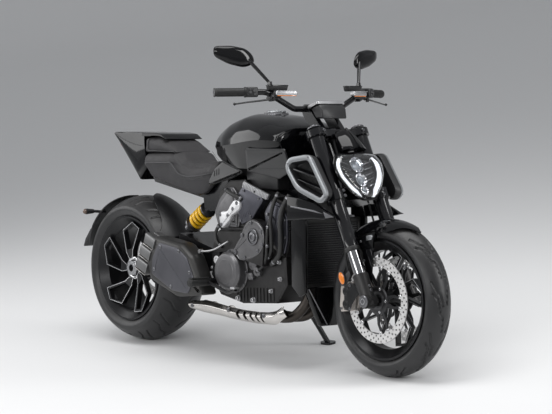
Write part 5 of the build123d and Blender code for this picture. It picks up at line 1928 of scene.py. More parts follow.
@dataclass
class Handlebar(Part):
    """Grips, levers, switches, reservoirs and indicators of the bar."""

    end: float = 445.0
    grip_length: float = 128.0

    def __post_init__(self) -> None:
        """Work out the bar's places from its middle."""
        self.bend = from_bar(0, 118, 0)
        self.shoulder = from_bar(-10, 252, 67)
        self.tip = from_bar(-100, self.end, 64)
        self.way = (self.tip - self.shoulder).normalized()

    def build(self, maker: Maker, patterns: Patterns) -> None:
        """Build them."""
        self._grips(maker, patterns)
        self._switches(maker)
        self._levers(maker)
        self._reservoirs(maker)
        self._indicators(maker, patterns)
        self._clamps(maker)

    def _grips(self, maker: Maker, patterns: Patterns) -> None:
        """Build the ribbed grips, with a flange at the inner end and a weight at the tip."""
        start = self.tip - self.way * self.grip_length
        core = lathe([(0, 12.5), (0, 21), (5, 21), (7, 16), (120, 16), (124, 17.4), (127.6, 17.4),
                      (127.8, 12.5)], start, self.way, 40)
        rib = lathe([(-1.1, 15.5), (-0.8, 17), (0.8, 17), (1.1, 15.5)], (0, 0, 0), (1, 0, 0), 24)
        ribs = patterns.row([start + self.way * 12, start + self.way * 116], rib, 27, UP,
                            GRIP_SOFT)
        maker.piece("grips", mirrored(with_data(core, ribs)), GRIP_SOFT, "steering",
                    ("hand_grips",))
        weight = lathe([(0.2, 12), (1, 15.5), (8, 15), (11, 12.5), (11, 6), (8, 5), (8, 0)],
                       self.tip - self.way * 10.5, self.way, 32)
        maker.piece("bar_weights", mirrored(weight), SHOCK_STEEL, "steering")

    def _switches(self, maker: Maker) -> None:
        """Build the switch housings with their buttons, and the pumps beside them."""
        start = self.tip - self.way * (self.grip_length + 2)
        side, up = frame_at(-self.way)
        housing = rounded([(-22, -20), (22, -20), (22, 20), (-22, 20)], 9)
        body = loft([[start - self.way * along + side * x * size + up * y * size
                      for x, y in housing]
                     for along, size in ((0, 0.9), (3, 1.0), (40, 1.0), (44, 0.88))])
        rise = (self.shoulder - self.bend).normalized()
        perch = self.shoulder - rise * 40
        flat, tall = frame_at(rise)
        clamp = loft([[perch + rise * along + flat * x * size + tall * y * size for x, y in
                       rounded([(-20, -22), (20, -22), (24, 6), (12, 22), (-16, 22)], 7)]
                      for along, size in ((0, 0.92), (2, 1), (18, 1), (20, 0.92))])
        pump = tube([perch + Vector((12, -16, 6)), perch + Vector((22, 24, 0)),
                     from_bar(20, 262, 38) + Vector((2, -14, 4))], lambda t: 11 - 2 * t, 20)
        maker.piece("switch_housings", mirrored(joined(body, clamp, pump)), SATIN_PLASTIC,
                    "steering", ("hand_controls",), bevel=0.8)
        buttons = [lathe([(0, size), (4, size), (5, size * 0.8), (5, 0)],
                         start - self.way * along - side * 21 + up * high, -side, 20)
                   for along, high, size in ((12, 0, 5.5), (12, 10, 3.4), (28, 4, 5), (30, -9, 4))]
        maker.piece("switch_buttons", mirrored(joined(*buttons)), BUTTON_GREY, "steering")

    @staticmethod
    def _levers(maker: Maker) -> None:
        """Build the flat, curved levers with their ball ends."""
        path = smooth_line([from_bar(*place) for place in (
            (20, 250, 40), (22, 268, 37), (6, 310, 31), (-10, 350, 26), (-24, 390, 20),
            (-23, 402, 19))], 6)
        blade = tube(path, lambda t: 8.2 - 2.8 * t, 14, flatten=0.5)
        ball = lathe([(-6, 0.5), (-4.5, 4), (0, 6), (4.5, 4), (6, 0.5)], from_bar(-23, 403, 19),
                     (0, 1, 0), 20)
        pivot = lathe([(-9, 7), (9, 7), (10, 5), (10, 0)], from_bar(20, 258, 38), (0, 0, 1), 24)
        maker.piece("levers", mirrored(joined(blade, ball, pivot)), LEVER_GREY, "steering")

    @staticmethod
    def _pot(outline: Sequence[Flat], rows: Sequence[Flat]) -> bmesh.types.BMesh:
        """Loft a flat outline upwards beside the bar.

        Args:
            outline: Points (forward, left) from the bar's middle.
            rows: Pairs of (height, scale).

        Returns:
            The body.
        """
        return loft([[from_bar(x, y, z) for x, y in scaled(outline, size)] for z, size in rows])

    def _reservoirs(self, maker: Maker) -> None:
        """Build the fluid reservoirs, their lids and screws."""
        outline = rounded([(-22, 156), (16, 156), (8, 246), (-30, 246)], 12)
        pot = self._pot(outline, ((72, 0.8), (76, 0.9), (90, 0.96), (91, 0.96)))
        stem = tube([from_bar(-6, 214, 52), from_bar(-6, 212, 76)], 8, 16)
        maker.piece("reservoirs", mirrored(joined(pot, stem)), SATIN_PLASTIC, "steering", bevel=1)
        lid = self._pot(outline, ((90.6, 1.0), (94, 1.0), (95, 0.95)))
        maker.piece("reservoir_lids", mirrored(lid), FORK_BLACK, "steering", bevel=0.8)
        screws = bolts([from_bar(-2, 166, 95), from_bar(-14, 236, 95)], UP, 3.4, 1.4)
        maker.piece("reservoir_screws", mirrored(screws), SHOCK_STEEL, "steering")

    def _indicators(self, maker: Maker, patterns: Patterns) -> None:
        """Build the indicators in the bar's clamps: ribbed bodies with narrow lenses."""
        outline = rounded([(31, 151), (60, 151), (38, 240), (26, 240)], 6)
        body = self._pot(outline, ((54, 0.9), (57, 1.0), (68, 1.0), (71, 0.92)))
        rib = box_between((-1.3, -13, -1), (1.3, 11, 1.6))
        ribs = patterns.row([from_bar(44, 158, 71), from_bar(33, 234, 71)], rib, 16, (-1, -0.1, 0),
                            INDICATOR_SILVER)
        front = box_between((-1.3, -8, -1), (1.3, 8, 2))
        faces = patterns.row([from_bar(56.5, 158, 62), from_bar(37, 234, 62)], front, 16, UP,
                             INDICATOR_SILVER)
        maker.piece("indicator_bodies", mirrored(with_data(body, ribs, faces)), INDICATOR_SILVER,
                    "steering", ("bar_indicators",), bevel=0.4)
        lens = plate([from_bar(x, y, 51) for x, y in ((54, 156), (58, 156), (38, 234), (34, 234))],
                     (0, 0, 3.4))
        maker.piece("indicator_lenses", mirrored(lens), AMBER_LENS, "steering", bevel=0.6)

    @staticmethod
    def _clamps(maker: Maker) -> None:
        """Build the two clamps that hold the bar on its risers."""
        caps, screws = [], []
        turns = [math.pi * k / 10 for k in range(11)]
        outline = [(radius * math.cos(turn - 0.35), radius * math.sin(turn - 0.35))
                   for radius, way in ((19, turns), (12.4, turns[::-1])) for turn in way]
        for side in (-1, 1):
            centre = from_bar(0, side * 50, 0)
            caps.append(plate([centre + Vector((x, -12 * side, z)) for x, z in outline],
                              (0, 24 * side, 0)))
            screws.append(bolts([centre + Vector((x * 0.9, 0, 9 - x * 0.3)) for x in (-16, 16)],
                                (0.2, 0, 1), 5, 5))
        maker.piece("bar_clamps", joined(*caps), FORK_BLACK, "steering", bevel=1)
        maker.piece("bar_clamp_bolts", joined(*screws), SHOCK_STEEL, "steering")


@dataclass
class Mirrors(Part):
    """The two drop-shaped mirrors on slim stalks."""

    outward: Vector = Vector((-47, 163, 0)).normalized()
    ahead: Vector = Vector((163, 47, 0)).normalized()

    def build(self, maker: Maker, patterns: Patterns) -> None:
        """Build shells, glasses and stalks."""
        inner = from_bar(-65, 266, 188)
        outline = rounded([(0, 0), (10, 27), (40, 50), (100, 60), (166, 58), (176, 44), (170, 16),
                           (110, -12), (48, -25), (14, -16)], 16, 5)
        lay = plane(inner, self.outward, UP, self.ahead)
        sizes = ((-9.5, 0.9), (-10.5, 0.95), (-8, 1.0), (-3, 1.0), (4, 0.93), (9, 0.72),
                 (10.8, 0.4), (11, 0.1))
        shell = loft([[lay(point, high) for point in scaled(outline, size, (92, 18))]
                      for high, size in sizes])
        maker.piece("mirror_shells", mirrored(shell), GLOSS_BLACK, "steering", ("mirrors",))
        glass = loft([[lay(point, high) for point in scaled(outline, size, (92, 18))]
                      for high, size in ((-9.6, 0.88), (-10.2, 0.88), (-10.3, 0.1))])
        maker.piece("mirror_glasses", mirrored(glass), MIRROR_GLASS, "steering")
        foot = from_bar(-10, 236, 95.3)
        neck = lay((30, 6), 2)
        stalk = tube(smooth_line([foot + Vector((0, 0, 2)), foot + Vector((-5, 5, 14)), neck], 8),
                     lambda t: 5.2 + 3.6 * t, 18, flatten=0.8)
        nut = lathe([(0, 11), (3, 11), (4, 9), (12, 9), (13, 7), (13, 5)], foot, (0, 0, 1), 6)
        maker.piece("mirror_stalks", mirrored(joined(stalk, nut)), FORK_BLACK, "steering")


LIGHT_HALF = [(0, 602), (104, 592), (130, 548), (124, 500), (84, 432), (34, 393)]


@dataclass
class Headlight(Part):
    """The shield-shaped lamp: shell, clear cover, projectors and bright side bands."""

    back: float = 47.2

    def _outline(self, size: float) -> list[Flat]:
        """Draw the shield outline.

        Args:
            size: Its scale.

        Returns:
            Pairs of (left, height).
        """
        full = LIGHT_HALF + [(-y, h) for y, h in reversed(LIGHT_HALF) if y]
        return [(y * size, 500 + (h - 500) * size) for y, h in rounded(full, 16, 4)]

    def _skin(self, rows: Sequence[Flat]) -> bmesh.types.BMesh:
        """Loft the shield outline.

        Args:
            rows: Pairs of (distance ahead, scale).

        Returns:
            The skin.
        """
        return loft([[fork(ahead, y, h) for y, h in self._outline(size)] for ahead, size in rows])

    def build(self, maker: Maker, patterns: Patterns) -> None:
        """Build the lamp and its cowl."""
        shell = self._skin([(60.5, 0.3), (60.5, 0.74), (86, 0.905), (88, 0.93), (88, 0.985),
                            (85, 1), (80, 0.99), (62, 0.86), (self.back, 0.68), (self.back, 0.2)])
        maker.piece("headlight_shell", shell, GLOSS_BLACK, "steering", ("headlight",), smooth=35)
        cover = self._skin([(105.8, 0.1), (105.6, 0.5), (105, 0.78), (102.5, 0.84), (97, 0.875),
                            (89, 0.9), (89, 0.925), (98, 0.9), (105, 0.86), (108, 0.8),
                            (108.6, 0.5), (108.8, 0.1)])
        maker.piece("headlight_cover", cover, CLEAR_COVER, "steering", ("headlight_lens",),
                    smooth=60)
        self._bands(maker)
        self._units(maker)
        self._cowl(maker)

    def _bands(self, maker: Maker) -> None:
        """Build the white bands down both sides, in their grey trims."""
        run = [(88, 578), (112, 556), (117, 530), (111, 494), (88, 455), (58, 420), (33, 403)]
        for name, offsets, finish, bevel in (
                ("headlight_bands", ((-25, 72), (-25, 83), (-4, 86), (-4, 74)), WHITE_BAND, 1.0),
                ("headlight_band_trims", ((-29, 70), (-29, 85), (-26.5, 85), (-26.5, 70)),
                 SHOCK_STEEL, 0.6)):
            pair = []
            for side in (-1, 1):
                line = smooth_line([(side * y, h, 0) for y, h in run], 6)
                rings = []
                for index, point in enumerate(line):
                    way = line[min(index + 1, len(line) - 1)] - line[max(index - 1, 0)]
                    normal = Vector((way.y, -way.x, 0)).normalized() * -side
                    taper = min(1.0, 0.45 + index / 10, 0.45 + (len(line) - 1 - index) / 10)
                    rings.append([fork(ahead, point.x + normal.x * shift * taper,
                                       point.y + normal.y * shift * taper)
                                  for shift, ahead in offsets])
                pair.append(loft(rings))
            maker.piece(name, joined(*pair), finish, "steering", bevel=bevel)

    @staticmethod
    def _units(maker: Maker) -> None:
        """Build the projectors in their reflectors, with fins between them."""
        base = loft([[fork(ahead, y, h) for y, h in rounded(
            [(0, 586), (66, 578), (78, 540), (66, 480), (40, 430), (0, 410), (-40, 430),
             (-66, 480), (-78, 540), (-66, 578)], 14, 4)] for ahead in (61, 66)])
        maker.piece("headlight_bezel", base, SATIN_PLASTIC, "steering", ("headlight_units",))
        cups, lenses = [], []
        for height, size in ((548, 29), (484, 23), (438, 14)):
            centre = fork(66, 0, height)
            cups.append(lathe([(0, size + 4), (14, size + 5), (15, size + 3), (6, size - 2),
                               (3, size * 0.6)], centre, FORK_AHEAD, 40))
            lenses.append(lathe([(3, size * 0.72), (9, size * 0.72), (13, size * 0.55),
                                 (15, size * 0.3), (15.6, 0)], centre, FORK_AHEAD, 32))
        fins = []
        for side in (-1, 1):
            for step in range(5):
                height = 452 + step * 24
                near, far = side * (26 + step * 3.4), side * (62 + step * 5)
                fins.append(plate([fork(68, near, height), fork(68, far, height + 10),
                                   fork(84, far, height + 12), fork(76, near, height + 2)],
                                  FORK_UP * 3))
        maker.piece("headlight_reflectors", joined(*cups), CHROME, "steering")
        maker.piece("headlight_projectors", joined(*lenses), LAMP_EYE, "steering")
        maker.piece("headlight_fins", joined(*fins), SHOCK_STEEL, "steering", bevel=0.6)

    @staticmethod
    def _cowl(maker: Maker) -> None:
        """Build the gloss cowl over the lamp: a wedge with a centre blade and side facets."""
        rows = [(603.5, 126, 60, 66), (620, 122, 62, 66), (655, 110, 56, 62), (688, 95, 44, 58),
                (702, 84, 34, 57)]
        rings = []
        for height, front, half, back in rows:
            rings.append([fork(a, y, height) for a, y in rounded(
                [(back, -half), (back, half), (front - 26, half), (front - 6, half * 0.45),
                 (front, 0), (front - 6, -half * 0.45), (front - 26, -half)], 5, 3)])
        maker.piece("lamp_cowl", loft(rings), GLOSS_BLACK, "steering", ("headlight_cowl",), bevel=2,
                    smooth=30)
        blade = [fork(a, 0, h) for a, h in ((120, 606), (131, 606), (114, 662), (88, 706),
                                            (80, 702), (104, 660))]
        rib = loft([[point + LEFT * y for point in blade] for y in (-4, 4)])
        maker.piece("lamp_cowl_blade", rib, GLOSS_BLACK, "steering", bevel=1.2)


@dataclass
class Display(Part):
    """The instrument: a flat housing with a pale upper rim and a dark screen."""

    half: float = 74.0

    def build(self, maker: Maker, patterns: Patterns) -> None:
        """Build housing, rim and screen."""
        outline = [(38, 2), (66, 14), (86, 21), (104, 2), (111, -38), (70, -38)]
        rings = [[from_bar(x, y, z) for x, z in scaled(outline, size)]
                 for y, size in ((-self.half + 8, 0.86), (-self.half + 14, 1),
                                 (self.half - 14, 1), (self.half - 8, 0.86))]
        maker.piece("display_housing", loft(rings), SATIN_PLASTIC, "steering",
                    ("instrument_display",), bevel=3)
        low, high = from_bar(20, 0, 11), from_bar(86, 0, 33)
        along, depth = (high - low).normalized(), (high - low).length
        above = along.cross(LEFT).normalized()
        above *= math.copysign(1, above.z)
        outer = rounded([(0, -self.half + 3), (depth, -self.half), (depth, self.half),
                         (0, self.half - 3)], 10)
        lay = plane(low, along, LEFT, above)
        maker.piece("display_rim", ring_frame(outer, shrunk(outer, 5), lay, 12, 0.8),
                    INDICATOR_SILVER, "steering")
        screen = loft([[lay(point, rise) for point in shrunk(outer, 4.8)] for rise in (-11, -0.8)])
        maker.piece("display_screen", screen, DARK_SCREEN, "steering", bevel=0.4)


@dataclass
class FrontFender(Part):
    """The short gloss fender, drawn out to a point, with its arms, bolts and bright brackets."""

    crown: float = 307.0
    drop: float = 45.0
    half: float = 74.0
    wall: float = 3.5
    back: float = 125.0
    front: float = 59.0

    COLUMNS = 10
    ROWS = 44

    def _width(self, angle: float) -> float:
        """Find how wide the fender is.

        Args:
            angle: Degrees above straight ahead.

        Returns:
            Half its width there.
        """
        share = min(1.0, max(0.0, (angle - self.front) / 23))
        return 8 + (self.half - 8) * (3 * share ** 2 - 2 * share ** 3) ** 0.8

    def _lay(self, angle: float, left: float, rise: float) -> Vector:
        """Find a point of the skin.

        Args:
            angle: Degrees above straight ahead.
            left: Distance from the middle.
            rise: Distance outside the inner skin.

        Returns:
            The point.
        """
        radius = self.crown - self.drop * (abs(left) / self.half) ** 2.6 + rise
        turn = math.radians(angle)
        return FRONT_AXLE + around(radius, turn, left)

    def build(self, maker: Maker, patterns: Patterns) -> None:
        """Build skin, arms and fixings."""
        shares = [step / self.COLUMNS - 1 for step in range(2 * self.COLUMNS + 1)]
        rings = []
        for step in range(self.ROWS + 1):
            angle = self.back + (self.front - self.back) * step / self.ROWS
            half = self._width(angle)
            rings.append([self._lay(angle, half * share, self.wall) for share in shares]
                         + [self._lay(angle, (half - 3) * share, 0) for share in reversed(shares)])
        arms = [side_plate(beside(FRONT_AXLE, outline), near, far) for outline, near, far in (
            (((-120, 226), (0, 264), (-8, 236), (-110, 200)), 66, 83.6),
            (((-100, 214), (-8, 244), (-22, 74), (-50, 84), (-66, 180)), 77, 84.6))]
        maker.piece("fender_skin", joined(loft(rings), mirrored(joined(*arms))), GLOSS_BLACK,
                    "steering", ("front_fender",), smooth=45)
        screws = bolts([FRONT_AXLE + Vector((x, -84, z)) for x, z in (
            (-78, 222), (-30, 240), (-58, 150), (-44, 100))], RIGHT, 5, 4)
        outline = [(-46, 246), (-14, 252), (-10, 244), (-18, 232), (-44, 228)]
        bracket = side_plate(beside(FRONT_AXLE, outline), 84.4, 88)
        maker.piece("fender_bolts", mirrored(screws), SHOCK_STEEL, "steering")
        maker.piece("fender_brackets", mirrored(bracket), INTAKE_SILVER, "steering", bevel=1)


# ---------------------------------------------------------------- tank and front body


# Along the machine, half width, crease, top, bottom, half width at the bottom.
TANK_ROWS = [
    (-229, 46, 878, 900, 858, 38), (-222, 58, 877, 916, 852, 48), (-190, 84, 875, 937, 836, 70),
    (-129, 118, 875, 965, 815, 96), (-62, 150, 881, 988, 800, 116), (17, 172, 888, 1008, 791, 136),
    (69, 183, 893, 1014.5, 790, 146), (150, 197, 902, 1011, 790, 150),
    (228, 205, 908, 1000, 790, 150), (290, 204, 908, 982, 792, 150),
    (330, 198, 906, 966, 796, 150), (346, 188, 902, 952, 802, 146),
    (351, 170, 895, 930, 812, 138)]


@dataclass
class FuelTank(Part):
    """The tank's skin, with a sharp crease along each side, and its filler cap."""

    def _half_ring(self, row: Sequence[float]) -> list[Flat]:
        """Draw half of one section.

        Args:
            row: One of TANK_ROWS.

        Returns:
            Pairs of (left, up), from the top's middle round to the bottom's.
        """
        _, half, crease, top, bottom, low = row
        rise = top - crease
        arc = smooth_line([(0, top, 0), (half * 0.36, top - rise * 0.03, 0),
                           (half * 0.68, top - rise * 0.2, 0), (half * 0.9, top - rise * 0.56, 0),
                           (half, crease, 0)], 5)
        lower = [(half * 0.97, crease - (crease - bottom) * 0.14),
                 (half * 0.9, crease - (crease - bottom) * 0.42),
                 (low + 2, bottom + (crease - bottom) * 0.12), (low - 4, bottom)]
        return [(point.x, point.y) for point in arc] + lower + [(low * 0.5, bottom)]

    def build(self, maker: Maker, patterns: Patterns) -> None:
        """Build skin, airbox and cap."""
        halves = [self._half_ring(row) for row in TANK_ROWS]
        lines = [smooth_line([(row[0], *half[index]) for row, half in zip(TANK_ROWS, halves)], 4)
                 for index in range(len(halves[0]))]
        rings = []
        for step in range(len(lines[0])):
            left = [lines[index][step] for index in range(len(lines))]
            rings.append(left + [Vector((point.x, -point.y, point.z))
                                 for point in reversed(left) if point.y > 0.01])
        maker.piece("tank_skin", loft(rings), GLOSS_BLACK, "chassis", ("fuel_tank",), smooth=24)
        block = box_between((36, -100, 704), (236, 100, 789))
        maker.piece("airbox", block, SATIN_PLASTIC, "chassis", bevel=8)
        self._cap(maker, patterns)

    @staticmethod
    def _cap(maker: Maker, patterns: Patterns) -> None:
        """Build the cap's seat ring with its screws, and the hinged cap."""
        seat = Vector((110, 0, 1018))
        ring = lathe([(-10, 52), (-4, 52), (-1, 49), (-0.2, 44), (-0.2, 41), (-3, 40.6),
                      (-10, 40.6), (-10, 52)], seat, UP, 64)
        maker.piece("filler_ring", ring, SHOCK_STEEL, "chassis")
        screw = bolt(seat + Vector((46.6, 0, -1.2)), UP, 3, 2)
        screws = patterns.ring(screw, 8, seat, UP, SHOCK_STEEL)
        maker.piece("filler_screws", with_data(bmesh.new(), screws), SHOCK_STEEL, "chassis")
        lid = lathe([(0.4, 39.8), (6, 39.8), (8, 38), (8.6, 34), (8.2, 22), (9.2, 20), (9.2, 0)],
                    seat, UP, 64)
        knuckle = lathe([(-9.7, 4.4), (9.7, 4.4)], (157, 0, 1022.8), LEFT, 20)
        strap = box_between((140, -9.7, 1019.4), (157, 9.7, 1026.2))
        outline = rounded([(-13, -7), (13, -7), (13, 7), (-13, 7)], 6)
        flap = loft([[(seat.x + x, y, z) for x, y in scaled(outline, size)]
                     for z, size in ((1026.5, 1.0), (1029, 1.0), (1030, 0.9))])
        maker.piece("filler_cap", joined(lid, knuckle, strap, flap), INTAKE_SILVER, "fuel_cap",
                    ("fuel_cap",), bevel=0.5)


INTAKE_OUTLINE = [(552, 858), (424, 842), (402, 800), (470, 715), (623, 664), (663, 703)]


@dataclass
class AirIntakes(Part):
    """The silver-framed intakes at each side of the tank."""

    face: float = 204.0
    inner: float = 166.5

    def _lay(self, point: Flat, high: float) -> Vector:
        """Place a flat point on the intake's face.

        Args:
            point: The point (forward, up).
            high: How far it stands out.

        Returns:
            The point.
        """
        return Vector((point[0], -(self.face + high), point[1]))

    def build(self, maker: Maker, patterns: Patterns) -> None:
        """Build frames, ducts, slats and grilles."""
        outer = rounded(INTAKE_OUTLINE, 30, 6)
        hole = shrunk(outer, 21)
        rim = ring_frame(outer, hole, self._lay, 10, 2.2)
        maker.piece("intake_frames", mirrored(rim), INTAKE_SILVER, "chassis", ("air_intakes",),
                    smooth=30)
        duct = loft([[Vector((x, -y, z)) for x, z in ring] for ring, y in (
            (scaled(hole, 0.2), 171), (scaled(hole, 0.86), 171), (scaled(hole, 0.93), 186),
            (hole, 198), (outer, 194.2), (scaled(outer, 0.99), 180),
            (scaled(outer, 0.94), self.inner), (scaled(outer, 0.2), self.inner))])
        maker.piece("intake_ducts", mirrored(duct), SATIN_PLASTIC, "chassis", smooth=30)
        slat = plate([(446, -176, 806), (600, -176, 776), (606, -200, 768), (452, -200, 800)],
                     (0, 0, -7))
        blade = plate([(470, -178, 764), (622, -178, 726), (624, -196, 722), (474, -196, 760)],
                      (0, 0, -4))
        maker.piece("intake_slats", mirrored(joined(slat, blade)), FORK_BLACK, "chassis", bevel=1.5)
        bar = box_between((-0.6, -62, -1), (0.6, 62, 1))
        bars = patterns.row([(440, -174, 800), (620, -174, 716)], bar, 40, (0.35, 0, 0.94),
                            RADIATOR_BLACK)
        clip = with_data(bmesh.new(), bars)
        limit = scaled(hole, 0.9)
        low_x, high_x = min(x for x, _ in limit), max(x for x, _ in limit)
        gone = [vert for vert in clip.verts if not low_x < vert.co.x < high_x]
        bmesh.ops.delete(clip, geom=gone, context="VERTS")
        for vert in clip.verts:
            low, high = self._span(limit, vert.co.x)
            vert.co.z = min(max(vert.co.z, low), high)
        maker.piece("intake_grilles", mirrored(clip), RADIATOR_BLACK, "chassis")
        screws = bolts([(x, -self.face - 1.2, z) for x, z in (
            (424, 818), (645, 694), (545, 846))], RIGHT, 4, 2)
        maker.piece("intake_screws", mirrored(screws), SHOCK_STEEL, "chassis")

    @staticmethod
    def _span(outline: Sequence[Flat], x: float) -> Flat:
        """Find where an outline starts and ends above a place.

        Args:
            outline: The outline.
            x: The place.

        Returns:
            The lowest and highest crossing.
        """
        found = [b + (d - b) * (x - a) / (c - a)
                 for (a, b), (c, d) in zip(outline, [*outline[1:], outline[0]])
                 if (a - x) * (c - x) < 0]
        return (min(found), max(found)) if found else (0.0, 2000.0)


@dataclass
class RadiatorBody(Part):
    """The radiator's core, end tanks and chin, and the shrouds beside it."""

    half: float = 152.0
    front: float = 462.0
    depth: float = 28.0

    def build(self, maker: Maker, patterns: Patterns) -> None:
        """Build them."""
        back = self.front - self.depth
        frame_bars = joined(*[box_between((back, right, low), (self.front, left, high))
                              for right, left, low, high in (
                                  (-self.half, self.half, 578, 600),
                                  (-self.half, self.half, 326, 344),
                                  (-self.half, -self.half + 20, 340, 582),
                                  (self.half - 20, self.half, 340, 582))])
        maker.piece("radiator_tanks", frame_bars, RADIATOR_BLACK, "chassis", ("radiator",), bevel=4)
        fin = box_between((-0.35, -11, -119), (0.35, 10, 119))
        fins = patterns.row([(self.front - 14, -130, 461), (self.front - 14, 130, 461)], fin, 92,
                            (1, 0, 0), CORE_FIN)
        pipe = box_between((-1.2, -12, -131), (1.2, 11.4, 131))
        pipes = patterns.row([(self.front - 14, 0, 348), (self.front - 14, 0, 574)], pipe, 26,
                             (1, 0, 0), CORE_FIN)
        maker.piece("radiator_core", with_data(bmesh.new(), fins, pipes), CORE_FIN, "chassis")
        chin = loft([[(x, y, z) for x, y in rounded([(back + 2, -half), (self.front - 1, -half),
                                                     (self.front + lean, 0), (self.front - 1, half),
                                                     (back + 2, half)], 6, 3)]
                     for z, half, lean in ((330, 140, 0), (324, 140, 6), (250, 102, 6),
                                           (172, 61, 5), (170, 58, 3))])
        maker.piece("radiator_chin", chin, GLOSS_BLACK, "chassis", bevel=1.5, smooth=25)
        ridges = [tube([(self.front + 2, side * 128, 322), (self.front + 4, side * 34, 176)],
                       2.2, 8) for side in (-1, 1)]
        maker.piece("chin_edges", joined(*ridges), SHOCK_STEEL, "chassis")
        cap = lathe([(0, 17), (6, 17), (8, 15), (8, 6), (6, 0)], (448, 108, 600), UP, 24)
        hoses = [tube(smooth_line(route, 6), 13, 18) for route in (
            [(440, -100, 575), (395, -106, 572), (372, -112, 590), (352, -112, 620)],
            [(440, 100, 352), (400, 112, 344), (352, 118, 352), (318, 139, 350)])]
        maker.piece("radiator_cap", cap, SHOCK_STEEL, "chassis")
        maker.piece("radiator_hoses", joined(*hoses), GRIP_SOFT, "chassis")
        self._shrouds(maker)

    def _shrouds(self, maker: Maker) -> None:
        """Build the side shrouds and the spears above them, with bright steel strips on the spears that are
        painted highlights.
        """
        panel = side_plate([(394, 688), (470, 679), (486, 590), (486, 310), (453, 291), (403, 331),
                            (397, 600)], self.half + 0.4, self.half + 16)
        spear = side_plate([(394, 690), (470, 684), (560, 667), (674, 618), (612, 604), (560, 606),
                            (394, 592)], 166, 186)
        maker.piece("side_shrouds", mirrored(joined(panel, spear)), GLOSS_BLACK, "chassis",
                    ("radiator_shrouds",), bevel=5, smooth=30)
        # Painted highlight: thin bright steel strips on each spear's face and tip stand for the reflections that
        # run along the gloss black edges.
        tips = side_plate([(616, 636), (674, 618), (628, 612)], 186.2, 188)
        lines = joined(tips, side_plate([(420, 652), (560, 640), (614, 628), (560, 633),
                                         (420, 646)], 186.2, 187.4))
        maker.piece("spear_lines", mirrored(lines), SHOCK_STEEL, "chassis", bevel=0.4)


# ---------------------------------------------------------------- seats and tail


CLOTH_MOMENTS = 20
CLOTH_STIFFNESS = 25
CLOTH_QUALITY = 5


def plumped(name: str, mesh: bmesh.types.BMesh, held: Callable[[Vector], bool],
            cell: float, travel: float, pressure: float = 4.0) -> bpy.types.Mesh:
    """Blow a cushion up under a stretched cover, as cloth.

    Args:
        name: The mesh's name.
        mesh: The tight shape, upright, in millimetres; it is freed.
        held: Tells whether a point of the cover is fixed to the seat pan.
        cell: Size of the cover's faces.
        travel: The farthest that a point may move.
        pressure: Pressure inside.

    Returns:
        The cushion's mesh, upright, in millimetres.
    """
    bmesh.ops.recalc_face_normals(mesh, faces=mesh.faces)
    data = bpy.data.meshes.new(name)
    mesh.to_mesh(data)
    mesh.free()
    data.transform(Matrix.Scale(MM, 4))
    holder = bpy.data.objects.new(name, data)
    bpy.context.scene.collection.objects.link(holder)
    fine = holder.modifiers.new("fine", "REMESH")
    fine.mode = "VOXEL"
    fine.voxel_size = cell * MM
    relaxed = holder.modifiers.new("relaxed", "SMOOTH")
    relaxed.factor = 0.5
    relaxed.iterations = 3
    graph = bpy.context.evaluated_depsgraph_get()
    made = bpy.data.meshes.new_from_object(holder.evaluated_get(graph))
    holder.modifiers.clear()
    holder.data = made
    rest = [vert.co.copy() for vert in made.vertices]
    pins = holder.vertex_groups.new(name="pan")
    pins.add([i for i, co in enumerate(rest) if held(co / MM)], 1.0, "REPLACE")
    cloth = holder.modifiers.new("cover", "CLOTH")
    cloth.settings.use_pressure = True
    cloth.settings.uniform_pressure_force = pressure
    cloth.settings.vertex_group_mass = "pan"
    cloth.settings.effector_weights.gravity = 0
    cloth.settings.tension_stiffness = CLOTH_STIFFNESS
    cloth.settings.compression_stiffness = CLOTH_STIFFNESS
    cloth.settings.quality = CLOTH_QUALITY
    cloth.point_cache.frame_start, cloth.point_cache.frame_end = 1, CLOTH_MOMENTS
    for moment in range(1, CLOTH_MOMENTS + 1):
        bpy.context.scene.frame_set(moment)
    graph = bpy.context.evaluated_depsgraph_get()
    blown = holder.evaluated_get(graph).to_mesh()
    moved = [vert.co.copy() for vert in blown.vertices]
    holder.evaluated_get(graph).to_mesh_clear()
    holder.modifiers.clear()
    bpy.context.scene.frame_set(1)
    for vert, start, end in zip(made.vertices, rest, moved):
        step = end - start
        if step.length > travel * MM:
            step *= travel * MM / step.length
        vert.co = start + step
    bpy.data.objects.remove(holder)
    made.transform(Matrix.Scale(1 / MM, 4))
    return made


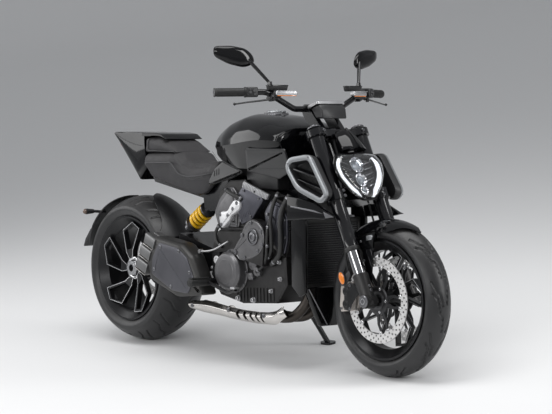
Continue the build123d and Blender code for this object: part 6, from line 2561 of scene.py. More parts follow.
@dataclass
class Seats(Part):
    """The rider's seat and the passenger's pad in front of the tail."""

    def build(self, maker: Maker, patterns: Patterns) -> None:
        """Build both cushions, their seams and their piping."""
        self._rider(maker, patterns)
        self._passenger(maker)

    @staticmethod
    def _section(x: float, half: float, top: float, bottom: float) -> list[Point]:
        """Draw one section of the rider's seat.

        Args:
            x: Its place along the machine.
            half: Its half width.
            top: Its highest point.
            bottom: Its lowest point.

        Returns:
            The ring.
        """
        tunnel = max(bottom + 0.1, min(748.0, top - 42))
        side = [(0.0, top - 2), (half * 0.5, top - 1), (half * 0.8, top - 3),
                (half * 0.93, top - 15), (half * 0.985, top - 34), (half * 0.99, top - 52),
                (half * 0.95, top - 62), (half * 0.9, bottom + (top - 62 - bottom) * 0.4),
                (half * 0.84, bottom + 3), (half * 0.8, bottom), (half * 0.66, bottom + 1),
                (half * 0.62, tunnel), (0.0, tunnel)]
        left = [(x, y, z) for y, z in side]
        return left + [(x, -y, z) for _, y, z in reversed(left) if y > 0]

    def _rider(self, maker: Maker, patterns: Patterns) -> None:
        """Build the rider's seat."""
        rows = [(-170, 92, 804, 748), (-176, 100, 810, 738), (-200, 110, 806, 708),
                (-240, 117, 799, 676), (-290, 121, 793, 666), (-340, 123, 792, 674),
                (-400, 124, 805, 687), (-450, 124, 845, 697), (-480, 122, 847, 703),
                (-560, 120, 845, 721), (-630, 114, 843, 738), (-662, 108, 842, 778),
                (-684, 96, 841, 822)]
        mesh = loft([self._section(*row) for row in rows])
        data = plumped("rider_cushion", mesh,
                       lambda co: (co.z < 735 or abs(co.y) < 70 and co.z < 770
                                   or co.x < -470 and co.z < 838), cell=6.5, travel=9)
        seat = maker.placed("rider_cushion", data, SEAT_COVER, "chassis", ("rider_seat",),
                            smooth=80, subdivide=1)
        edges = [tube(smooth_line([(x, side * half * 1.005, top - 45)
                                   for x, half, top, _ in rows[1:12]], 6), 2.6, 8)
                 for side in (-1, 1)]
        maker.piece("rider_piping", joined(*edges), PIPING, "chassis")
        stitch = tube([(-2.6, 0, 0), (-1.4, 0, 0.9), (1.4, 0, 0.9), (2.6, 0, 0)], 0.7, 5)
        lines = []
        for side in (-1, 1):
            line = smooth_line([(x, side * half * 0.84, top + 1.5)
                                for x, half, top, _ in rows[2:8]], 6)
            lines.append(patterns.row(line, stitch.copy(), 44, LEFT, STITCH))
        stitch.free()
        maker.piece("rider_stitches", with_data(bmesh.new(), *lines), STITCH, "chassis")

    @staticmethod
    def _passenger(maker: Maker) -> None:
        """Build the passenger's pad, with the piping round its rear end."""
        outline = rounded([(-440, 842), (-684, 842), (-676, 909), (-568, 910), (-518, 891),
                           (-462, 860)], 12, 4)
        mesh = across(outline, [(-96, 12), (-94, 6), (-84, 1), (-60, 0), (60, 0), (84, 1), (94, 6),
                                (96, 12)])
        data = plumped("passenger_cushion", mesh, lambda co: co.z < 848 or co.x < -676, cell=5.5,
                       travel=7)
        pad = maker.placed("passenger_cushion", data, SEAT_COVER, "chassis", ("passenger_seat",),
                           smooth=80, subdivide=1)
        piping = [tube(smooth_line([(x, side * y, z) for x, y, z in route], 6), size, 8)
                  for side in (-1, 1) for route, size in (
                      (((-650, 98, 852), (-654, 99, 880), (-648, 97, 904)), 2.2),
                      (((-654, 98, 852), (-560, 99, 851), (-462, 97, 850)), 2.0))]
        maker.piece("passenger_piping", joined(*piping), PIPING, "chassis")


@dataclass
class Tail(Part):
    """The gloss tail, the hoop over the pad, and the red lamp below."""

    @staticmethod
    def _width(x: float) -> float:
        """Find how wide the tail is.

        Args:
            x: A place along the machine.

        Returns:
            Its width there, as a share of its full width.
        """
        return 1 - 0.39 * min(1.0, max(0.0, (-620 - x) / 380))

    def _cut(self, top: Flat, bottom: Flat) -> list[Point]:
        """Draw one slanted section, with full sides and rounded edges.

        Args:
            top: Its upper end, as (forward, up).
            bottom: Its lower end.

        Returns:
            The ring.
        """
        side = [(0, 0), (80, 0), (93, 0.02), (98.5, 0.08), (101.5, 0.22), (103, 0.42),
                (101.5, 0.64), (98, 0.82), (92, 0.93), (84, 0.985), (72, 1), (0, 1)]
        ring = []
        for out, share in side:
            x, z = (top[0] + (bottom[0] - top[0]) * share, top[1] + (bottom[1] - top[1]) * share)
            ring.append((x, out * self._width(x), z))
        return ring + [(x, -y, z) for x, y, z in reversed(ring) if y > 0]

    def build(self, maker: Maker, patterns: Patterns) -> None:
        """Build them."""
        cuts = [((-691, 931), (-671, 790)), ((-760, 933), (-746, 721)), ((-800, 933), (-790, 763)),
                ((-840, 933), (-832, 803)), ((-880, 933), (-876, 844)),
                ((-915, 932.5), (-916, 882)), ((-945, 932), (-945, 909)),
                ((-952, 931), (-953, 918))]
        tail = loft([self._cut(*cut) for cut in cuts])
        hoop = rounded([(-700, 931), (-600, 931), (-552, 925), (-517, 904), (-520, 901),
                        (-562, 914), (-600, 915.5), (-676, 914), (-700, 914)], 3, 3)
        cover = across(hoop, [(-100, 3), (-98, 1), (-90, 0), (90, 0), (98, 1), (100, 3)])
        maker.piece("tail_shell", joined(tail, cover), GLOSS_BLACK, "chassis", ("tail_cowl",),
                    smooth=32)
        grooves = [tube(smooth_line([(x, side * (102.6 * self._width(x)), z) for x, z in
                                     ((-940, 922), (-880, 902), (-780, 880), (-700, 872))], 5),
                        1.6, 6) for side in (-1, 1)]
        maker.piece("tail_lines", joined(*grooves), SATIN_PLASTIC, "chassis")
        self._lamp(maker, patterns)

    @staticmethod
    def _lamp(maker: Maker, patterns: Patterns) -> None:
        """Build the lamp on the tail's slanted end, with its two rows of cells."""
        slope = Vector((100, 0, -94)).normalized()
        out = Vector((slope.z, 0, -slope.x))
        start = Vector((-924, 0, 888.5))
        outline = rounded([(4, -58), (112, -58), (112, 58), (4, 58)], 8)
        lens = loft([[start + slope * along * size + LEFT * y * size + out * high
                      for along, y in outline]
                     for high, size in ((-3, 1.0), (4.5, 1.0), (7, 0.97))])
        maker.piece("tail_lamp", lens, RED_LENS, "chassis", ("tail_light",), smooth=50)
        outline = rounded([(-3.4, -20), (3.4, -20), (3.4, 20), (-3.4, 20)], 3)
        cell = loft([[(x * size, y * size, high) for x, y in outline]
                     for high, size in ((-1, 1.0), (2.4, 1.0), (3.2, 0.8))])
        ends = (start + slope * 14 + out * 7, start + slope * 102 + out * 7)
        rows = [patterns.row([point + LEFT * side * 32 for point in ends], cell.copy(), 8, LEFT,
                             RED_LENS) for side in (-1, 1)]
        cell.free()
        maker.piece("tail_lamp_cells", with_data(bmesh.new(), *rows), RED_LENS, "chassis")


@dataclass
class SidePanels(Part):
    """The satin panels below the tank and in front of the seat."""

    def build(self, maker: Maker, patterns: Patterns) -> None:
        """Build them, their edges, and dark boxes in the slots that are painted shade."""
        normal = Vector((0, -0.906, -0.4226))
        up = normal.cross(Vector((1, 0, 0)))
        up = up if up.z > 0 else -up
        lay = plane(Vector((0, -150.5, 790)), Vector((1, 0, 0)), up, normal)
        outline = rounded([(110, -7), (150, 95), (391, 95), (391, 1), (300, -38)], 9, 4)
        cover = loft([[lay(point, high) for point in shrunk(outline, inset)]
                      for high, inset in ((0, 0), (6, 0), (8, 1.2), (9.2, 4), (9.6, 12),
                                          (10.6, 16))])
        maker.piece("tank_lower_panels", mirrored(cover), PANEL_GREY, "chassis",
                    ("tank_side_covers",), smooth=30)
        seat_side = rounded([(-90, 814), (44, 774), (-20, 749), (-184, 711), (-176, 738),
                             (-140, 786)], 6, 4)
        panel = across(seat_side, [(116, 0), (124, 0), (126.5, 1.5), (127, 4), (127.6, 9)], -1)
        maker.piece("seat_side_panels", mirrored(panel), PANEL_GREY, "chassis", smooth=30)
        edge = tube([(-86, -124, 816), (40, -124, 777)], 2.2, 10)
        maker.piece("seat_side_edges", mirrored(edge), PANEL_GREY, "chassis")
        # Painted shade: small dark boxes set in each seat-side panel stand for the shade inside its three slots.
        slots = [box_between((x, -128.4, low), (x + 6, -120, high)) for x, low, high in (
            (-144, 752, 776), (-129, 756, 781), (-114, 760, 786))]
        maker.piece("seat_side_slots", mirrored(joined(*slots)), RADIATOR_BLACK, "chassis",
                    bevel=0.8)


# ---------------------------------------------------------------- engine


# Distance from the middle and inset of a cam cover's steps.
HEAD_STEPS = [(126, 0), (138, 0), (140, 2), (140, 10), (145, 12), (146, 14)]


@dataclass
class EngineRight(Part):
    """The covers, pump, rail, hoses and fixings on the engine's right side."""

    case: float = 140.0
    head: float = 130.0

    def build(self, maker: Maker, patterns: Patterns) -> None:
        """Build them."""
        self._clutch(maker, patterns)
        self._timing(maker)
        self._heads(maker, patterns)
        self._pump(maker)
        self._plumbing(maker)
        self._sump(maker, patterns)

    def _clutch(self, maker: Maker, patterns: Patterns) -> None:
        """Build the clutch cover with its flange, step and bolts."""
        centre = Vector((8, -self.case, 366))
        cover = lathe([(0.5, 91), (4, 91), (6, 89), (6, 81), (34, 80.5), (37, 79), (48, 71),
                       (49, 68), (49, 52), (50.2, 50), (50.2, 0)], centre, RIGHT, 72)
        maker.piece("clutch_cover", cover, COVER_GREY, "chassis", smooth=25)
        screw = bolt(centre + Vector((85.6, -6, 0)), RIGHT, 5, 6)
        screws = patterns.ring(screw, 10, centre, RIGHT, SHOCK_STEEL)
        maker.piece("clutch_bolts", with_data(bmesh.new(), screws), SHOCK_STEEL, "chassis")

    def _timing(self, maker: Maker) -> None:
        """Build the timing cover with its cap, rim and corner bolts."""
        outline = rounded([(166, 588), (205, 576), (236, 550), (244, 510), (238, 480), (212, 450),
                           (166, 428), (120, 417), (84, 415), (40, 450), (66, 484), (92, 512),
                           (114, 556), (138, 578)], 9, 3)
        cover = across(outline, [(141, 0), (170, 0), (174, 1), (177, 4), (177.4, 7), (175.4, 9),
                                 (175.4, 16)], -1)
        maker.piece("timing_cover", cover, COVER_GREY, "chassis", smooth=28)
        centre = (172, -175, 516)
        cap = lathe([(0, 33), (5, 33), (6.5, 31.5), (6.5, 27), (2, 26), (2, 19), (7, 18), (8, 16),
                     (8, 9), (5, 8), (5, 0)], centre, RIGHT, 48)
        maker.piece("timing_cap", cap, SHOCK_STEEL, "chassis")
        lower = ((142, 402, 21), (168, 374, 17), (126, 352, 13))
        screws = joined(
            studs([(160, 574), (224, 540), (231, 488), (204, 460), (120, 429), (62, 448),
                   (104, 520)], [(0, 8.5), (3, 8.5), (3, 6), (3.5, 0)], (176.6, 178), (4.6, 4)),
            bolts([(x + size, -self.case - 9, z - size * 0.6) for x, z, size in lower], RIGHT,
                  4.4, 5))
        housings = [lathe([(0, size + 4), (12, size + 3), (16, size), (17, size * 0.6),
                           (15, size * 0.5), (15, 0)], (x, -self.case, z), RIGHT, 28)
                    for x, z, size in lower]
        maker.piece("timing_bolts", screws, SHOCK_STEEL, "chassis")
        maker.piece("pump_housings", joined(*housings), COVER_GREY, "chassis", smooth=28)

    def _heads(self, maker: Maker, patterns: Patterns) -> None:
        """Build the cam covers, head layers and the ribbed rail."""
        rear = rounded([(-127, 603), (-99, 655), (-40, 708), (-4, 712), (26, 680), (41, 602),
                        (33, 548), (-8, 546), (-50, 548), (-104, 552)], 10, 3)
        stepped = across(rear, [(124, 0), (136, 0), (138, 2), (138, 9), (142, 10), (143.5, 12),
                                (143.5, 22), (146, 23), (146.5, 25)], -1)
        maker.piece("rear_head_cover", stepped, COVER_GREY, "chassis", smooth=28)
        cam = rounded([(41, 686), (72, 716), (190, 684), (204, 666), (166, 622), (136, 586),
                       (64, 560), (44, 600)], 9, 3)
        block = across(cam, [(120, 0), (146, 0), (149, 2), (150, 5)], -1)
        front = rounded([(212, 540), (204, 620), (244, 668), (306, 652), (342, 598), (344, 508),
                         (326, 452), (262, 488)], 10, 3)
        front_block = across(front, HEAD_STEPS, -1)
        maker.piece("cam_covers", joined(block, front_block), BLUE_CASTING, "chassis", smooth=28)
        rail = side_plate([(84, 716), (98, 738), (254, 690), (240, 668)], 150, 162)
        rib = box_between((-2.4, -11.5, -1), (2.4, 11.5, 3.6))
        ribs = patterns.row([(96, -162, 724), (242, -162, 681)], rib, 17, (0.28, 0, 0.96),
                            BRIGHT_CASTING)
        # Painted shade: a black disc on the rail's face stands for the shade inside its hole.
        hole = lathe([(0, 4.5), (4.2, 4.5), (4.2, 0)], (170, -162.5, 699), RIGHT, 16)
        maker.piece("coil_rail", with_data(rail, ribs), BRIGHT_CASTING, "chassis", bevel=1)
        maker.piece("coil_rail_hole", hole, RADIATOR_BLACK, "chassis")
        screws = bolts([(x, -y, z) for y, places in (
            (138, ((-108, 606), (-84, 652), (-10, 698), (30, 610), (22, 556), (-60, 556))),
            (150, ((84, 700), (178, 670), (128, 596), (62, 576))),
            (140, ((222, 618), (250, 656), (330, 590), (332, 520), (268, 498))))
                        for x, z in places], RIGHT, 5, 5)
        maker.piece("head_bolts", screws, SHOCK_STEEL, "chassis")
        fin = box_between((-0.9, -10, -1), (0.9, 10, 5))
        fins = patterns.row([(122, -149.8, 612), (60, -149.8, 588)], fin, 7, (0.3, 0, 0.95),
                            BLUE_CASTING)
        maker.piece("cam_cover_fins", with_data(bmesh.new(), fins), BLUE_CASTING, "chassis")

    def _pump(self, maker: Maker) -> None:
        """Build the bright water pump cover."""
        outline = rounded([(-70, 582), (-57, 541), (-44, 543), (-20, 560), (-2, 574), (6, 592),
                           (40, 608), (62, 622), (69, 636), (66, 652), (48, 662), (28, 660),
                           (6, 640), (-12, 616), (-30, 610), (-52, 612), (-66, 600)], 8, 4)
        cover = across(outline, [(self.head + 0.3, 0), (154, 0), (159, 1.5), (162, 5), (163, 9)],
                       -1)
        maker.piece("water_pump_cover", cover, PUMP_ALLOY, "chassis", ("water_pump",), smooth=45)
        screws = studs([(-50, 556), (-58, 596), (-8, 596), (50, 648), (24, 624)],
                       [(0, 8), (2.4, 8), (2.4, 0)], (161.5, 163), (4.4, 3))
        maker.piece("water_pump_bolts", screws, SHOCK_STEEL, "chassis")

    def _plumbing(self, maker: Maker) -> None:
        """Build the hoses, their clips and the brake lever's rod."""
        hoses, clips = [], []
        routes = [([(352, -132, 690), (330, -150, 640), (322, -158, 580), (326, -158, 520),
                    (312, -152, 452), (262, -150, 408)], 11),
                  ([(300, -146, 700), (284, -162, 650), (272, -166, 590), (276, -166, 530),
                    (272, -162, 468), (240, -152, 430)], 8),
                  ([(66, -146, 664), (40, -158, 676), (-10, -152, 690), (-48, -138, 700)], 9),
                  ([(256, -150, 604), (262, -172, 560), (258, -174, 500), (250, -170, 440),
                    (214, -156, 400), (170, -156, 372)], 6),
                  ([(-96, -134, 556), (-118, -138, 520), (-104, -146, 480), (-70, -144, 462)], 7)]
        for route, size in routes:
            line = smooth_line(route, 7)
            hoses.append(tube(line, size, 14))
            clips += [lathe([(-4, size), (-4, size + 1.6), (4, size + 1.6), (4, size)], place,
                            ahead - place, 20)
                      for place, ahead in ((line[2], line[4]), (line[-3], line[-5]))]
        clips += [lathe([(0, 7), (9, 7), (10, 5), (10, 0)], (x, -172, z), RIGHT, 6)
                  for x, z in ((266, 612), (268, 560), (266, 484))]
        maker.piece("engine_hoses", joined(*hoses), GRIP_SOFT, "chassis", smooth=60)
        maker.piece("engine_hose_clips", joined(*clips), SHOCK_STEEL, "chassis")
        rod = tube(smooth_line([(-179, -172, 438), (-132, -172, 441), (-84, -168, 453),
                                (-23, -150, 486)], 5), lambda t: 5 - 1.6 * t, 12)
        eye = lathe([(-8, 6), (-8, 9), (8, 9), (8, 6)], (-179, -172, 438), RIGHT, 24)
        maker.piece("brake_rod", joined(rod, eye), BRIGHT_CASTING, "chassis")
        plug = lathe([(0, 17), (3, 17), (4.5, 15.5), (4.5, 9), (1, 8), (1, 0)],
                     (-92, -153.5, 407), RIGHT, 40)
        maker.piece("pivot_ring", plug, PUMP_ALLOY, "chassis")

    def _sump(self, maker: Maker, patterns: Patterns) -> None:
        """Build the ribs, plugs and studs low on the crankcase."""
        rib = box_between((-2, -28, -2), (2, 28, 4))
        ribs = [patterns.row([(30, -side * 139.5, 272), (262, -side * 139.5, 284)], rib.copy(), 12,
                             (0.05, 0, 1) if side > 0 else (-0.05, 0, 1), GREY_CASTING)
                for side in (1, -1)]
        rib.free()
        maker.piece("sump_ribs", with_data(bmesh.new(), *ribs), GREY_CASTING, "chassis", bevel=0.5)
        plugs = [lathe([(0, size + 3), (3, size + 3), (3, size), (13, size), (14, size - 2),
                        (14, size * 0.5), (9, size * 0.45), (9, 0)], (x, -self.case, z), RIGHT,
                       6 if size < 9 else 24)
                 for x, z, size in ((38, 256, 9), (136, 255, 9), (250, 300, 7), (306, 352, 7),
                                    (-96, 300, 7), (-128, 372, 7), (300, 420, 7))]
        maker.piece("sump_plugs", mirrored(joined(*plugs)), BRIGHT_CASTING, "chassis")


@dataclass
class EngineLeft(Part):
    """The alternator cover, the left cam covers, the left side's fixings and a hose."""

    def build(self, maker: Maker, patterns: Patterns) -> None:
        """Build them."""
        centre = Vector((140, 140, 388))
        cover = lathe([(0.5, 92), (4, 92), (6, 90), (6, 83), (28, 82.5), (31, 81), (40.6, 74),
                       (41.4, 70), (41.4, 40), (44, 38), (44, 30), (41.6, 28), (41.6, 0)],
                      centre, LEFT, 72)
        maker.piece("alternator_cover", cover, COVER_GREY, "chassis", smooth=25)
        screws = patterns.ring(bolt(centre + Vector((86.6, 6, 0)), LEFT, 5, 6), 10, centre, LEFT,
                               SHOCK_STEEL)
        maker.piece("alternator_bolts", with_data(bmesh.new(), screws), SHOCK_STEEL, "chassis")
        heads = [across(rounded(outline, 10, 3), HEAD_STEPS) for outline in (
            [(-116, 606), (-96, 684), (-36, 730), (56, 736), (96, 696), (100, 610)],
            [(206, 560), (200, 620), (246, 668), (306, 652), (342, 598), (344, 508)])]
        maker.piece("left_cam_covers", joined(*heads), BLUE_CASTING, "chassis", smooth=28)
        screws = bolts([(x, 140, z) for x, z in (
            (-100, 618), (-84, 674), (-30, 718), (48, 724), (86, 690), (88, 622), (216, 618),
            (250, 656), (330, 590), (332, 520))], LEFT, 5, 5)
        maker.piece("left_head_bolts", screws, SHOCK_STEEL, "chassis")
        hose = tube(smooth_line([(340, 134, 690), (322, 154, 620), (330, 158, 540), (312, 150, 470),
                                 (262, 146, 440)], 7), 11, 14)
        maker.piece("left_hose", hose, GRIP_SOFT, "chassis", smooth=60)


# ---------------------------------------------------------------- exhaust


SHIELD_ROWS = 12
SHIELD_SLOTS = (38, 43, 48, 53, 58)  # The column where each slot starts.


@dataclass
class Exhaust(Part):
    """The header pipes, the slotted heat shield, the silencer and its outlets."""

    def build(self, maker: Maker, patterns: Patterns) -> None:
        """Build them."""
        self._headers(maker)
        self._shield(maker)
        self._silencer(maker)
        self._outlets(maker)

    @staticmethod
    def _headers(maker: Maker) -> None:
        """Build the two pipes with their port flanges, studs and clamps."""
        ahead = Vector((1, 0, 0))
        pipes, rings, nuts = [], [], []
        for port, end in ((-50, -104.6), (50, -50)):
            line = smooth_line([(350.5, port, 545), (376, port, 544), (396, port, 520),
                                (401, port, 460), (400, port, 390), (398, port * 1.1, 322),
                                (376, (port * 2 + end) / 3, 254), (336, (port + end * 3) / 4, 204),
                                (290, end, 193), (230.5, end, 192)], 8)
            pipes.append(tube(line, 21, 32))
            rings.append(lathe([(-2, 22), (-2, 32), (7, 32), (9, 28), (9, 22)],
                               (352, port, 545), ahead, 32))
            for side in (-1, 1):
                place = (356, port + side * 30, 545 + side * 8)
                nuts.append(lathe([(0, 7), (8, 7), (8, 4), (16, 4), (16, 0)], place, ahead, 6))
                rings.append(lathe([(-2, 10), (3, 10)], place, ahead, 20))
            place, after = line[len(line) * 5 // 9], line[len(line) * 5 // 9 + 1]
            rings.append(lathe([(-7, 21), (-7, 23.4), (7, 23.4), (7, 21)], place,
                               after - place, 32))
        maker.piece("header_pipes", joined(*pipes), EXHAUST_STEEL, "chassis",
                    ("exhaust_headers",), smooth=60)
        maker.piece("header_rings", joined(*rings), SHOCK_STEEL, "chassis")
        maker.piece("header_studs", joined(*nuts), SPROCKET_STEEL, "chassis")

    @staticmethod
    def _shield(maker: Maker) -> None:
        """Build the polished shield: a curved sheet with five slanted slots, over the pipe."""
        top = smooth_line([(-262, 222, 0), (-150, 232, 0), (-57, 224, 0), (43, 214, 0),
                           (150, 212, 0), (230, 213, 0), (290, 222, 0), (336, 246, 0)], 12)
        bottom = smooth_line([(-262, 190, 0), (-150, 180, 0), (-57, 176, 0), (43, 168, 0),
                              (150, 164, 0), (230, 166, 0), (300, 172, 0), (356, 206, 0)], 12)
        sheet = bmesh.new()
        verts = []
        for column, (upper, lower) in enumerate(zip(top, bottom)):
            share = column / (len(top) - 1)
            slant = 36 * max(0.0, 1 - abs(share - 0.62) / 0.3)
            end = min(1.0, (1 - share) / 0.05 * 0.5 + 0.5)
            line = []
            for row in range(SHIELD_ROWS + 1):
                v = row / SHIELD_ROWS
                point = lower.lerp(upper, v)
                bulge = math.sin(math.pi * (0.08 + 0.84 * v)) ** 0.7
                crest = 5.0 * math.exp(-((v - 0.62) / 0.12) ** 2)
                line.append(sheet.verts.new((
                    point.x - slant * (v - 0.5), -146 - (26 * bulge + crest * 0.6) * end,
                    point.y)))
            verts.append(line)
        slots = {(column, row) for start in SHIELD_SLOTS for column in (start, start + 1)
                 for row in range(2, 11)}
        for column in range(len(verts) - 1):
            for row in range(SHIELD_ROWS):
                if (column, row) not in slots:
                    sheet.faces.new((verts[column][row], verts[column + 1][row],
                                     verts[column + 1][row + 1], verts[column][row + 1]))
        bmesh.ops.recalc_face_normals(sheet, faces=sheet.faces)
        bmesh.ops.solidify(sheet, geom=sheet.faces, thickness=2.2)
        maker.piece("exhaust_shield_skin", sheet, SHIELD_STEEL, "chassis", ("exhaust_shield",),
                    smooth=50)
        pipe = tube(smooth_line([(330, -140, 214), (250, -142, 190), (100, -142, 190),
                                 (-40, -143, 198), (-160, -144, 206), (-258, -146, 206)], 8),
                    19, 24)
        maker.piece("collector_pipe", pipe, EXHAUST_STEEL, "chassis", smooth=60)
        bands = [lathe([(-6, 16), (-6, 25), (-4, 26.2), (4, 26.2), (6, 25), (6, 16)],
                       (x, -146, z), (1, 0, 0.02), 40)
                 for x, z in ((-176, 206), (-120, 204), (-4, 196))]
        screws = studs([(-236, 206), (8, 207), (236, 200)], [(0, 9), (3, 9), (4, 7), (4, 0)],
                       (172, 175.4), (5, 4), 24)
        maker.piece("shield_bands", joined(*bands), SHIELD_STEEL, "chassis")
        maker.piece("shield_screws", screws, SHOCK_STEEL, "chassis")

    @staticmethod
    def _silencer(maker: Maker) -> None:
        """Build the silencer's body and side plate."""
        outline = rounded([(-96, 262), (-128, 330), (-180, 420), (-252, 468), (-440, 492),
                           (-500, 380), (-468, 300), (-281, 240)], 16, 4)
        body = across(outline, [(142, 12), (150, 2), (156, 0), (206, 0), (218, 4), (226, 12),
                                (229, 22)], -1)
        maker.piece("silencer_body", body, SILENCER_GREY, "chassis", ("silencer",), smooth=35)
        panel = rounded([(-150, 330), (-198, 412), (-262, 450), (-394, 466), (-440, 400),
                         (-446, 330), (-300, 268), (-190, 262)], 14, 4)
        cover = across(panel, [(224, 0), (231, 0), (233, 2), (233.6, 5), (234.2, 24)], -1)
        maker.piece("silencer_panel", cover, SILENCER_PANEL, "chassis", smooth=30)
        screws = studs([(-176, 352), (-250, 436), (-380, 448), (-424, 350), (-306, 284)],
                       [(0, 8), (2, 8), (2.6, 6.5), (2.6, 0)], (233.4, 235.4), (4.4, 3), 24)
        maker.piece("silencer_screws", screws, SHOCK_STEEL, "chassis")

    @staticmethod
    def _outlets(maker: Maker) -> None:
        """Build the three stacked pairs of outlets, with the bright lip above each pair and a black plate deep in
        each mouth that is painted shade.
        """
        blocks, lips, mouth_shades = [], [], [bmesh.new()]
        back = Vector((-0.9, 0, 0.36)).normalized()
        rise = Vector((0.36, 0, 0.9)).normalized()
        box = rounded([(-21, -24), (21, -24), (21, 24), (-21, 24)], 8, 4)
        lip = [(-44, -29), (44, -29), (44, -25.5), (-44, -25.5)]
        for x, z, wide in ((-446, 462, 54), (-478, 410, 58), (-502, 352, 60)):
            centre = Vector((x, -190, z))
            for y in (-22, 22):
                blocks.append(loft([
                    [centre + back * along + LEFT * (y + a) + rise * b
                     for a, b in shrunk(box, inset)]
                    for along, inset in ((-20, 0), (wide - 8, 0), (wide, 1.5), (wide, 4.5),
                                         (wide - 22, 5.5), (wide - 22, 12))]))
                # Painted shade: a black plate at the bottom of each outlet's recess stands for the unlit depth of
                # the open pipe.
                mouth_shades.append(loft([[centre + back * along + LEFT * (y + a) + rise * b
                                     for a, b in shrunk(box, 13)]
                                    for along in (wide - 23, wide - 21.4)]))
            lips.append(loft([[centre + back * along + LEFT * a + rise * b for a, b in lip]
                              for along in (-16, wide + 1)]))
        maker.piece("outlet_blocks", joined(*blocks), OUTLET_GREY, "chassis", smooth=35)
        maker.piece("outlet_lips", joined(*lips), SHIELD_STEEL, "chassis", bevel=1)
        maker.piece("outlet_mouths", joined(*mouth_shades), RADIATOR_BLACK, "chassis")


# ---------------------------------------------------------------- rear end and feet


@dataclass
class RearEnd(Part):
    """The hugger, the guard behind the rear wheel with its indicators, the spring and fixings."""

    shell: float = 340.0
    wall: float = 4.0
    right: float = -136.0
    left: float = 128.7
    front_end: float = 28.0
    back_edge: tuple[Flat, ...] = ((-136, 31), (-108, 34), (-86, 41), (-70, 55), (-52, 68),
                                   (-30, 75), (10, 80), (129, 84))
    guard: tuple[Flat, ...] = ((108, 336), (127, 351), (150, 367), (166, 357))
    guard_half: float = 92.0
    guard_fall: float = 20.0

    HUGGER_COLUMNS = 44
    HUGGER_ROWS = 28
    GUARD_ROWS = 36
    OPENING_ROWS = 14  # Rows over which the guard widens from its tip.
    COIL_STEPS = 28

    def build(self, maker: Maker, patterns: Patterns) -> None:
        """Build them."""
        self._hugger(maker)
        self._guard(maker)
        self._spring(maker)
        self._fixings(maker)

    @staticmethod
    def _read(table: Sequence[Flat], value: float) -> float:
        """Read a table between its rows.

        Args:
            table: Rows of two numbers, the first of which rises.
            value: The first number to read at.

        Returns:
            The second number there.
        """
        for (low, first), (high, last) in zip(table, table[1:]):
            if value <= high:
                return first + (last - first) * (value - low) / (high - low)
        return table[-1][1]

    def _hugger(self, maker: Maker) -> None:
        """Build the hugger, whose rear edge sweeps forward on the open side."""
        places = [self.right + (self.left - self.right) * step / self.HUGGER_COLUMNS
                  for step in range(self.HUGGER_COLUMNS + 1)]
        rings = []
        for step in range(self.HUGGER_ROWS + 1):
            outer, inner = [], []
            for left in places:
                fall = 72 * (left / self.right) ** 2 if left < 0 else 60 * (left / self.left) ** 2
                back = self._read(self.back_edge, left)
                way = around(1, math.radians(
                    back + (self.front_end - back) * step / self.HUGGER_ROWS))
                outer.append(REAR_AXLE + way * (self.shell - fall) + LEFT * left)
                inner.append(REAR_AXLE + way * (self.shell - fall - self.wall) + LEFT * left)
            rings.append(outer + inner[::-1])
        maker.piece("hugger_shell", loft(rings), SATIN_PLASTIC, "chassis", ("rear_hugger",),
                    smooth=45)

    def _guard(self, maker: Maker) -> None:
        """Build the guard behind the wheel, its arm and plate bracket, and the indicators on it."""
        rings = []
        first, last = self.guard[0][0], self.guard[-1][0]
        for step in range(self.GUARD_ROWS + 1):
            angle = first + (last - first) * step / self.GUARD_ROWS
            opened = math.sin(math.pi / 2 * min(1, step / self.OPENING_ROWS))
            half = self.guard_half * (0.3 + 0.7 * opened)
            way = around(1, math.radians(angle))
            outer, inner = [], []
            for share in range(-8, 9):
                left = half * share / 8
                size = (self._read(self.guard, angle)
                        - self.guard_fall * (abs(left) / self.guard_half) ** 3)
                outer.append(REAR_AXLE + way * (size + 1.5 + 3.5 * opened) + LEFT * left)
                inner.append(REAR_AXLE + way * size + LEFT * left * 0.98)
            rings.append(outer + inner[::-1])
        start = REAR_AXLE.x - 84.3
        arm = side_plate([(start, 304), (start, 352), (-1052, 534), (-1078, 544), (-1114, 490),
                          (-1082, 462)], -145, -131)
        cross = plate([(-1047, 80, 520), (-1076, 80, 542), (-1112, 80, 490), (-1079, 80, 471)],
                      (0, 65, 0))
        tongue = [(-1108, 500), (-1098, 524), (-1154, 512), (-1210, 476), (-1250, 430),
                  (-1266, 396), (-1258, 394), (-1236, 424), (-1200, 456), (-1150, 480)]
        bracket = plate([(x, 28, z) for x, z in tongue], (0, -56, 0))
        stalks, pods, lenses = [], [], []
        for side in (-1, 1):
            start, way = Vector((-1056, side * 82, 569)), Vector((0, side, 0))
            stalks.append(tube([(-1050, side * 52, 564), (-1056, side * 116, 569)], 6.5))
            pods.append(lathe([(30, 8), (36, 10), (66, 13), (76, 13), (78, 11), (78, 0)],
                              start, way, 32))
            lenses.append(lathe([(78.2, 12), (82, 11.6), (85, 9), (87, 5), (87.4, 0)],
                                start, way, 32))
        maker.piece("rear_guard", joined(loft(rings), arm, cross, bracket, joined(*stalks)),
                    SATIN_PLASTIC, "chassis", ("plate_holder",), smooth=45, bevel=1)
        maker.piece("rear_indicators", joined(*pods), SATIN_PLASTIC, "chassis")
        maker.piece("rear_indicator_lenses", joined(*lenses), SMOKED_LENS, "chassis")
        lens = rounded([(-20, -12), (20, -12), (20, 12), (-20, 12)], 5)
        down = Vector((-0.656, 0, -0.755))
        face = Vector((-0.755, 0, 0.656))
        middle = Vector((-1230.5, 0, 453.5))
        reflector = loft([[middle + LEFT * y * size + down * z * size + face * high
                           for y, z in lens] for high, size in ((0, 1), (5, 1), (6.4, 0.9))])
        maker.piece("rear_reflector", reflector, RED_LENS, "chassis")

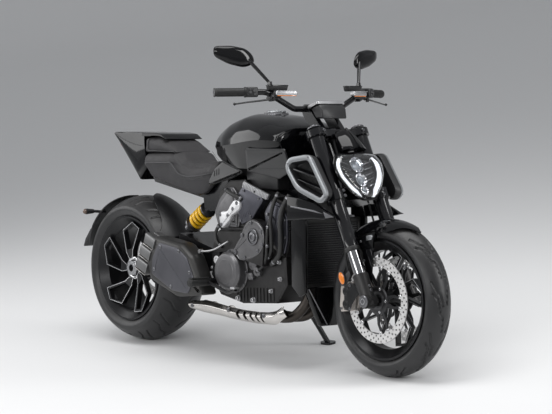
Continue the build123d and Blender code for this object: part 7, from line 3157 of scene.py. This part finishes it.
    def _spring(self, maker: Maker) -> None:
        """Wind the rear spring's thick coils between its collars."""
        top, bottom = Vector((-258, -43.7, 628)), Vector((-424, -43.7, 517.5))
        line = top - bottom
        ahead = line.normalized()
        side = ahead.cross(LEFT).normalized()
        wire, radius, turns = 7.2, 31.0, 4.4
        low = line.length * 0.2 + wire
        high = line.length * 0.79 - wire
        steps = int(turns * self.COIL_STEPS)
        coil = []
        for step in range(steps + 1):
            turn = math.tau * step / self.COIL_STEPS
            along = low + (high - low) * step / steps
            coil.append(bottom + ahead * along + side * radius * math.cos(turn)
                        + LEFT * radius * math.sin(turn))
        maker.piece("spring_coils", tube(coil, wire, 14), SPRING_YELLOW, "chassis",
                    ("shock_spring",), smooth=60)

    @staticmethod
    def _fixings(maker: Maker) -> None:
        """Build the bolts and the ring on the swingarm's left face."""
        fixings = bolts([(x, 149, z) for x, z in (
            (-840, 300), (-852, 348), (-300, 420), (-240, 366))], LEFT, 7, 7)
        ring = lathe([(0, 46), (4, 46), (6, 43), (6, 30)], (REAR_AXLE.x, 149, REAR_AXLE.z), LEFT,
                     48)
        maker.piece("arm_fixings", fixings, SHOCK_STEEL, "chassis")
        maker.piece("arm_ring", ring, COVER_GREY, "chassis")


@dataclass
class Feet(Part):
    """Ribbed footrest rubbers with their ends, and the pedal tips."""

    def build(self, maker: Maker, patterns: Patterns) -> None:
        """Build them."""
        core = lathe([(0, 13.2), (0, 16), (3, 17), (98, 17), (101, 15), (102, 12), (102, 0)],
                     (-92, -198, 317), RIGHT, 28)
        rib = box_between((-2, -13, -1.4), (2, 13, 3.4))
        ribs = patterns.row([(-92, -204, 333.6), (-92, -292, 333.6)], rib, 12, (1, 0, 0), GRIP_SOFT)
        maker.piece("footrest_rubbers", mirrored(with_data(core, ribs)), GRIP_SOFT, "chassis")
        ends = lathe([(0, 9), (4, 12), (9, 12), (11, 9), (11, 0)], (-92, -199, 317), LEFT, 24)
        maker.piece("footrest_ends", mirrored(ends), BRIGHT_CASTING, "chassis")
        outline = rounded([(-14, -16), (14, -16), (14, 16), (-14, 16)], 6)
        tip = loft([[(112 + x, -222 + y, z) for x, y in outline] for z in (303, 311)])
        toe = lathe([(-18, 6), (-16, 10), (16, 10), (18, 6)], (120, -222, 300), LEFT, 24)
        maker.piece("brake_pedal_pad", tip, BRIGHT_CASTING, "chassis", bevel=1.5)
        bmesh.ops.scale(toe, vec=(1, -1, 1), verts=toe.verts)
        maker.piece("gear_pedal_pad", toe, GRIP_SOFT, "chassis")


# ---------------------------------------------------------------- studio


class Studio:
    """The floor, the lamps and the camera."""

    EYE = (5962.0, -4893.0, 1013.0)
    YAW = 140.11
    PITCH = -2.88
    LENS = 1851.0 / 552 * 36
    FLOOR_TONE = 0.8

    def build(self) -> None:
        """Lay the floor, hang the lamps and set the camera."""
        self._floor()
        self._lamps()
        self._camera()

    def _floor(self) -> None:
        """Lay a plain pale floor that curves up behind the machine."""
        ahead = Vector((math.cos(math.radians(self.YAW)), math.sin(math.radians(self.YAW)), 0))
        sideways = Vector((-ahead.y, ahead.x, 0))
        rows = [(-34, 0.0), (24, 0.0), *[(24 + 6 * math.sin(t), 6 - 6 * math.cos(t))
                                        for t in (math.pi / 16 * k for k in range(1, 9))], (30, 34)]
        rings = [[ahead * along + sideways * side + Vector((0, 0, high)) for side in (-50, 50)]
                 for along, high in rows]
        mesh = loft(rings, closed=False, caps=False)
        data = bpy.data.meshes.new("floor")
        mesh.to_mesh(data)
        mesh.free()
        for face in data.polygons:
            face.use_smooth = True
        floor = bpy.data.objects.new("floor", data)
        bpy.context.scene.collection.objects.link(floor)
        paper = bpy.data.materials.new("paper")
        paper.use_nodes = True
        shader = paper.node_tree.nodes["Principled BSDF"]
        shader.inputs["Base Color"].default_value = (self.FLOOR_TONE,) * 3 + (1,)
        shader.inputs["Roughness"].default_value = 0.7
        data.materials.append(paper)

    @staticmethod
    def _lamp(name: str, place: Point, aim: Point, size: Flat, power: float) -> None:
        """Hang one soft box.

        Args:
            name: The lamp's name.
            place: Where it hangs, in metres.
            aim: Where it points, in metres.
            size: Its width and height in metres.
            power: Its power in watts.
        """
        lamp = bpy.data.lights.new(name, "AREA")
        lamp.shape = "RECTANGLE"
        lamp.size, lamp.size_y = size
        lamp.energy = power
        made = bpy.data.objects.new(name, lamp)
        made.location = place
        made.rotation_mode = "QUATERNION"
        made.rotation_quaternion = (Vector(aim) - Vector(place)).to_track_quat("-Z", "Y")
        bpy.context.scene.collection.objects.link(made)

    def _lamps(self) -> None:
        """Hang the soft boxes and light the world."""
        self._lamp("top_box", (0.6, -0.4, 3.4), (0.1, 0, 0.6), (3.4, 1.6), 75)
        self._lamp("front_strip", (3.6, 1.2, 1.8), (0.4, 0, 0.6), (0.5, 2.6), 45)
        self._lamp("side_strip", (0.4, -3.6, 1.9), (0, 0, 0.6), (5.0, 0.4), 50)
        self._lamp("rear_strip", (-3.2, -1.6, 2.0), (-0.4, 0, 0.7), (2.6, 2.2), 34)
        world = bpy.data.worlds.new("room")
        bpy.context.scene.world = world
        world.use_nodes = True
        glow = world.node_tree.nodes["Background"].inputs
        glow["Color"].default_value = (0.9, 0.92, 0.95, 1)
        glow["Strength"].default_value = 0.45

    def _camera(self) -> None:
        """Set the camera at its place beside the machine."""
        yaw, pitch = math.radians(self.YAW), math.radians(self.PITCH)
        look = UPRIGHT.direction((math.cos(pitch) * math.cos(yaw), math.cos(pitch) * math.sin(yaw),
                                  math.sin(pitch)))
        right = UPRIGHT.direction((math.sin(yaw), -math.cos(yaw), 0))
        above = right.cross(look)
        lens = bpy.data.cameras.new("camera")
        lens.sensor_width = 36
        lens.lens = self.LENS
        lens.clip_end = 60
        camera = bpy.data.objects.new("camera", lens)
        place = Matrix((right, above, -look)).transposed().to_4x4()
        place.translation = UPRIGHT.point(self.EYE)
        camera.matrix_world = place
        bpy.context.scene.collection.objects.link(camera)
        bpy.context.scene.camera = camera
        bpy.context.scene.view_settings.view_transform = "Standard"


class CadFinishes:
    """Gives every carried-over CAD node its finished material."""

    def __init__(self, paint: Paintshop) -> None:
        """Take up the materials.

        Args:
            paint: Makes the materials.
        """
        self.paint = paint

    def build(self) -> None:
        """Assign a material to each node's slots."""
        slots = {part["node"]: part["material_slot"] for part in frame["record"]["subparts"]}
        for name, node in frame["nodes"].items():
            finish = NODE_FINISHES.get(slots[name], SATIN_PLASTIC)
            node.data.materials.clear()
            node.data.materials.append(self.paint.material(finish))


def main() -> None:
    """Build the studio and every finished piece, in order."""
    logging.basicConfig(level=logging.INFO, format="%(message)s")
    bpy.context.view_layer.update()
    Studio().build()
    paint = Paintshop()
    maker = Maker(paint)
    CadFinishes(paint).build()
    patterns = Patterns(paint)
    parts: list[Part] = [
        Tyre("front_tyre", "front_wheel", FRONT_AXLE, FRONT_RADIUS, 58.0, 63.3, 44.5, 2.0,
             repeats=9, columns=72, rows=50,
             grooves=[[(0.0, 5), (0.3, 13), (0.35, 25), (0.62, 35), (0.72, 53)],
                      [(0.48, 13), (0.68, 23), (0.73, 33), (0.95, 50)]], groove_width=8.0,
             groove_depth=5.0),
        Tyre("rear_tyre", "rear_wheel", REAR_AXLE, REAR_RADIUS, 117.0, 166.6, 101.6, 4.0,
             repeats=14, columns=44, rows=84,
             grooves=[[(0.0, 10), (0.18, 22), (0.24, 48), (0.5, 76), (0.58, 108)],
                      [(0.6, 34), (0.74, 62), (0.96, 98)]], groove_width=7.5),
        WheelTrim("front_rim", "front_wheel", FRONT_AXLE, 31, 196, (11, 11), (-1, 1), 51.5,
                  edge=1.8),
        WheelTrim("rear_rim", "rear_wheel", REAR_AXLE, 48, 211, (79.5, 104), (-1,), 108.6),
        FrontBrakes(), RearWheelParts(), ForkDressing(), Handlebar(), Mirrors(), Headlight(),
        Display(), FrontFender(), FuelTank(), AirIntakes(), RadiatorBody(), Seats(), Tail(),
        SidePanels(), EngineRight(), EngineLeft(), Exhaust(), RearEnd(), Feet()]
    for part in parts:
        part.build(maker, patterns)
        LOG.info("built %s", type(part).__name__)
    LOG.info("pieces made: %d", maker.count)


if __name__ == "__main__":
    main()
